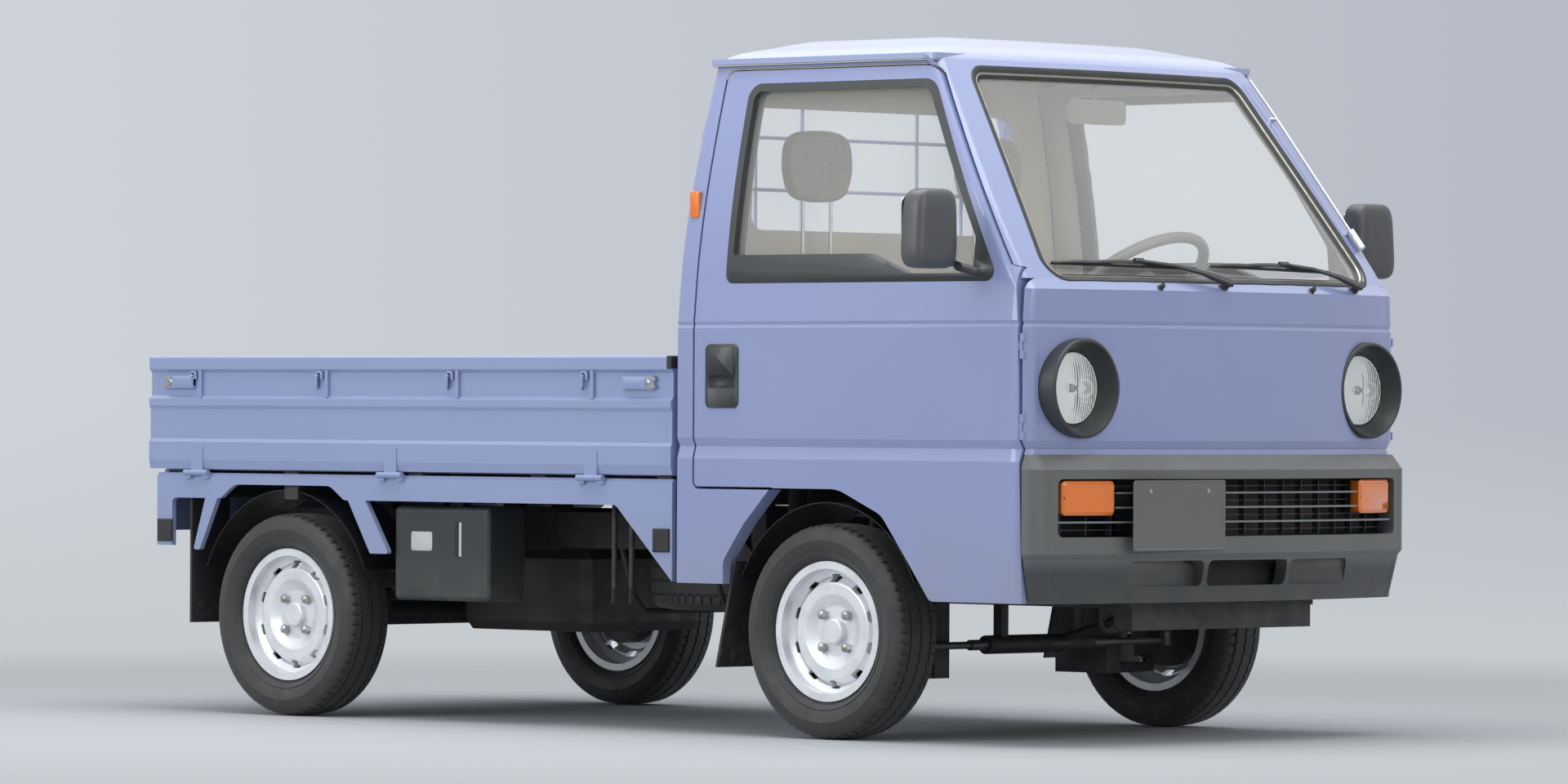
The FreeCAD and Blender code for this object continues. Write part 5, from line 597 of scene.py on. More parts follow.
def nut_ring_tree(finish):
    """Hexagon nuts with a domed top, standing on a circle about the Y axis."""
    tree, begin, end = start_tree("nut_ring", {
        "Count": ("Int", 4), "Circle": ("Float", 0.055), "Across Corners": ("Float", 0.0118),
        "Height": ("Float", 0.016), "Centre": ("Vector", (0, 0, 0)), "Outwards": ("Float", -1.0)})
    places = tree_node(tree, "GeometryNodeMeshCircle", [("Vertices", begin.outputs["Count"]),
                                                        ("Radius", begin.outputs["Circle"])])
    body = tree_node(tree, "GeometryNodeMeshCylinder",
                     [("Vertices", 6), ("Radius", begin.outputs["Across Corners"]),
                                                        ("Depth", begin.outputs["Height"])])
    narrow = tree_node(tree, "ShaderNodeMath", [(0, begin.outputs["Across Corners"]), (1, 0.8)],
                       operation="MULTIPLY")
    dome = tree_node(tree, "GeometryNodeMeshCone", [
        ("Vertices", 16), ("Radius Top", 0.003), ("Radius Bottom", narrow.outputs[0]), ("Depth", 0.005)])
    half_height = tree_node(tree, "ShaderNodeMath", [(0, begin.outputs["Height"]), (1, 0.5)],
                            operation="MULTIPLY")
    lift = tree_node(tree, "ShaderNodeCombineXYZ", [("Z", half_height.outputs[0])])
    raised = tree_node(tree, "GeometryNodeTransform", [("Geometry", dome.outputs["Mesh"]),
                                                       ("Translation", lift.outputs[0])])
    nut = tree_node(tree, "GeometryNodeJoinGeometry")
    tree.links.new(raised.outputs[0], nut.inputs[0])
    tree.links.new(body.outputs["Mesh"], nut.inputs[0])
    standing = tree_node(tree, "GeometryNodeInstanceOnPoints", [("Points", places.outputs[0]),
                                                               ("Instance", nut.outputs[0])])
    quarter = tree_node(tree, "GeometryNodeTransform", [("Geometry", standing.outputs[0]),
                                                        ("Rotation", (0, 0, math.radians(45)))])
    tilt_up = tree_node(tree, "ShaderNodeMath", [(0, begin.outputs["Outwards"]), (1, -math.pi / 2)],
                        operation="MULTIPLY")
    spin = tree_node(tree, "ShaderNodeCombineXYZ", [("X", tilt_up.outputs[0])])
    upright = tree_node(tree, "GeometryNodeTransform", [("Geometry", quarter.outputs[0]),
                                                        ("Translation", begin.outputs["Centre"]),
                                                        ("Rotation", spin.outputs[0])])
    real = tree_node(tree, "GeometryNodeRealizeInstances", [("Geometry", upright.outputs[0])])
    coated = tree_node(tree, "GeometryNodeSetMaterial", [("Geometry", real.outputs[0]), ("Material", finish)])
    tree.links.new(coated.outputs[0], end.inputs[0])
    return tree


nut_ring = nut_ring_tree(nut_plating)
for corner, (centre, side) in wheel_places.items():
    nuts = grown("wheel_nuts_" + corner, nut_ring, {
        "Centre": tuple(centre + Vector((0, side * 0.0245, 0))), "Outwards": float(side), "Height": 0.0175})
    fit(nuts, nut_plating, "wheel_" + corner)


# Spare: the same tyre and wheel, lying flat in its cradle under the bed's floor, its dish to the ground.
spare_low, spare_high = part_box("spare_wheel")
spare_centre = (spare_low + spare_high) / 2
lay_flat = Matrix.Rotation(math.radians(90), 4, "X")
spare_tyre = tyre_piece("treaded_spare_tyre", spare_centre, lay_flat)
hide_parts("spare_wheel")
fit(spare_tyre, tyre_black, "chassis")
spare_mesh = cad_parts["rim_front_right"].data.copy()
spare_mesh.transform(Matrix.Translation(spare_centre) @ lay_flat @ Matrix.Translation(-wheel_places["front_right"][0]))
spare_rim = finished("spare_rim", spare_mesh, 30)
fit(spare_rim, wheel_silver, "chassis")


# Windshield surround: an extruded rubber seal that clips over the edge of the body's opening and
# grips the glass, with a thin pale filler strip pushed into its groove.
front_axle = axle_x["front"]
screen_foot_z = 1.105
screen_rise = 0.529


def screen_surface(y, z, stand=0.0):
    """A point of the windshield's outer face line, moved stand along its outward normal."""
    t = (z - screen_foot_z) / screen_rise
    bow = 2.6 + 0.8 * t
    x = front_axle + 0.728 - 0.404 * t - y * y / (2 * bow)
    slope_z = -0.404 / screen_rise + y * y * 0.8 / (2 * bow * bow * screen_rise)
    normal = Vector((1.0, y / bow, -slope_z)).normalized()
    return Vector((x, y, z)) + normal * stand


def rounded_outline(corners, radius, grow, steps=10):
    """A rounded outline grown outwards, with the same number of points whatever the growth."""
    straight = 8
    count = len(corners)
    outline = []
    for i, here in enumerate(corners):
        before = Vector(corners[i - 1]) - Vector(here)
        after = Vector(corners[(i + 1) % count]) - Vector(here)
        back, ahead = before.normalized(), after.normalized()
        half = back.angle(ahead) / 2
        bisector = (back + ahead).normalized()
        centre = Vector(here) + bisector * (radius / math.sin(half))
        around = radius + grow
        first = Vector((back.y, -back.x))
        second = Vector((ahead.y, -ahead.x))
        if first.dot(bisector) > 0:
            first = -first
        if second.dot(bisector) > 0:
            second = -second
        turn = first.angle(second)
        for k in range(steps + 1):
            share = k / steps
            side = (first * math.sin(turn * (1 - share)) + second * math.sin(turn * share)) / math.sin(turn)
            outline.append(centre + side * around)
        next_corner = Vector(corners[(i + 1) % count])
        ahead_of_next = (Vector(corners[(i + 2) % count]) - next_corner).normalized()
        next_half = (-ahead).angle(ahead_of_next) / 2
        start = centre + second * around
        next_centre = next_corner + (-ahead + ahead_of_next).normalized() * (radius / math.sin(next_half))
        stop = next_centre + second * around
        for k in range(1, straight):
            outline.append(start.lerp(stop, k / straight))
    return outline


def swept_band(name, section, surface, corners, radius):
    """A closed band round an outline. Section is (growth, stand) points, surface puts them in space."""
    rings = [[surface(p.x, p.y, stand) for p in rounded_outline(corners, radius, grow)] for grow,
             stand in section]
    return lofted(name, rings, 42, closed=True)


def weathered_rubber(name, colour, pale):
    """Extruded seal rubber, chalked in places."""
    made, shader, place = start_finish(name)
    chalk = mottle(place, 16, -0.2, 0.9)
    feed(shader, Base_Color=two_tones(chalk, colour, pale), Roughness=mottle(place, 30, 0.42, 0.6))
    emboss(shader, [(mottle(place, 260, 0, 1, 2), 0.0003, 0.25)])
    return made


seal_black = weathered_rubber("seal_rubber", linear(30, 32, 33), linear(42, 43, 44))
screen_radius = 0.046
screen_corners = [(-0.598, 1.106), (0.598, 1.106), (0.488, 1.612), (-0.488, 1.612)]
seal_section = [(-0.017, -0.0205), (-0.017, -0.0125), (-0.013, -0.0085), (-0.006, -0.0025), (0.001, 0.0028),
                (0.006, 0.0030), (0.008, 0.0008), (0.0015, -0.0006), (-0.0005, -0.0150), (-0.0008, -0.0205)]
screen_seal = swept_band("windshield_seal", seal_section, screen_surface, screen_corners, screen_radius)
fit(screen_seal, seal_black, "chassis")
filler_section = [(-0.0118, -0.0088), (-0.0095, -0.0046), (-0.0075, -0.0030), (-0.0062, -0.0036),
                  (-0.0080, -0.0085)]
filler = swept_band("windshield_filler_strip", filler_section, screen_surface, screen_corners, screen_radius)
fit(filler, plated("filler_strip", linear(176, 172, 160), linear(150, 148, 140), 0.3), "chassis")


# Headlamps: a fluted glass dome sealed to a pressed reflector, with a capped bulb at its middle. The reflector stands
# for an aluminised bowl but has a near-white, mostly diffuse finish: painted reflection in place of the mirror's
# bright glare. The dark bezel round it is the CAD one.
lamp_middle_z = 0.847
lamp_middle_y = 0.529
lamp_face_x = front_axle + 0.719


def lathe(name, line, centre, steps=72, ripple=None):
    """A closed section of (depth towards the front, radius) points, turned about the truck's length."""
    rings = []
    for i in range(steps):
        angle = 2 * math.pi * i / steps
        ring = []
        for depth, radius in line:
            y, z = radius * math.cos(angle), radius * math.sin(angle)
            if ripple:
                depth += ripple(y, z, radius)
            ring.append(centre + Vector((depth, y, z)))
        rings.append(ring)
    return lofted(name, rings, 45, closed=True)


def joined_mesh(name, pieces):
    """Several fresh pieces kept as one."""
    whole = bmesh.new()
    for piece in pieces:
        whole.from_mesh(piece.data)
        bpy.data.objects.remove(piece)
    mesh = bpy.data.meshes.new(name)
    whole.to_mesh(mesh)
    whole.free()
    mesh.shade_smooth()
    mesh.set_sharp_from_angle(angle=math.radians(40))
    made = in_scene(name, mesh)
    return made


def flute(y, z, radius):
    """Upright flutes over the dome, fading at its rim."""
    fade = max(0.0, 1 - (radius / 0.086) ** 6)
    return 0.0007 * math.sin(y * 2 * math.pi / 0.0085) * fade


def fluted_glass():
    """Pressed headlamp glass: clear, with prism flutes and low blocks."""
    made, shader, place = start_finish("headlamp_glass")
    feed(shader, Base_Color=linear(244, 247, 246), Transmission_Weight=1.0, IOR=1.3, Roughness=0.0)
    emboss(shader, [(waves(place, "Y", 36.0), 0.0012, 0.4), (waves(place, "Z", 9.0), 0.0008, 0.25)])
    return made


lamp_glass_finish = fluted_glass()
# Painted reflection: the bowl is near-white and only 0.3 metallic, so its diffuse brightness stands in for the
# aluminised mirror's glare.
reflector_painted_reflection = plated("reflector_white_painted_reflection", linear(253, 253, 253), linear(249, 249, 249), 0.3)
reflector_painted_reflection.node_tree.nodes["Principled BSDF"].inputs["Metallic"].default_value = 0.3
bulb_finish = plated("bulb_cap", linear(205, 205, 204), linear(180, 180, 178), 0.15)
glass_pieces, bowl_pieces, bulb_pieces = [], [], []
for side in (-1, 1):
    middle = Vector((lamp_face_x, side * lamp_middle_y, lamp_middle_z))
    dome = [(-0.0505, 0.0885), (-0.0430, 0.0888)]
    dome += [(-0.0292 - 0.0138 * (k / 12) ** 2, 0.0888 * k / 12) for k in range(12, 0, -1)][1:]
    dome += [(-0.0292, 0.0001), (-0.0325, 0.0001)]
    dome += [(-0.0325 - 0.0138 * (k / 12) ** 2, 0.0850 * k / 12) for k in range(1, 13)]
    dome += [(-0.0505, 0.0850)]
    glass_pieces.append(lathe("lens", dome, middle, steps=120, ripple=flute))
    depths = [0.0045 * (k / 10) ** 2 for k in range(11)]
    inner = [(-0.0492 + depth, 0.010 + 0.0735 * (k / 10)) for k, depth in enumerate(depths)]
    outer = [(-0.0506 + depth, 0.010 + 0.0740 * (k / 10)) for k, depth in reversed(list(enumerate(depths)))]
    bowl_pieces.append(lathe("bowl", inner + outer, middle, steps=96))
    bulb = [(-0.0510, 0.0005), (-0.0510, 0.0105), (-0.0475, 0.0105), (-0.0470, 0.0080), (-0.0405, 0.0080),
            (-0.0382, 0.0060), (-0.0375, 0.0005)]
    bulb_pieces.append(lathe("bulb", bulb, middle, steps=24))
lamp_glass = joined_mesh("headlamp_fluted_glass", glass_pieces)
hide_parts("headlamp_lenses")
fit(lamp_glass, lamp_glass_finish, "chassis")
lamp_glass.visible_shadow = False
fit(joined_mesh("headlamp_reflectors", bowl_pieces), reflector_painted_reflection, "chassis")
fit(joined_mesh("headlamp_bulbs", bulb_pieces), bulb_finish, "chassis")

# Wipers: a splined boss on each spindle, a pressed arm in satin black, and a sprung blade that clips to
# its tip: one main bridge, two small yokes under it, and a rubber strip that lies along the glass.
def meeting(trees, start, way, reach=2.0):
    """Where a line first meets CAD nodes: the nearest point and its normal."""
    nearest = None
    for tree in trees:
        place, normal, _, distance = tree.ray_cast(start, way, reach)
        if place is not None and (nearest is None or distance < nearest[2]):
            nearest = (place, normal, distance)
    return nearest


def node_tree(name):
    """A search tree of a CAD node's faces."""
    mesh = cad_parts[name].data
    return BVHTree.FromPolygons([v.co for v in mesh.vertices], [tuple(p.vertices) for p in mesh.polygons])


bar_section = ((1, 0.55), (0.72, 1), (-0.72, 1), (-1, 0.55), (-1, -0.7), (-0.8, -1), (0.8, -1), (1, -0.7))


def lofted_bar(name, stations, up, smooth_below=35):
    """A closed bar through stations of (point, half width, half height), its flat side facing up."""
    rings = []
    for i, (at, wide, high) in enumerate(stations):
        before = stations[max(i - 1, 0)][0]
        after = stations[min(i + 1, len(stations) - 1)][0]
        run = (after - before).normalized()
        across = run.cross(up).normalized()
        lift = across.cross(run).normalized()
        rings.append([at + across * (w * wide) + lift * (h * high) for w, h in bar_section])
    return lofted(name, rings, smooth_below)


def turned(name, line, foot, way, steps=32):
    """A closed round piece: (height, radius) points turned about a line from foot along way."""
    way = Vector(way).normalized()
    side = way.orthogonal().normalized()
    other = way.cross(side)
    angles = [2 * math.pi * i / steps for i in range(steps)]
    arms = [side * math.cos(angle) + other * math.sin(angle) for angle in angles]
    rings = [[Vector(foot) + way * h + arm * max(r, 0.00001) for arm in arms] for h, r in line]
    return lofted(name, rings, 40)


screen_tree = node_tree("cab_glass")
nose_tree = node_tree("cab_front_panel")
toward_truck = Vector((-1, 0, 0))
screen_out = screen_surface(0, 1.13, 1.0) - screen_surface(0, 1.13, 0.0)
cowl_out = Vector((0.85, 0, 0.53)).normalized()
wiper_black = moulded("wiper_black", linear(30, 31, 33), linear(40, 41, 43), grain=900, depth=0.0002,
                      gloss=0.38)
wiper_pieces = []
blade_z = 1.131
blade_rise = 0.008


def on_glass(y, z, stand):
    """A point stand in front of the windshield's glass."""
    return meeting([screen_tree], Vector((2.2, y, z)), toward_truck)[0] + screen_out * stand


def along_blade(ends, share, stand):
    """A point in front of the glass, at a share of the way along the blade."""
    return on_glass(ends[0] + (ends[1] - ends[0]) * share, blade_z + blade_rise * share, stand)


def yoke(ends, centre_share, half_share, low, high, wide):
    """An arched pressing whose two ends hold the blade."""
    stations = []
    for k in range(13):
        along = -1 + 2 * k / 12
        at = along_blade(ends, centre_share + along * half_share,
                         low + (high - low) * (1 - abs(along) ** 2.2))
        stations.append((at, wide * (1.15 - 0.35 * abs(along)), 0.0017))
    return lofted_bar("wiper_yoke", stations, screen_out)


for pivot_y, tip_y in ((-0.060, -0.560), (0.480, -0.050)):
    swing = 1 if tip_y > pivot_y else -1
    foot = meeting([nose_tree], Vector((2.2, pivot_y, 1.092)), toward_truck)[0]
    boss = [(-0.006, 0.0135), (0.001, 0.0135), (0.0035, 0.0115), (0.014, 0.0105), (0.0215, 0.0105),
            (0.0245, 0.0085),
            (0.0252, 0.0040)]
    wiper_pieces.append(turned("wiper_boss", boss, foot, cowl_out))

    run = tip_y - pivot_y
    clip_y = pivot_y + run * 0.50
    clip = on_glass(clip_y, blade_z + 0.006, 0.023)
    head = foot + cowl_out * 0.019
    arm = []
    for share, wide, high in ((-0.045, 0.0085, 0.0048), (0.0, 0.0105, 0.0058), (0.10, 0.0100, 0.0056),
                              (0.24, 0.0082, 0.0050), (0.30, 0.0062, 0.0040), (0.62, 0.0046, 0.0026),
                              (0.92, 0.0040, 0.0022), (1.0, 0.0040, 0.0022)):
        at = head.lerp(clip, share)
        bow = 0.008 * math.sin(math.pi * max(0.0, min(1.0, share)))
        arm.append((at + screen_out * bow + Vector((0, 0, 0.004 * math.sin(math.pi * max(share, 0.0)))), wide,
                    high))
    wiper_pieces.append(lofted_bar("wiper_arm", arm, screen_out))
    blade_ends = (pivot_y + run * 0.10, tip_y)
    steps = 24
    for label, stand, wide, high in (("wiper_strip", 0.0042, 0.0013, 0.0036),
                                     ("wiper_backing", 0.0090, 0.0033, 0.0011)):
        line = [(along_blade(blade_ends, k / steps, stand), wide, high) for k in range(steps + 1)]
        wiper_pieces.append(lofted_bar(label, line, screen_out))
    for sizes in ((0.5, 0.27, 0.0135, 0.0215, 0.0048), (0.23, 0.17, 0.0098, 0.0150, 0.0042),
                  (0.77, 0.17, 0.0098, 0.0150, 0.0042)):
        wiper_pieces.append(yoke(blade_ends, *sizes))
    clip_stations = [(clip + screen_out * step - Vector((0, swing * 0.016, 0)) * side, 0.0058, 0.0040)
                     for step, side in ((0.001, 1), (0.001, -1))]
    wiper_pieces.append(lofted_bar("wiper_clip", clip_stations, screen_out))
wipers = joined_mesh("windshield_wipers", wiper_pieces)
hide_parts("wipers")
fit(wipers, wiper_black, "chassis")

# Washer jets: two moulded nozzles on the cowl, each a stub with a nib that points up at the glass.
jets = []
for y in (-0.280, 0.280):
    foot = meeting([nose_tree], Vector((2.2, y, 1.086)), toward_truck)[0]
    jets.append(turned("jet_stub", [(-0.004, 0.0085), (0.0015, 0.0085), (0.003, 0.0066), (0.0125, 0.0060),
                                    (0.0145, 0.0046)], foot, cowl_out, 24))
    nib = foot + cowl_out * 0.0095
    jets.append(turned("jet_nib", [(0.0, 0.0036), (0.0085, 0.0032), (0.0105, 0.0020)], nib,
                       (0.25, 0.0, 0.97), 16))
fit(joined_mesh("washer_jets", jets), wiper_black, "chassis")

# Grille: three thin slats in the bumper's grey, bowed like the nose, on a black lattice, with a near-black shroud
# behind it that closes the opening; the shroud's near-black is painted shade for the dark space behind the grille. The
# slats and the lattice repeat by geometry nodes.
nose_x = 1.5975
nose_bow = 2.6


def bowed(y, z, setback):
    """A point behind the bumper's bowed face."""
    return Vector((nose_x - setback - y * y / (2 * nose_bow), y, z))


def shaped_slab(name, corners, radius, layers, smooth_below=35):
    """A closed piece through rounded outlines: each layer is (growth, place of a point in space)."""
    rings = [[place(p.x, p.y) for p in rounded_outline(corners, radius, grow)] for grow, place in layers]
    return lofted(name, rings, smooth_below)


def along_nose(setback):
    """Places outline points behind the bumper's bowed face."""
    return lambda y, z: bowed(y, z, setback)


def facing_front(x):
    """Places outline points on an upright plane across the truck."""
    return lambda y, z: Vector((x, y, z))


def facing_side(y):
    """Places outline points on an upright plane along the truck."""
    return lambda x, z: Vector((x, y, z))


def oblong(low_u, high_u, low_v, high_v):
    """The four corners of a rectangle."""
    return [(low_u, low_v), (high_u, low_v), (high_u, high_v), (low_u, high_v)]


def bowed_rows_tree(finish):
    """Bars in rows and columns, bent backwards away from the truck's middle."""
    tree, begin, end = start_tree("bowed_rows", {
        "Rows": ("Int", 3), "Columns": ("Int", 1), "Row Pitch": ("Float", 0.03),
        "Column Pitch": ("Float", 0.1),
        "Bar": ("Vector", (0.02, 0.89, 0.004)), "Start": ("Vector", (0, 0, 0)), "Bow": ("Float", 2.6)})
    grid = tree_node(tree, "GeometryNodeMeshLine", [("Count", begin.outputs["Columns"])])
    step = tree_node(tree, "ShaderNodeCombineXYZ", [("Y", begin.outputs["Column Pitch"])])
    tree.links.new(step.outputs[0], grid.inputs["Offset"])
    bar = tree_node(tree, "GeometryNodeMeshCube", [("Size", begin.outputs["Bar"]), ("Vertices Y", 41)])
    across = tree_node(tree, "GeometryNodeInstanceOnPoints", [("Points", grid.outputs[0]),
                                                             ("Instance", bar.outputs["Mesh"])])
    stack = tree_node(tree, "GeometryNodeMeshLine", [("Count", begin.outputs["Rows"])])
    rise = tree_node(tree, "ShaderNodeCombineXYZ", [("Z", begin.outputs["Row Pitch"])])
    tree.links.new(rise.outputs[0], stack.inputs["Offset"])
    rows = tree_node(tree, "GeometryNodeInstanceOnPoints",
                     [("Points", stack.outputs[0]), ("Instance", across.outputs[0])])
    moved = tree_node(tree, "GeometryNodeTransform",
                      [("Geometry", rows.outputs[0]), ("Translation", begin.outputs["Start"])])
    real = tree_node(tree, "GeometryNodeRealizeInstances", [("Geometry", moved.outputs[0])])
    at = tree_node(tree, "GeometryNodeInputPosition")
    apart = tree_node(tree, "ShaderNodeSeparateXYZ", [("Vector", at.outputs[0])])
    squared = tree_node(tree, "ShaderNodeMath", [(0, apart.outputs["Y"]), (1, apart.outputs["Y"])],
                        operation="MULTIPLY")
    twice = tree_node(tree, "ShaderNodeMath", [(0, begin.outputs["Bow"]), (1, -2.0)], operation="MULTIPLY")
    back = tree_node(tree, "ShaderNodeMath", [(0, squared.outputs[0]), (1, twice.outputs[0])],
                     operation="DIVIDE")
    shift = tree_node(tree, "ShaderNodeCombineXYZ", [("X", back.outputs[0])])
    bent = tree_node(tree, "GeometryNodeSetPosition",
                     [("Geometry", real.outputs[0]), ("Offset", shift.outputs[0])])
    coated = tree_node(tree, "GeometryNodeSetMaterial", [("Geometry", bent.outputs[0]), ("Material", finish)])
    tree.links.new(coated.outputs[0], end.inputs[0])
    return tree


# Painted shade: the shroud is nearly black, darker than the grille, standing in for the shade in the openings behind
# the grille and the bumper.
shroud_shade_black = moulded("shroud_plastic_painted_shade", linear(18, 18, 19), linear(24, 24, 25), gloss=0.6)
slat_grey = moulded("slat_plastic", linear(118, 122, 124), linear(124, 128, 130), gloss=0.4)
bars = bowed_rows_tree(slat_grey)
upper_slats = grown("grille_slats", bars, {"Rows": 2, "Row Pitch": 0.0345, "Bar": (0.020, 0.892, 0.0042),
                                           "Start": (nose_x - 0.018, 0, 0.5655)})
low_slat = grown("grille_low_slat", bars,
                 {"Rows": 1, "Bar": (0.020, 1.230, 0.0042), "Start": (nose_x - 0.018, 0, 0.5310)})
slats = joined_mesh("grille_slats", [upper_slats, low_slat])
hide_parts("grille")
fit(slats, slat_grey, "chassis")
lattice = bowed_rows_tree(shroud_shade_black)
uprights = grown("grille_uprights", lattice,
                 {"Rows": 1, "Columns": 17, "Column Pitch": 0.074, "Bar": (0.018, 0.0028, 0.131),
                                              "Start": (nose_x - 0.037, -0.592, 0.5645)})
shelves = grown("grille_shelves", lattice, {"Rows": 4, "Row Pitch": 0.0345, "Bar": (0.014, 1.236, 0.0022),
                                            "Start": (nose_x - 0.039, 0, 0.5125)})
fit(joined_mesh("grille_lattice", [uprights, shelves]), grille_black, "chassis")
shrouds = [shaped_slab("shroud", oblong(-0.640, 0.640, 0.486, 0.643), 0.012,
                       [(0.0, along_nose(0.058)), (0.0, along_nose(0.061))]),
           shaped_slab("shroud", oblong(-0.170, 0.170, 0.366, 0.452), 0.012,
                       [(0.0, along_nose(0.072)), (0.0, along_nose(0.075))])]
fit(joined_mesh("grille_shroud", shrouds), shroud_shade_black, "chassis")

# Turn signals: a moulded amber lens with a stepped rim, held by two screws, and a
# small marker on each rear corner of the cab.
lens_pieces, screw_pieces = [], []
signal_tree = node_tree("indicators")
for side in (-1, 1):
    span = sorted((side * 0.4525, side * 0.6055))
    corners = oblong(span[0], span[1], 0.5475, 0.6290)
    lens_pieces.append(shaped_slab("lens", corners, 0.012, [
        (-0.0015, along_nose(0.048)), (-0.0015, along_nose(0.012)),
        (0.0, along_nose(0.0115)), (0.0, along_nose(0.0085)),
        (-0.0025, along_nose(0.0065)), (-0.0055, along_nose(0.0058)),
        (-0.0075, along_nose(0.0040))]))
    for y in (side * 0.4595, side * 0.5985):
        at = bowed(y, 0.588, 0.0063)
        screw_pieces.append(turned("screw", [(-0.003, 0.0030), (0.0008, 0.0030), (0.0016, 0.0022)], at,
                                   (1, 0, 0), 16))
    marker_at = meeting([signal_tree], Vector((front_axle - 0.440, side * 2, 1.2925)), Vector((0, -side, 0)))
    face_y = marker_at[0].y
    corners = oblong(front_axle - 0.4555, front_axle - 0.4245, 1.2595, 1.3255)
    lens_pieces.append(shaped_slab("lens", corners, 0.006, [
        (-0.001, facing_side(face_y - side * 0.0095)), (0.0, facing_side(face_y - side * 0.004)),
        (-0.001, facing_side(face_y - side * 0.0015)), (-0.004, facing_side(face_y))]))
signals = joined_mesh("turn_signals", lens_pieces)
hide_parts("indicators")
fit(signals, amber_lens, "chassis")
fit(joined_mesh("signal_screws", screw_pieces), wiper_black, "chassis")

# Number plate: a blank pressed sheet in dark grey on the bumper's bracket, with two bolts.
board_finish = sprayed_steel("plate_enamel", linear(98, 98, 96), linear(94, 94, 92), gloss=0.5, coat=0.2,
                             film=0.1)


board = shaped_slab("number_board", oblong(-0.4370, -0.1030, 0.4630, 0.6300), 0.009, [
    (0.0, facing_front(1.5954)), (0.0, facing_front(1.5963)), (-0.0015, facing_front(1.5969)),
    (-0.0040, facing_front(1.5969)),
    (-0.0055, facing_front(1.5962))], 8)
fit(board, board_finish, "chassis")
bolts = [turned("bolt", [(-0.002, 0.0055), (0.0006, 0.0055), (0.0011, 0.0040)],
                Vector((1.5963, -0.215 + step, 0.604)),
                (1, 0, 0), 20) for step in (-0.160, 0.050)]
fit(joined_mesh("board_bolts", bolts), nut_plating, "chassis")

# Door mirrors: a hollow moulded head, rounded on every side, on the stay of the door's seal, with a
# flat mirror in its rear face.
mirror_finish = moulded("mirror_plastic", linear(70, 72, 75), linear(78, 80, 83), grain=900, depth=0.0002,
                        gloss=0.36)
mirror_silver = plated("mirror_silver", linear(232, 235, 238), linear(228, 231, 234), 0.01)


def without_head(name, node, side):
    """The door's fittings cut off where the mirror's stay goes into its head."""
    work = bmesh.new()
    work.from_mesh(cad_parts[node].data)
    bmesh.ops.remove_doubles(work, verts=work.verts, dist=1e-6)
    bmesh.ops.bisect_plane(work, geom=work.verts[:] + work.edges[:] + work.faces[:], dist=1e-7,
                           plane_co=(0, side * 0.737, 0), plane_no=(0, side, 0), clear_outer=True)
    bmesh.ops.holes_fill(work, edges=[e for e in work.edges if e.is_boundary], sides=0)
    mesh = bpy.data.meshes.new(name)
    work.to_mesh(mesh)
    work.free()
    return finished(name, mesh, 35)


def mirror_head(side):
    """The head: rounded sections stacked from its foot to its crown."""
    rows, around = 26, 48
    rings = []
    for i in range(rows):
        t = i / (rows - 1)
        rise = math.sin(math.pi * (t - 0.5)) * 0.5 + 0.5
        z = 1.1255 + 0.189 * rise
        swell = max(0.0, 1 - abs(2 * rise - 1) ** 5) ** (1 / 5) if 0 < i < rows - 1 else 0.02
        lean = 0.012 * rise
        half_y = (0.0745 - 0.008 * rise) * swell
        half_x = (0.0352 - 0.002 * rise) * swell
        middle = Vector((1.2505 + 0.0355, side * (0.815 - lean * 0.5), z))
        ring = []
        for k in range(around):
            angle = 2 * math.pi * k / around
            c, s = math.cos(angle), math.sin(angle)
            wide = math.copysign(abs(s) ** (2 / 5.0), s)
            deep = math.copysign(abs(c) ** (2 / (3.4 if c > 0 else 9.0)), c)
            ring.append(middle + Vector((half_x * deep, half_y * wide, 0)))
        rings.append(ring)
    return lofted("mirror_head", rings, 60)


for side, side_name in ((-1, "right"), (1, "left")):
    fittings = without_head("door_trim_" + side_name, "door_fittings_" + side_name, side)
    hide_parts("door_fittings_" + side_name)
    fit(fittings, fitting_black, side_name + "_door")
    stem = lofted_bar("mirror_stem", [(Vector((1.2865, side * 0.735, 1.1405)), 0.010, 0.010),
                                      (Vector((1.2865, side * 0.764, 1.1560)), 0.013, 0.012)],
                                      Vector((1, 0, 0)), 60)
    head = joined_mesh("mirror_shell_" + side_name, [mirror_head(side), stem])
    fit(head, mirror_finish, side_name + "_door")
    low, high = sorted((side * 0.752, side * 0.876))
    pane = shaped_slab("mirror_pane_" + side_name, oblong(low, high, 1.146, 1.296), 0.020, [
        (0.0, facing_front(1.2530)), (0.0, facing_front(1.2512)),
        (-0.0006, facing_front(1.2508))])
    fit(pane, mirror_silver, side_name + "_door")

# Cab lining: pale vinyl board clipped to the inside of the roof, pillars and rear wall, and a card on
# each door. Each panel is a 2 mm sheet that follows the steel behind it.
def outwards(at):
    """The way out of the cab from a point of its shell: to the side, the front, the rear or up."""
    if at.z > 1.60:
        return Vector((0, 0, 1))
    if abs(at.y) > 0.5:
        return Vector((0, math.copysign(1, at.y), 0))
    return Vector((1 if at.x > front_axle + 0.25 else -1, 0, 0))


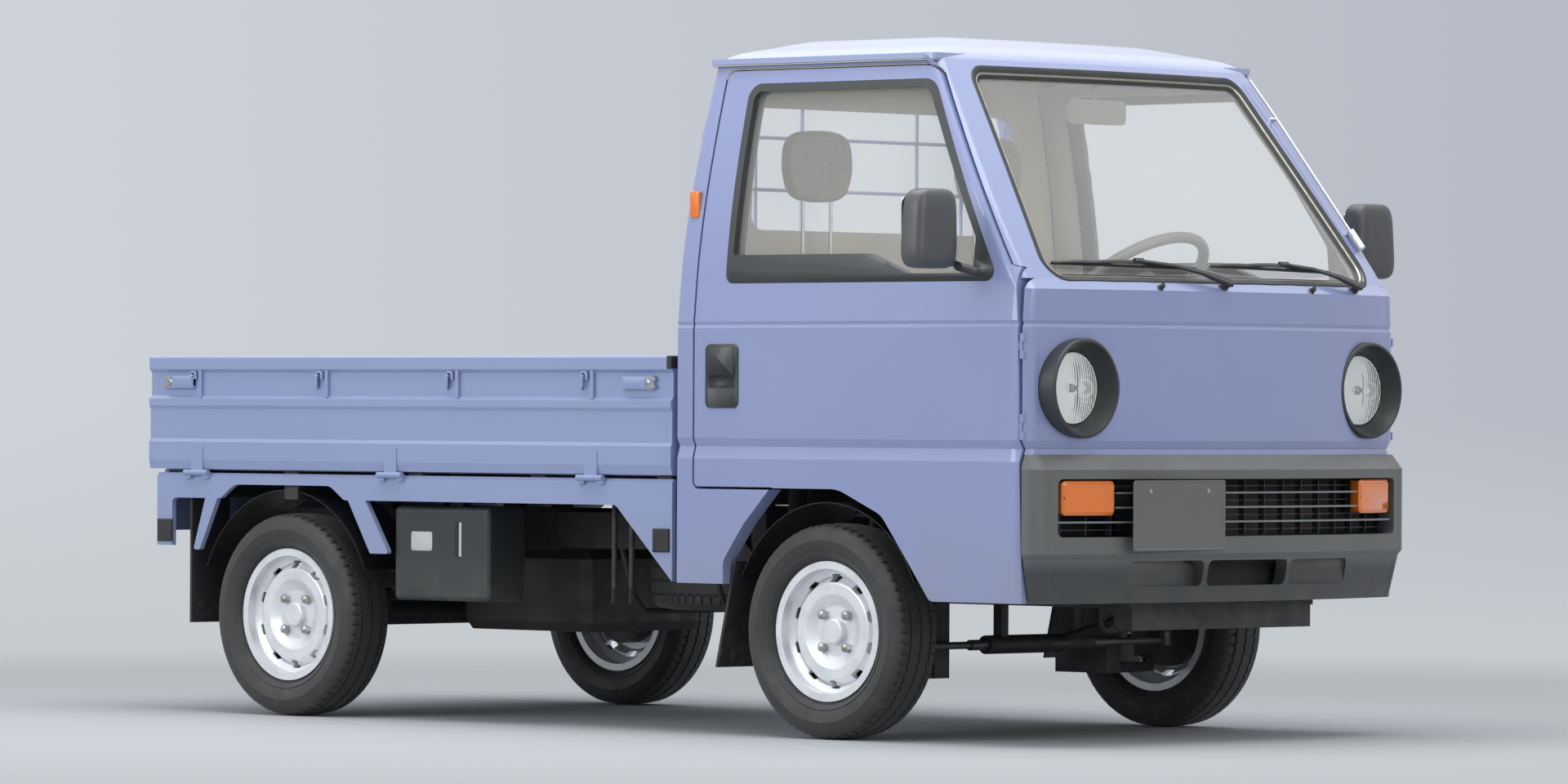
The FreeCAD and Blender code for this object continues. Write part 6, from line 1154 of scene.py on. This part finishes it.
def lined(name, nodes, keep, way_out=outwards, lift=0.0012, thickness=0.002, deepest=0.120):
    """A thin sheet over the inner skin of CAD nodes, where keep(centre, normal) holds."""
    whole = bmesh.new()
    for node in nodes:
        whole.from_mesh(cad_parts[node].data)
    bmesh.ops.remove_doubles(whole, verts=whole.verts, dist=1e-6)
    skins = BVHTree.FromBMesh(whole)
    dropped = []
    for face in whole.faces:
        centre = face.calc_center_median()
        inside = keep(centre, face.normal)
        if inside:
            hit = skins.ray_cast(centre - face.normal * 0.0005, -face.normal, deepest)
            inside = hit[0] is not None
        if inside:
            hit = skins.ray_cast(centre + face.normal * 0.001, way_out(centre), 0.5)
            inside = hit[0] is not None
        if not inside:
            dropped.append(face)
    bmesh.ops.delete(whole, geom=dropped, context="FACES")
    bmesh.ops.dissolve_degenerate(whole, dist=1e-6, edges=whole.edges)
    whole.normal_update()
    ways = {v: v.normal.copy() for v in whole.verts}
    for vertex, way in ways.items():
        vertex.co += way * lift
    mesh = bpy.data.meshes.new(name)
    whole.to_mesh(mesh)
    whole.free()
    sheet = in_scene(name, mesh)
    thick = sheet.modifiers.new("sheet", "SOLIDIFY")
    thick.thickness = thickness
    thick.offset = 1.0
    bpy.context.view_layer.update()
    solid = bpy.data.meshes.new_from_object(sheet.evaluated_get(bpy.context.evaluated_depsgraph_get()))
    bpy.data.objects.remove(sheet)
    solid.name = name
    return finished(name, solid, 35)


def vinyl(name, colour, shade):
    """Soft pale vinyl with a fine pebble grain."""
    made, shader, place = start_finish(name)
    feed(shader, Base_Color=two_tones(mottle(place, 2.6, 0.0, 1.0), colour, shade),
         Roughness=mottle(place, 9, 0.58, 0.74))
    emboss(shader, [(mottle(place, 3, 0, 1, 2), 0.004, 0.15), (pores(place, 380.0), 0.0005, 0.3)])
    return made


headliner_cream = vinyl("headliner_vinyl", linear(198, 193, 180), linear(190, 185, 171))
card_cream = vinyl("door_card_vinyl", linear(168, 163, 150), linear(160, 155, 141))
cab_heart = Vector((front_axle + 0.06, 0.0, 1.28))


def faces_the_cabin(centre, normal):
    """Whether a face of the cab's shell looks at the people in it."""
    return normal.dot((cab_heart - centre).normalized()) > 0.25 and centre.x > front_axle - 0.46


def above_the_belt(centre, normal):
    """The lined part of the shell."""
    return centre.z > 1.112 and faces_the_cabin(centre, normal)


def to_the_rear(at):
    """The way out through the rear wall."""
    return Vector((-1, 0, 0))


def to_the_side(at):
    """The way out through a door."""
    return Vector((0, math.copysign(1, at.y), 0))


def door_inside(centre, normal):
    """The inner face of a door, below its window."""
    return normal.y * math.copysign(1, centre.y) < -0.35 and abs(centre.y) > 0.48 and centre.z > 0.45


fit(lined("headliner", ["cab_roof"], faces_the_cabin), headliner_cream, "chassis")
fit(lined("pillar_trims", ["cab_frame"], above_the_belt), headliner_cream, "chassis")
fit(lined("rear_wall_trim", ["cab_back_panel"], faces_the_cabin, to_the_rear), headliner_cream,
    "chassis")
fit(lined("door_card_right", ["door_right"], door_inside, to_the_side), card_cream,
    "right_door")
fit(lined("door_card_left", ["door_left"], door_inside, to_the_side), card_cream, "left_door")

# Seats: woven cloth over moulded foam, two cushions and two backs sewn with side bolsters and cross
# channels, and a headrest on two plated posts in each back.
def foam_block(name, stations, half_width):
    """A padded block: (x, z) outline points, swept across half_width, its ends pulled in a little."""
    rows = ((-1.0, 0.80), (-0.94, 0.93), (-0.78, 1.0), (-0.4, 1.0), (0.0, 1.0), (0.4, 1.0), (0.78, 1.0),
            (0.94, 0.93),
            (1.0, 0.80))
    middle_x = sum(p[0] for p in stations) / len(stations)
    middle_z = sum(p[1] for p in stations) / len(stations)
    rings = [[(middle_x + (x - middle_x) * swell, half_width * across, middle_z + (z - middle_z) * swell)
              for x, z in stations] for across, swell in rows]
    return lofted(name, rings, 80)


def dense_outline(corners, spacing=0.016):
    """Points every few millimetres along a closed outline."""
    points = []
    for i, start in enumerate(corners):
        stop = corners[(i + 1) % len(corners)]
        run = math.dist(start, stop)
        parts = max(1, round(run / spacing))
        points += [(start[0] + (stop[0] - start[0]) * k / parts, start[1] + (stop[1] - start[1]) * k / parts)
                   for k in range(parts)]
    return points


def stuffed(piece, cap, voxel=0.006):
    """Swells a closed pad as cloth over foam, moving no point further than cap."""
    remesh = piece.modifiers.new("even_mesh", "REMESH")
    remesh.mode = "VOXEL"
    remesh.voxel_size = voxel
    remesh.use_smooth_shade = True
    bpy.context.view_layer.update()
    even = bpy.data.meshes.new_from_object(piece.evaluated_get(bpy.context.evaluated_depsgraph_get()))
    piece.modifiers.clear()
    piece.data = even
    rest = [v.co.copy() for v in even.vertices]
    cloth = piece.modifiers.new("cover", "CLOTH")
    cloth.settings.quality = 5
    cloth.settings.mass = 0.4
    cloth.settings.use_pressure = True
    cloth.settings.uniform_pressure_force = 4.0
    cloth.settings.tension_stiffness = 14
    cloth.settings.compression_stiffness = 14
    cloth.settings.shear_stiffness = 6
    cloth.settings.bending_stiffness = 0.6
    cloth.settings.effector_weights.gravity = 0.0
    cloth.collision_settings.use_collision = False
    cloth.collision_settings.use_self_collision = False
    for step in range(1, 21):
        bpy.context.scene.frame_set(step)
    swollen = bpy.data.meshes.new_from_object(piece.evaluated_get(bpy.context.evaluated_depsgraph_get()))
    piece.modifiers.clear()
    piece.data = swollen
    for vertex, start in zip(swollen.vertices, rest):
        move = vertex.co - start
        if move.length > cap:
            vertex.co = start + move.normalized() * cap
    bpy.context.scene.frame_set(1)
    return piece


def sewn(piece, seams, depth, width):
    """Presses seams into a pad: each is (test of a point, signed distance) and pulls the cover in."""
    mesh = piece.data
    for vertex, normal in zip(mesh.vertices, [v.normal.copy() for v in mesh.vertices]):
        pull = 0.0
        for seam in seams:
            distance = seam(vertex.co, normal)
            if distance is not None:
                pull = max(pull, math.exp(-(distance / width) ** 2))
        vertex.co -= normal * depth * pull
    return piece


def woven_cloth(name, colour, shade, slub):
    """Seat cloth: fine plain weave with thicker weft yarns drawn across the seat."""
    made, shader, place = start_finish(name)
    worn = mottle(place, 5, 0.0, 0.7)
    yarns = mottle(place, 60, -0.2, 0.7, detail=3, stretch=(1.0, 1.0, 3.0))
    base = two_tones(yarns, two_tones(worn, colour, shade), slub)
    feed(shader, Base_Color=base, Roughness=mottle(place, 12, 0.8, 0.95), Sheen_Weight=0.35,
         Sheen_Roughness=0.5, Specular_IOR_Level=0.2)
    weave = product(waves(place, "Y", 190.0), waves(place, "Z", 150.0))
    emboss(shader, [(weave, 0.0006, 0.45), (yarns, 0.0008, 0.35), (mottle(place, 9, 0, 1, 2), 0.004, 0.15)])
    return made


seat_cloth = woven_cloth("seat_cloth", linear(158, 153, 143), linear(146, 141, 131), linear(134, 128, 118))
seat_side = 0.315
cushion_low, cushion_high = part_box("seat_cushions")
cushion_outline = dense_outline([
    (front_axle - 0.335, cushion_low.z + 0.004), (front_axle - 0.335, 0.775), (front_axle - 0.300, 0.806),
    (front_axle - 0.150, 0.812), (front_axle + 0.030, 0.820), (front_axle + 0.085, 0.818),
    (front_axle + 0.115, 0.795), (front_axle + 0.122, 0.750), (front_axle + 0.110, cushion_low.z + 0.004)])
back_outline = dense_outline([
    (front_axle - 0.292, 0.828), (front_axle - 0.300, 0.880), (front_axle - 0.312, 1.060),
    (front_axle - 0.330, 1.098),
    (front_axle - 0.352, 1.108), (front_axle - 0.372, 1.096), (front_axle - 0.376, 1.040),
    (front_axle - 0.366, 0.830)])


def cushion_seams(co, normal):
    """Two lengthwise seams inside the bolsters, on the cushion's top."""
    return abs(abs(co.y) - 0.150) if normal.z > 0.35 else None


def cushion_channels(co, normal):
    """Cross channels between the bolsters."""
    if normal.z < 0.35 or abs(co.y) > 0.146:
        return None
    return min(abs(co.x - front_axle - at) for at in (-0.235, -0.135, -0.035))


def back_seams(co, normal):
    """Upright seams inside the bolsters, on the back's front."""
    return abs(abs(co.y) - 0.148) if normal.x > 0.35 else None


def back_channels(co, normal):
    """Cross channels of the back."""
    if normal.x < 0.35 or abs(co.y) > 0.144:
        return None
    return min(abs(co.z - at) for at in (0.895, 0.960, 1.025))


def piping(co, normal):
    """The welted seam round each pad's sides."""
    return abs(abs(co.y) - 0.212)


def finer(piece):
    """One level of subdivision on a pad's cover."""
    fine = piece.modifiers.new("fine", "SUBSURF")
    fine.levels = fine.render_levels = 1


def placed_pad(pad, name, side):
    """One side's copy of a pad."""
    mesh = pad.data.copy()
    mesh.transform(Matrix.Translation((0, side * seat_side, 0)))
    made = finished(name, mesh, 60)
    finer(made)
    fit(made, seat_cloth, "chassis")
    return made


cushion_pad = sewn(sewn(stuffed(foam_block("cushion_pad", cushion_outline, 0.218), 0.022),
                        [cushion_seams, cushion_channels], 0.006, 0.006), [piping], 0.004, 0.004)
back_pad = sewn(sewn(stuffed(foam_block("back_pad", back_outline, 0.218), 0.018),
                     [back_seams, back_channels], 0.005, 0.006), [piping], 0.004, 0.004)
for side_name, side in (("right", -1), ("left", 1)):
    for pad, label in ((cushion_pad, "cushion"), (back_pad, "back")):
        made = placed_pad(pad, "seat_" + label + "_" + side_name, side)
bpy.data.objects.remove(cushion_pad)
bpy.data.objects.remove(back_pad)
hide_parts("seat_cushions")
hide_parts("seat_backs")

# Headrests: a smaller rounded pad each, its cover drawn tight, on plated posts set in the back.
headrest_x = front_axle - 0.358
headrest_middle = 1.392


def eased(value, power=0.42):
    """Fills out a sine or cosine, so that a ball becomes a loaf."""
    return math.copysign(abs(value) ** power, value)


def headrest_pad(name, side):
    """A pad rounded like a loaf, broad at the top and drawn in towards its posts."""
    rows, columns = 26, 40
    half_y, half_x, half_z = 0.1135, 0.0275, 0.0885
    rings = []
    for i in range(rows + 1):
        lean = math.pi * i / rows - math.pi / 2
        ring = []
        for j in range(columns):
            turn = 2 * math.pi * j / columns
            y = half_y * eased(math.cos(lean)) * eased(math.cos(turn))
            x = half_x * eased(math.cos(lean)) * eased(math.sin(turn))
            z = half_z * eased(math.sin(lean))
            narrowing = 1.0 - 0.13 * max(0.0, -z / half_z) - 0.05 * max(0.0, z / half_z)
            crown = -0.010 * (y / half_y) ** 2 * (1 if z > 0 else -1)
            ring.append((headrest_x + x, side * seat_side + y * narrowing, headrest_middle + z + crown))
        rings.append(ring)
    made = lofted(name, rings, 80)
    finer(made)
    return made


posts = []
for side_name, side in (("right", -1), ("left", 1)):
    rest_pad = headrest_pad("headrest_" + side_name, side)
    fit(rest_pad, seat_cloth, "chassis")
    for step in (-0.050, 0.050):
        y = side * seat_side + step
        posts.append(turned("post", [(0.0, 0.0105), (0.006, 0.0105), (0.008, 0.0085), (0.0085, 0.0050),
                                     (0.245, 0.0050)],
                            (headrest_x, y, 1.096), (0, 0, 1), 20))
fit(joined_mesh("headrest_posts", posts), chrome, "chassis")

# Wheelhouses: a black rubber-coated liner over each wheel, which keeps mud off the steel behind it. Its near-black,
# darker than the other rubber, is painted shade for the deep shadow inside the arches.
def arched_liner(name, centre, side, radius, far, near, start, stop, thick=0.002):
    """A curved sheet over a wheel, between two distances from the truck's middle."""
    steps = 48
    rings = []
    for k in range(steps + 1):
        angle = math.radians(start + (stop - start) * k / steps)
        rings.append([(centre.x + around * math.cos(angle), side * y, centre.z + around * math.sin(angle))
                      for around, y in ((radius, far), (radius + thick, far), (radius + thick, near),
                                        (radius, near))])
    return lofted(name, rings, 35)


# Painted shade: the liner's near-black stands in for the shade inside the wheel arches.
liner_shade_black = weathered_rubber("liner_rubber_painted_shade", linear(15, 15, 16), linear(24, 24, 24))
liners = []
for side in (-1, 1):
    liners.append(arched_liner("liner", wheel_places["rear_right"][0], side, 0.318, 0.664, 0.470, 22, 158))
    liners.append(arched_liner("liner", wheel_places["front_right"][0], side, 0.309, 0.655, 0.400, 24, 156))
fit(joined_mesh("wheelhouse_shade_liners", liners), liner_shade_black, "chassis")

# Rain gutter: a thin painted channel that ends the roof's seam, turns down the windshield pillar and
# runs to the cowl, a little proud of the pillar.
gutter_line = [(0.250, 1.641), (0.260, 1.636), (0.268, 1.622), (0.277, 1.604), (0.289, 1.585), (0.308, 1.556),
               (0.342, 1.503), (0.376, 1.449), (0.444, 1.349), (0.515, 1.243), (0.578, 1.146)]
shell_trees = [node_tree("cab_frame"), node_tree("cab_roof")]
gutters = []
for side in (-1, 1):
    stations = []
    for i, (x, z) in enumerate(gutter_line):
        met = meeting(shell_trees, Vector((front_axle + x, side * 2, z)), Vector((0, -side, 0)))
        if met is None or abs(met[0].y) < 0.45:
            continue
        swell = 1 + 0.45 * max(0.0, 1 - i / 4)
        depth = -0.0040 if i < 2 else 0.0025
        stations.append((met[0] + Vector((0, side * depth, 0)), 0.0048 * swell, 0.0044 * swell))
    gutters.append(lofted_bar("gutter", stations, Vector((0, side, 0))))
fit(joined_mesh("rain_gutters", gutters), cab_blue, "chassis")

# Rope hooks of the gates: bent rods welded under the top rail, each with a stiffening rib beside it,
# repeated along the gate by geometry nodes.
def hooks_tree(finish):
    """Pairs of hook and rib along the truck, at one pitch."""
    tree, begin, end = start_tree("rope_hooks", {
        "Count": ("Int", 4), "Pitch": ("Float", 0.4777), "Start": ("Vector", (0, 0, 0)),
        "Outwards": ("Float", -1.0),
        "Rod": ("Float", 0.0042), "Drop": ("Float", 0.034)})
    line = tree_node(tree, "GeometryNodeMeshLine", [("Count", begin.outputs["Count"])])
    step = tree_node(tree, "ShaderNodeCombineXYZ", [("X", begin.outputs["Pitch"])])
    tree.links.new(step.outputs[0], line.inputs["Offset"])
    arc = tree_node(tree, "GeometryNodeCurveArc",
                    [("Resolution", 18), ("Radius", 0.0095), ("Start Angle", 0.0),
                                                   ("Sweep Angle", math.pi)])
    down = tree_node(tree, "GeometryNodeCurvePrimitiveLine",
                     [("Start", (-0.0095, 0, 0)), ("End", (-0.0095, -0.034, 0))])
    short = tree_node(tree, "GeometryNodeCurvePrimitiveLine",
                      [("Start", (0.0095, 0, 0)), ("End", (0.0095, -0.010, 0))])
    profile = tree_node(tree, "GeometryNodeCurvePrimitiveCircle",
                        [("Resolution", 12), ("Radius", begin.outputs["Rod"])])
    bodies = tree_node(tree, "GeometryNodeJoinGeometry")
    for curve in (arc, down, short):
        rod = tree_node(tree, "GeometryNodeCurveToMesh",
                        [("Curve", curve.outputs[0]), ("Profile Curve", profile.outputs[0]),
                                                          ("Fill Caps", True)])
        tree.links.new(rod.outputs[0], bodies.inputs[0])
    up = tree_node(tree, "GeometryNodeTransform",
                   [("Geometry", bodies.outputs[0]), ("Rotation", (math.pi / 2, 0, 0))])
    rib = tree_node(tree, "GeometryNodeMeshCube", [("Size", (0.009, 0.0075, 0.070))])
    rib_at = tree_node(tree, "GeometryNodeTransform",
                       [("Geometry", rib.outputs["Mesh"]), ("Translation", (0.030, 0, -0.021))])
    both = tree_node(tree, "GeometryNodeJoinGeometry")
    tree.links.new(up.outputs[0], both.inputs[0])
    tree.links.new(rib_at.outputs[0], both.inputs[0])
    placed = tree_node(tree, "GeometryNodeInstanceOnPoints",
                       [("Points", line.outputs[0]), ("Instance", both.outputs[0])])
    moved = tree_node(tree, "GeometryNodeTransform",
                      [("Geometry", placed.outputs[0]), ("Translation", begin.outputs["Start"])])
    real = tree_node(tree, "GeometryNodeRealizeInstances", [("Geometry", moved.outputs[0])])
    coated = tree_node(tree, "GeometryNodeSetMaterial", [("Geometry", real.outputs[0]), ("Material", finish)])
    tree.links.new(coated.outputs[0], end.inputs[0])
    return tree


hook_rows = hooks_tree(bed_blue)
latch_steel = plated("latch_plating", linear(188, 190, 192), linear(150, 151, 152), 0.28)
for side, side_name in ((-1, "right"), (1, "left")):
    face = side * 0.6825
    hooks = grown("gate_hooks_" + side_name, hook_rows, {"Start": (-1.4225, face, 0.874)})
    fit(hooks, bed_blue, side_name + "_gate")
    levers, works = [], []
    for x, way in ((0.1455, 1), (-1.4170, -1)):
        ends = sorted((x, x + way * 0.082))
        levers.append(shaped_slab("lever", oblong(ends[0], ends[1], 0.841, 0.871), 0.006, [
            (0.0, facing_side(side * 0.6795)), (0.0, facing_side(side * 0.6876)),
            (-0.002, facing_side(side * 0.6890))]))
        pivot = Vector((x + way * 0.090, side * 0.6855, 0.857))
        works.append(turned("pivot", [(0.0, 0.0085), (0.0025, 0.0085), (0.0038, 0.0060)], pivot, (0, side, 0),
                            24))
        tail = sorted((x + way * 0.086, x + way * 0.118))
        for low in (0.844, 0.862):
            works.append(shaped_slab("fork", oblong(tail[0], tail[1], low, low + 0.008), 0.0025, [
                (0.0, facing_side(side * 0.685)), (0.0, facing_side(side * 0.6886))]))
    fit(joined_mesh("gate_levers_" + side_name, levers), bed_blue, side_name + "_gate")
    fit(joined_mesh("gate_latch_works_" + side_name, works), latch_steel, side_name + "_gate")
    cap = shaped_slab("gate_cap_" + side_name, oblong(0.2995, 0.3165, 0.8895, 0.9235), 0.005, [
        (0.0, facing_side(side * 0.6600)), (0.0, facing_side(side * 0.6865)),
        (-0.002, facing_side(side * 0.6882))])
    fit(cap, seal_black, side_name + "_gate")

# Battery box under the bed: a small riveted window and an upright finger slot in its lid; the slot is a flat
# near-black plate, painted shade for the dark inside of the opening.
box_pale = moulded("box_window", linear(196, 197, 198), linear(186, 187, 188), grain=300, depth=0.0002,
                   gloss=0.4)
# Painted shade: the finger slot is a flat near-black plate on the box's face, standing in for the shade inside the
# opening.
slot_shade_dark = moulded("box_slot", linear(16, 17, 18), linear(20, 21, 22), gloss=0.6)
window_at = oblong(-0.6275, -0.5515, 0.4320, 0.4800)
window = shaped_slab("box_window", window_at, 0.007, [
    (0.0, facing_side(-0.6560)), (0.0, facing_side(-0.6586)),
    (-0.001, facing_side(-0.6590))])
fit(window, box_pale, "chassis")
rivets = [turned("rivet", [(0.0, 0.0022), (0.0009, 0.0020), (0.0015, 0.0011)], Vector((x, -0.6588, z)),
                 (0, -1, 0), 12)
          for x in (-0.6200, -0.5590) for z in (0.4385, 0.4735)]
fit(joined_mesh("box_rivets", rivets), latch_steel, "chassis")
slot = shaped_slab("box_slot", oblong(-0.4710, -0.4450, 0.4180, 0.5060), 0.006, [
    (0.0, facing_side(-0.6560)), (0.0, facing_side(-0.6587))])
fit(slot, slot_shade_dark, "chassis")
slot_edge = shaped_slab("box_slot_edge", oblong(-0.4540, -0.4450, 0.4190, 0.5050), 0.003, [
    (0.0, facing_side(-0.6570)), (0.0, facing_side(-0.6592))])
fit(slot_edge, box_pale, "chassis")

# Door locks: a plated key barrel under each handle.
for side, side_name in ((-1, "right"), (1, "left")):
    door_tree = node_tree("door_" + side_name)
    skin = meeting([door_tree], Vector((front_axle - 0.345, side * 2, 0.815)), Vector((0, -side, 0)))
    if skin:
        barrel = turned("lock", [(-0.002, 0.0105), (0.0010, 0.0105), (0.0020, 0.0092), (0.0022, 0.0050)],
                        skin[0], (0, side, 0), 28)
        fit(joined_mesh("door_lock_" + side_name, [barrel]), latch_steel, side_name + "_door")
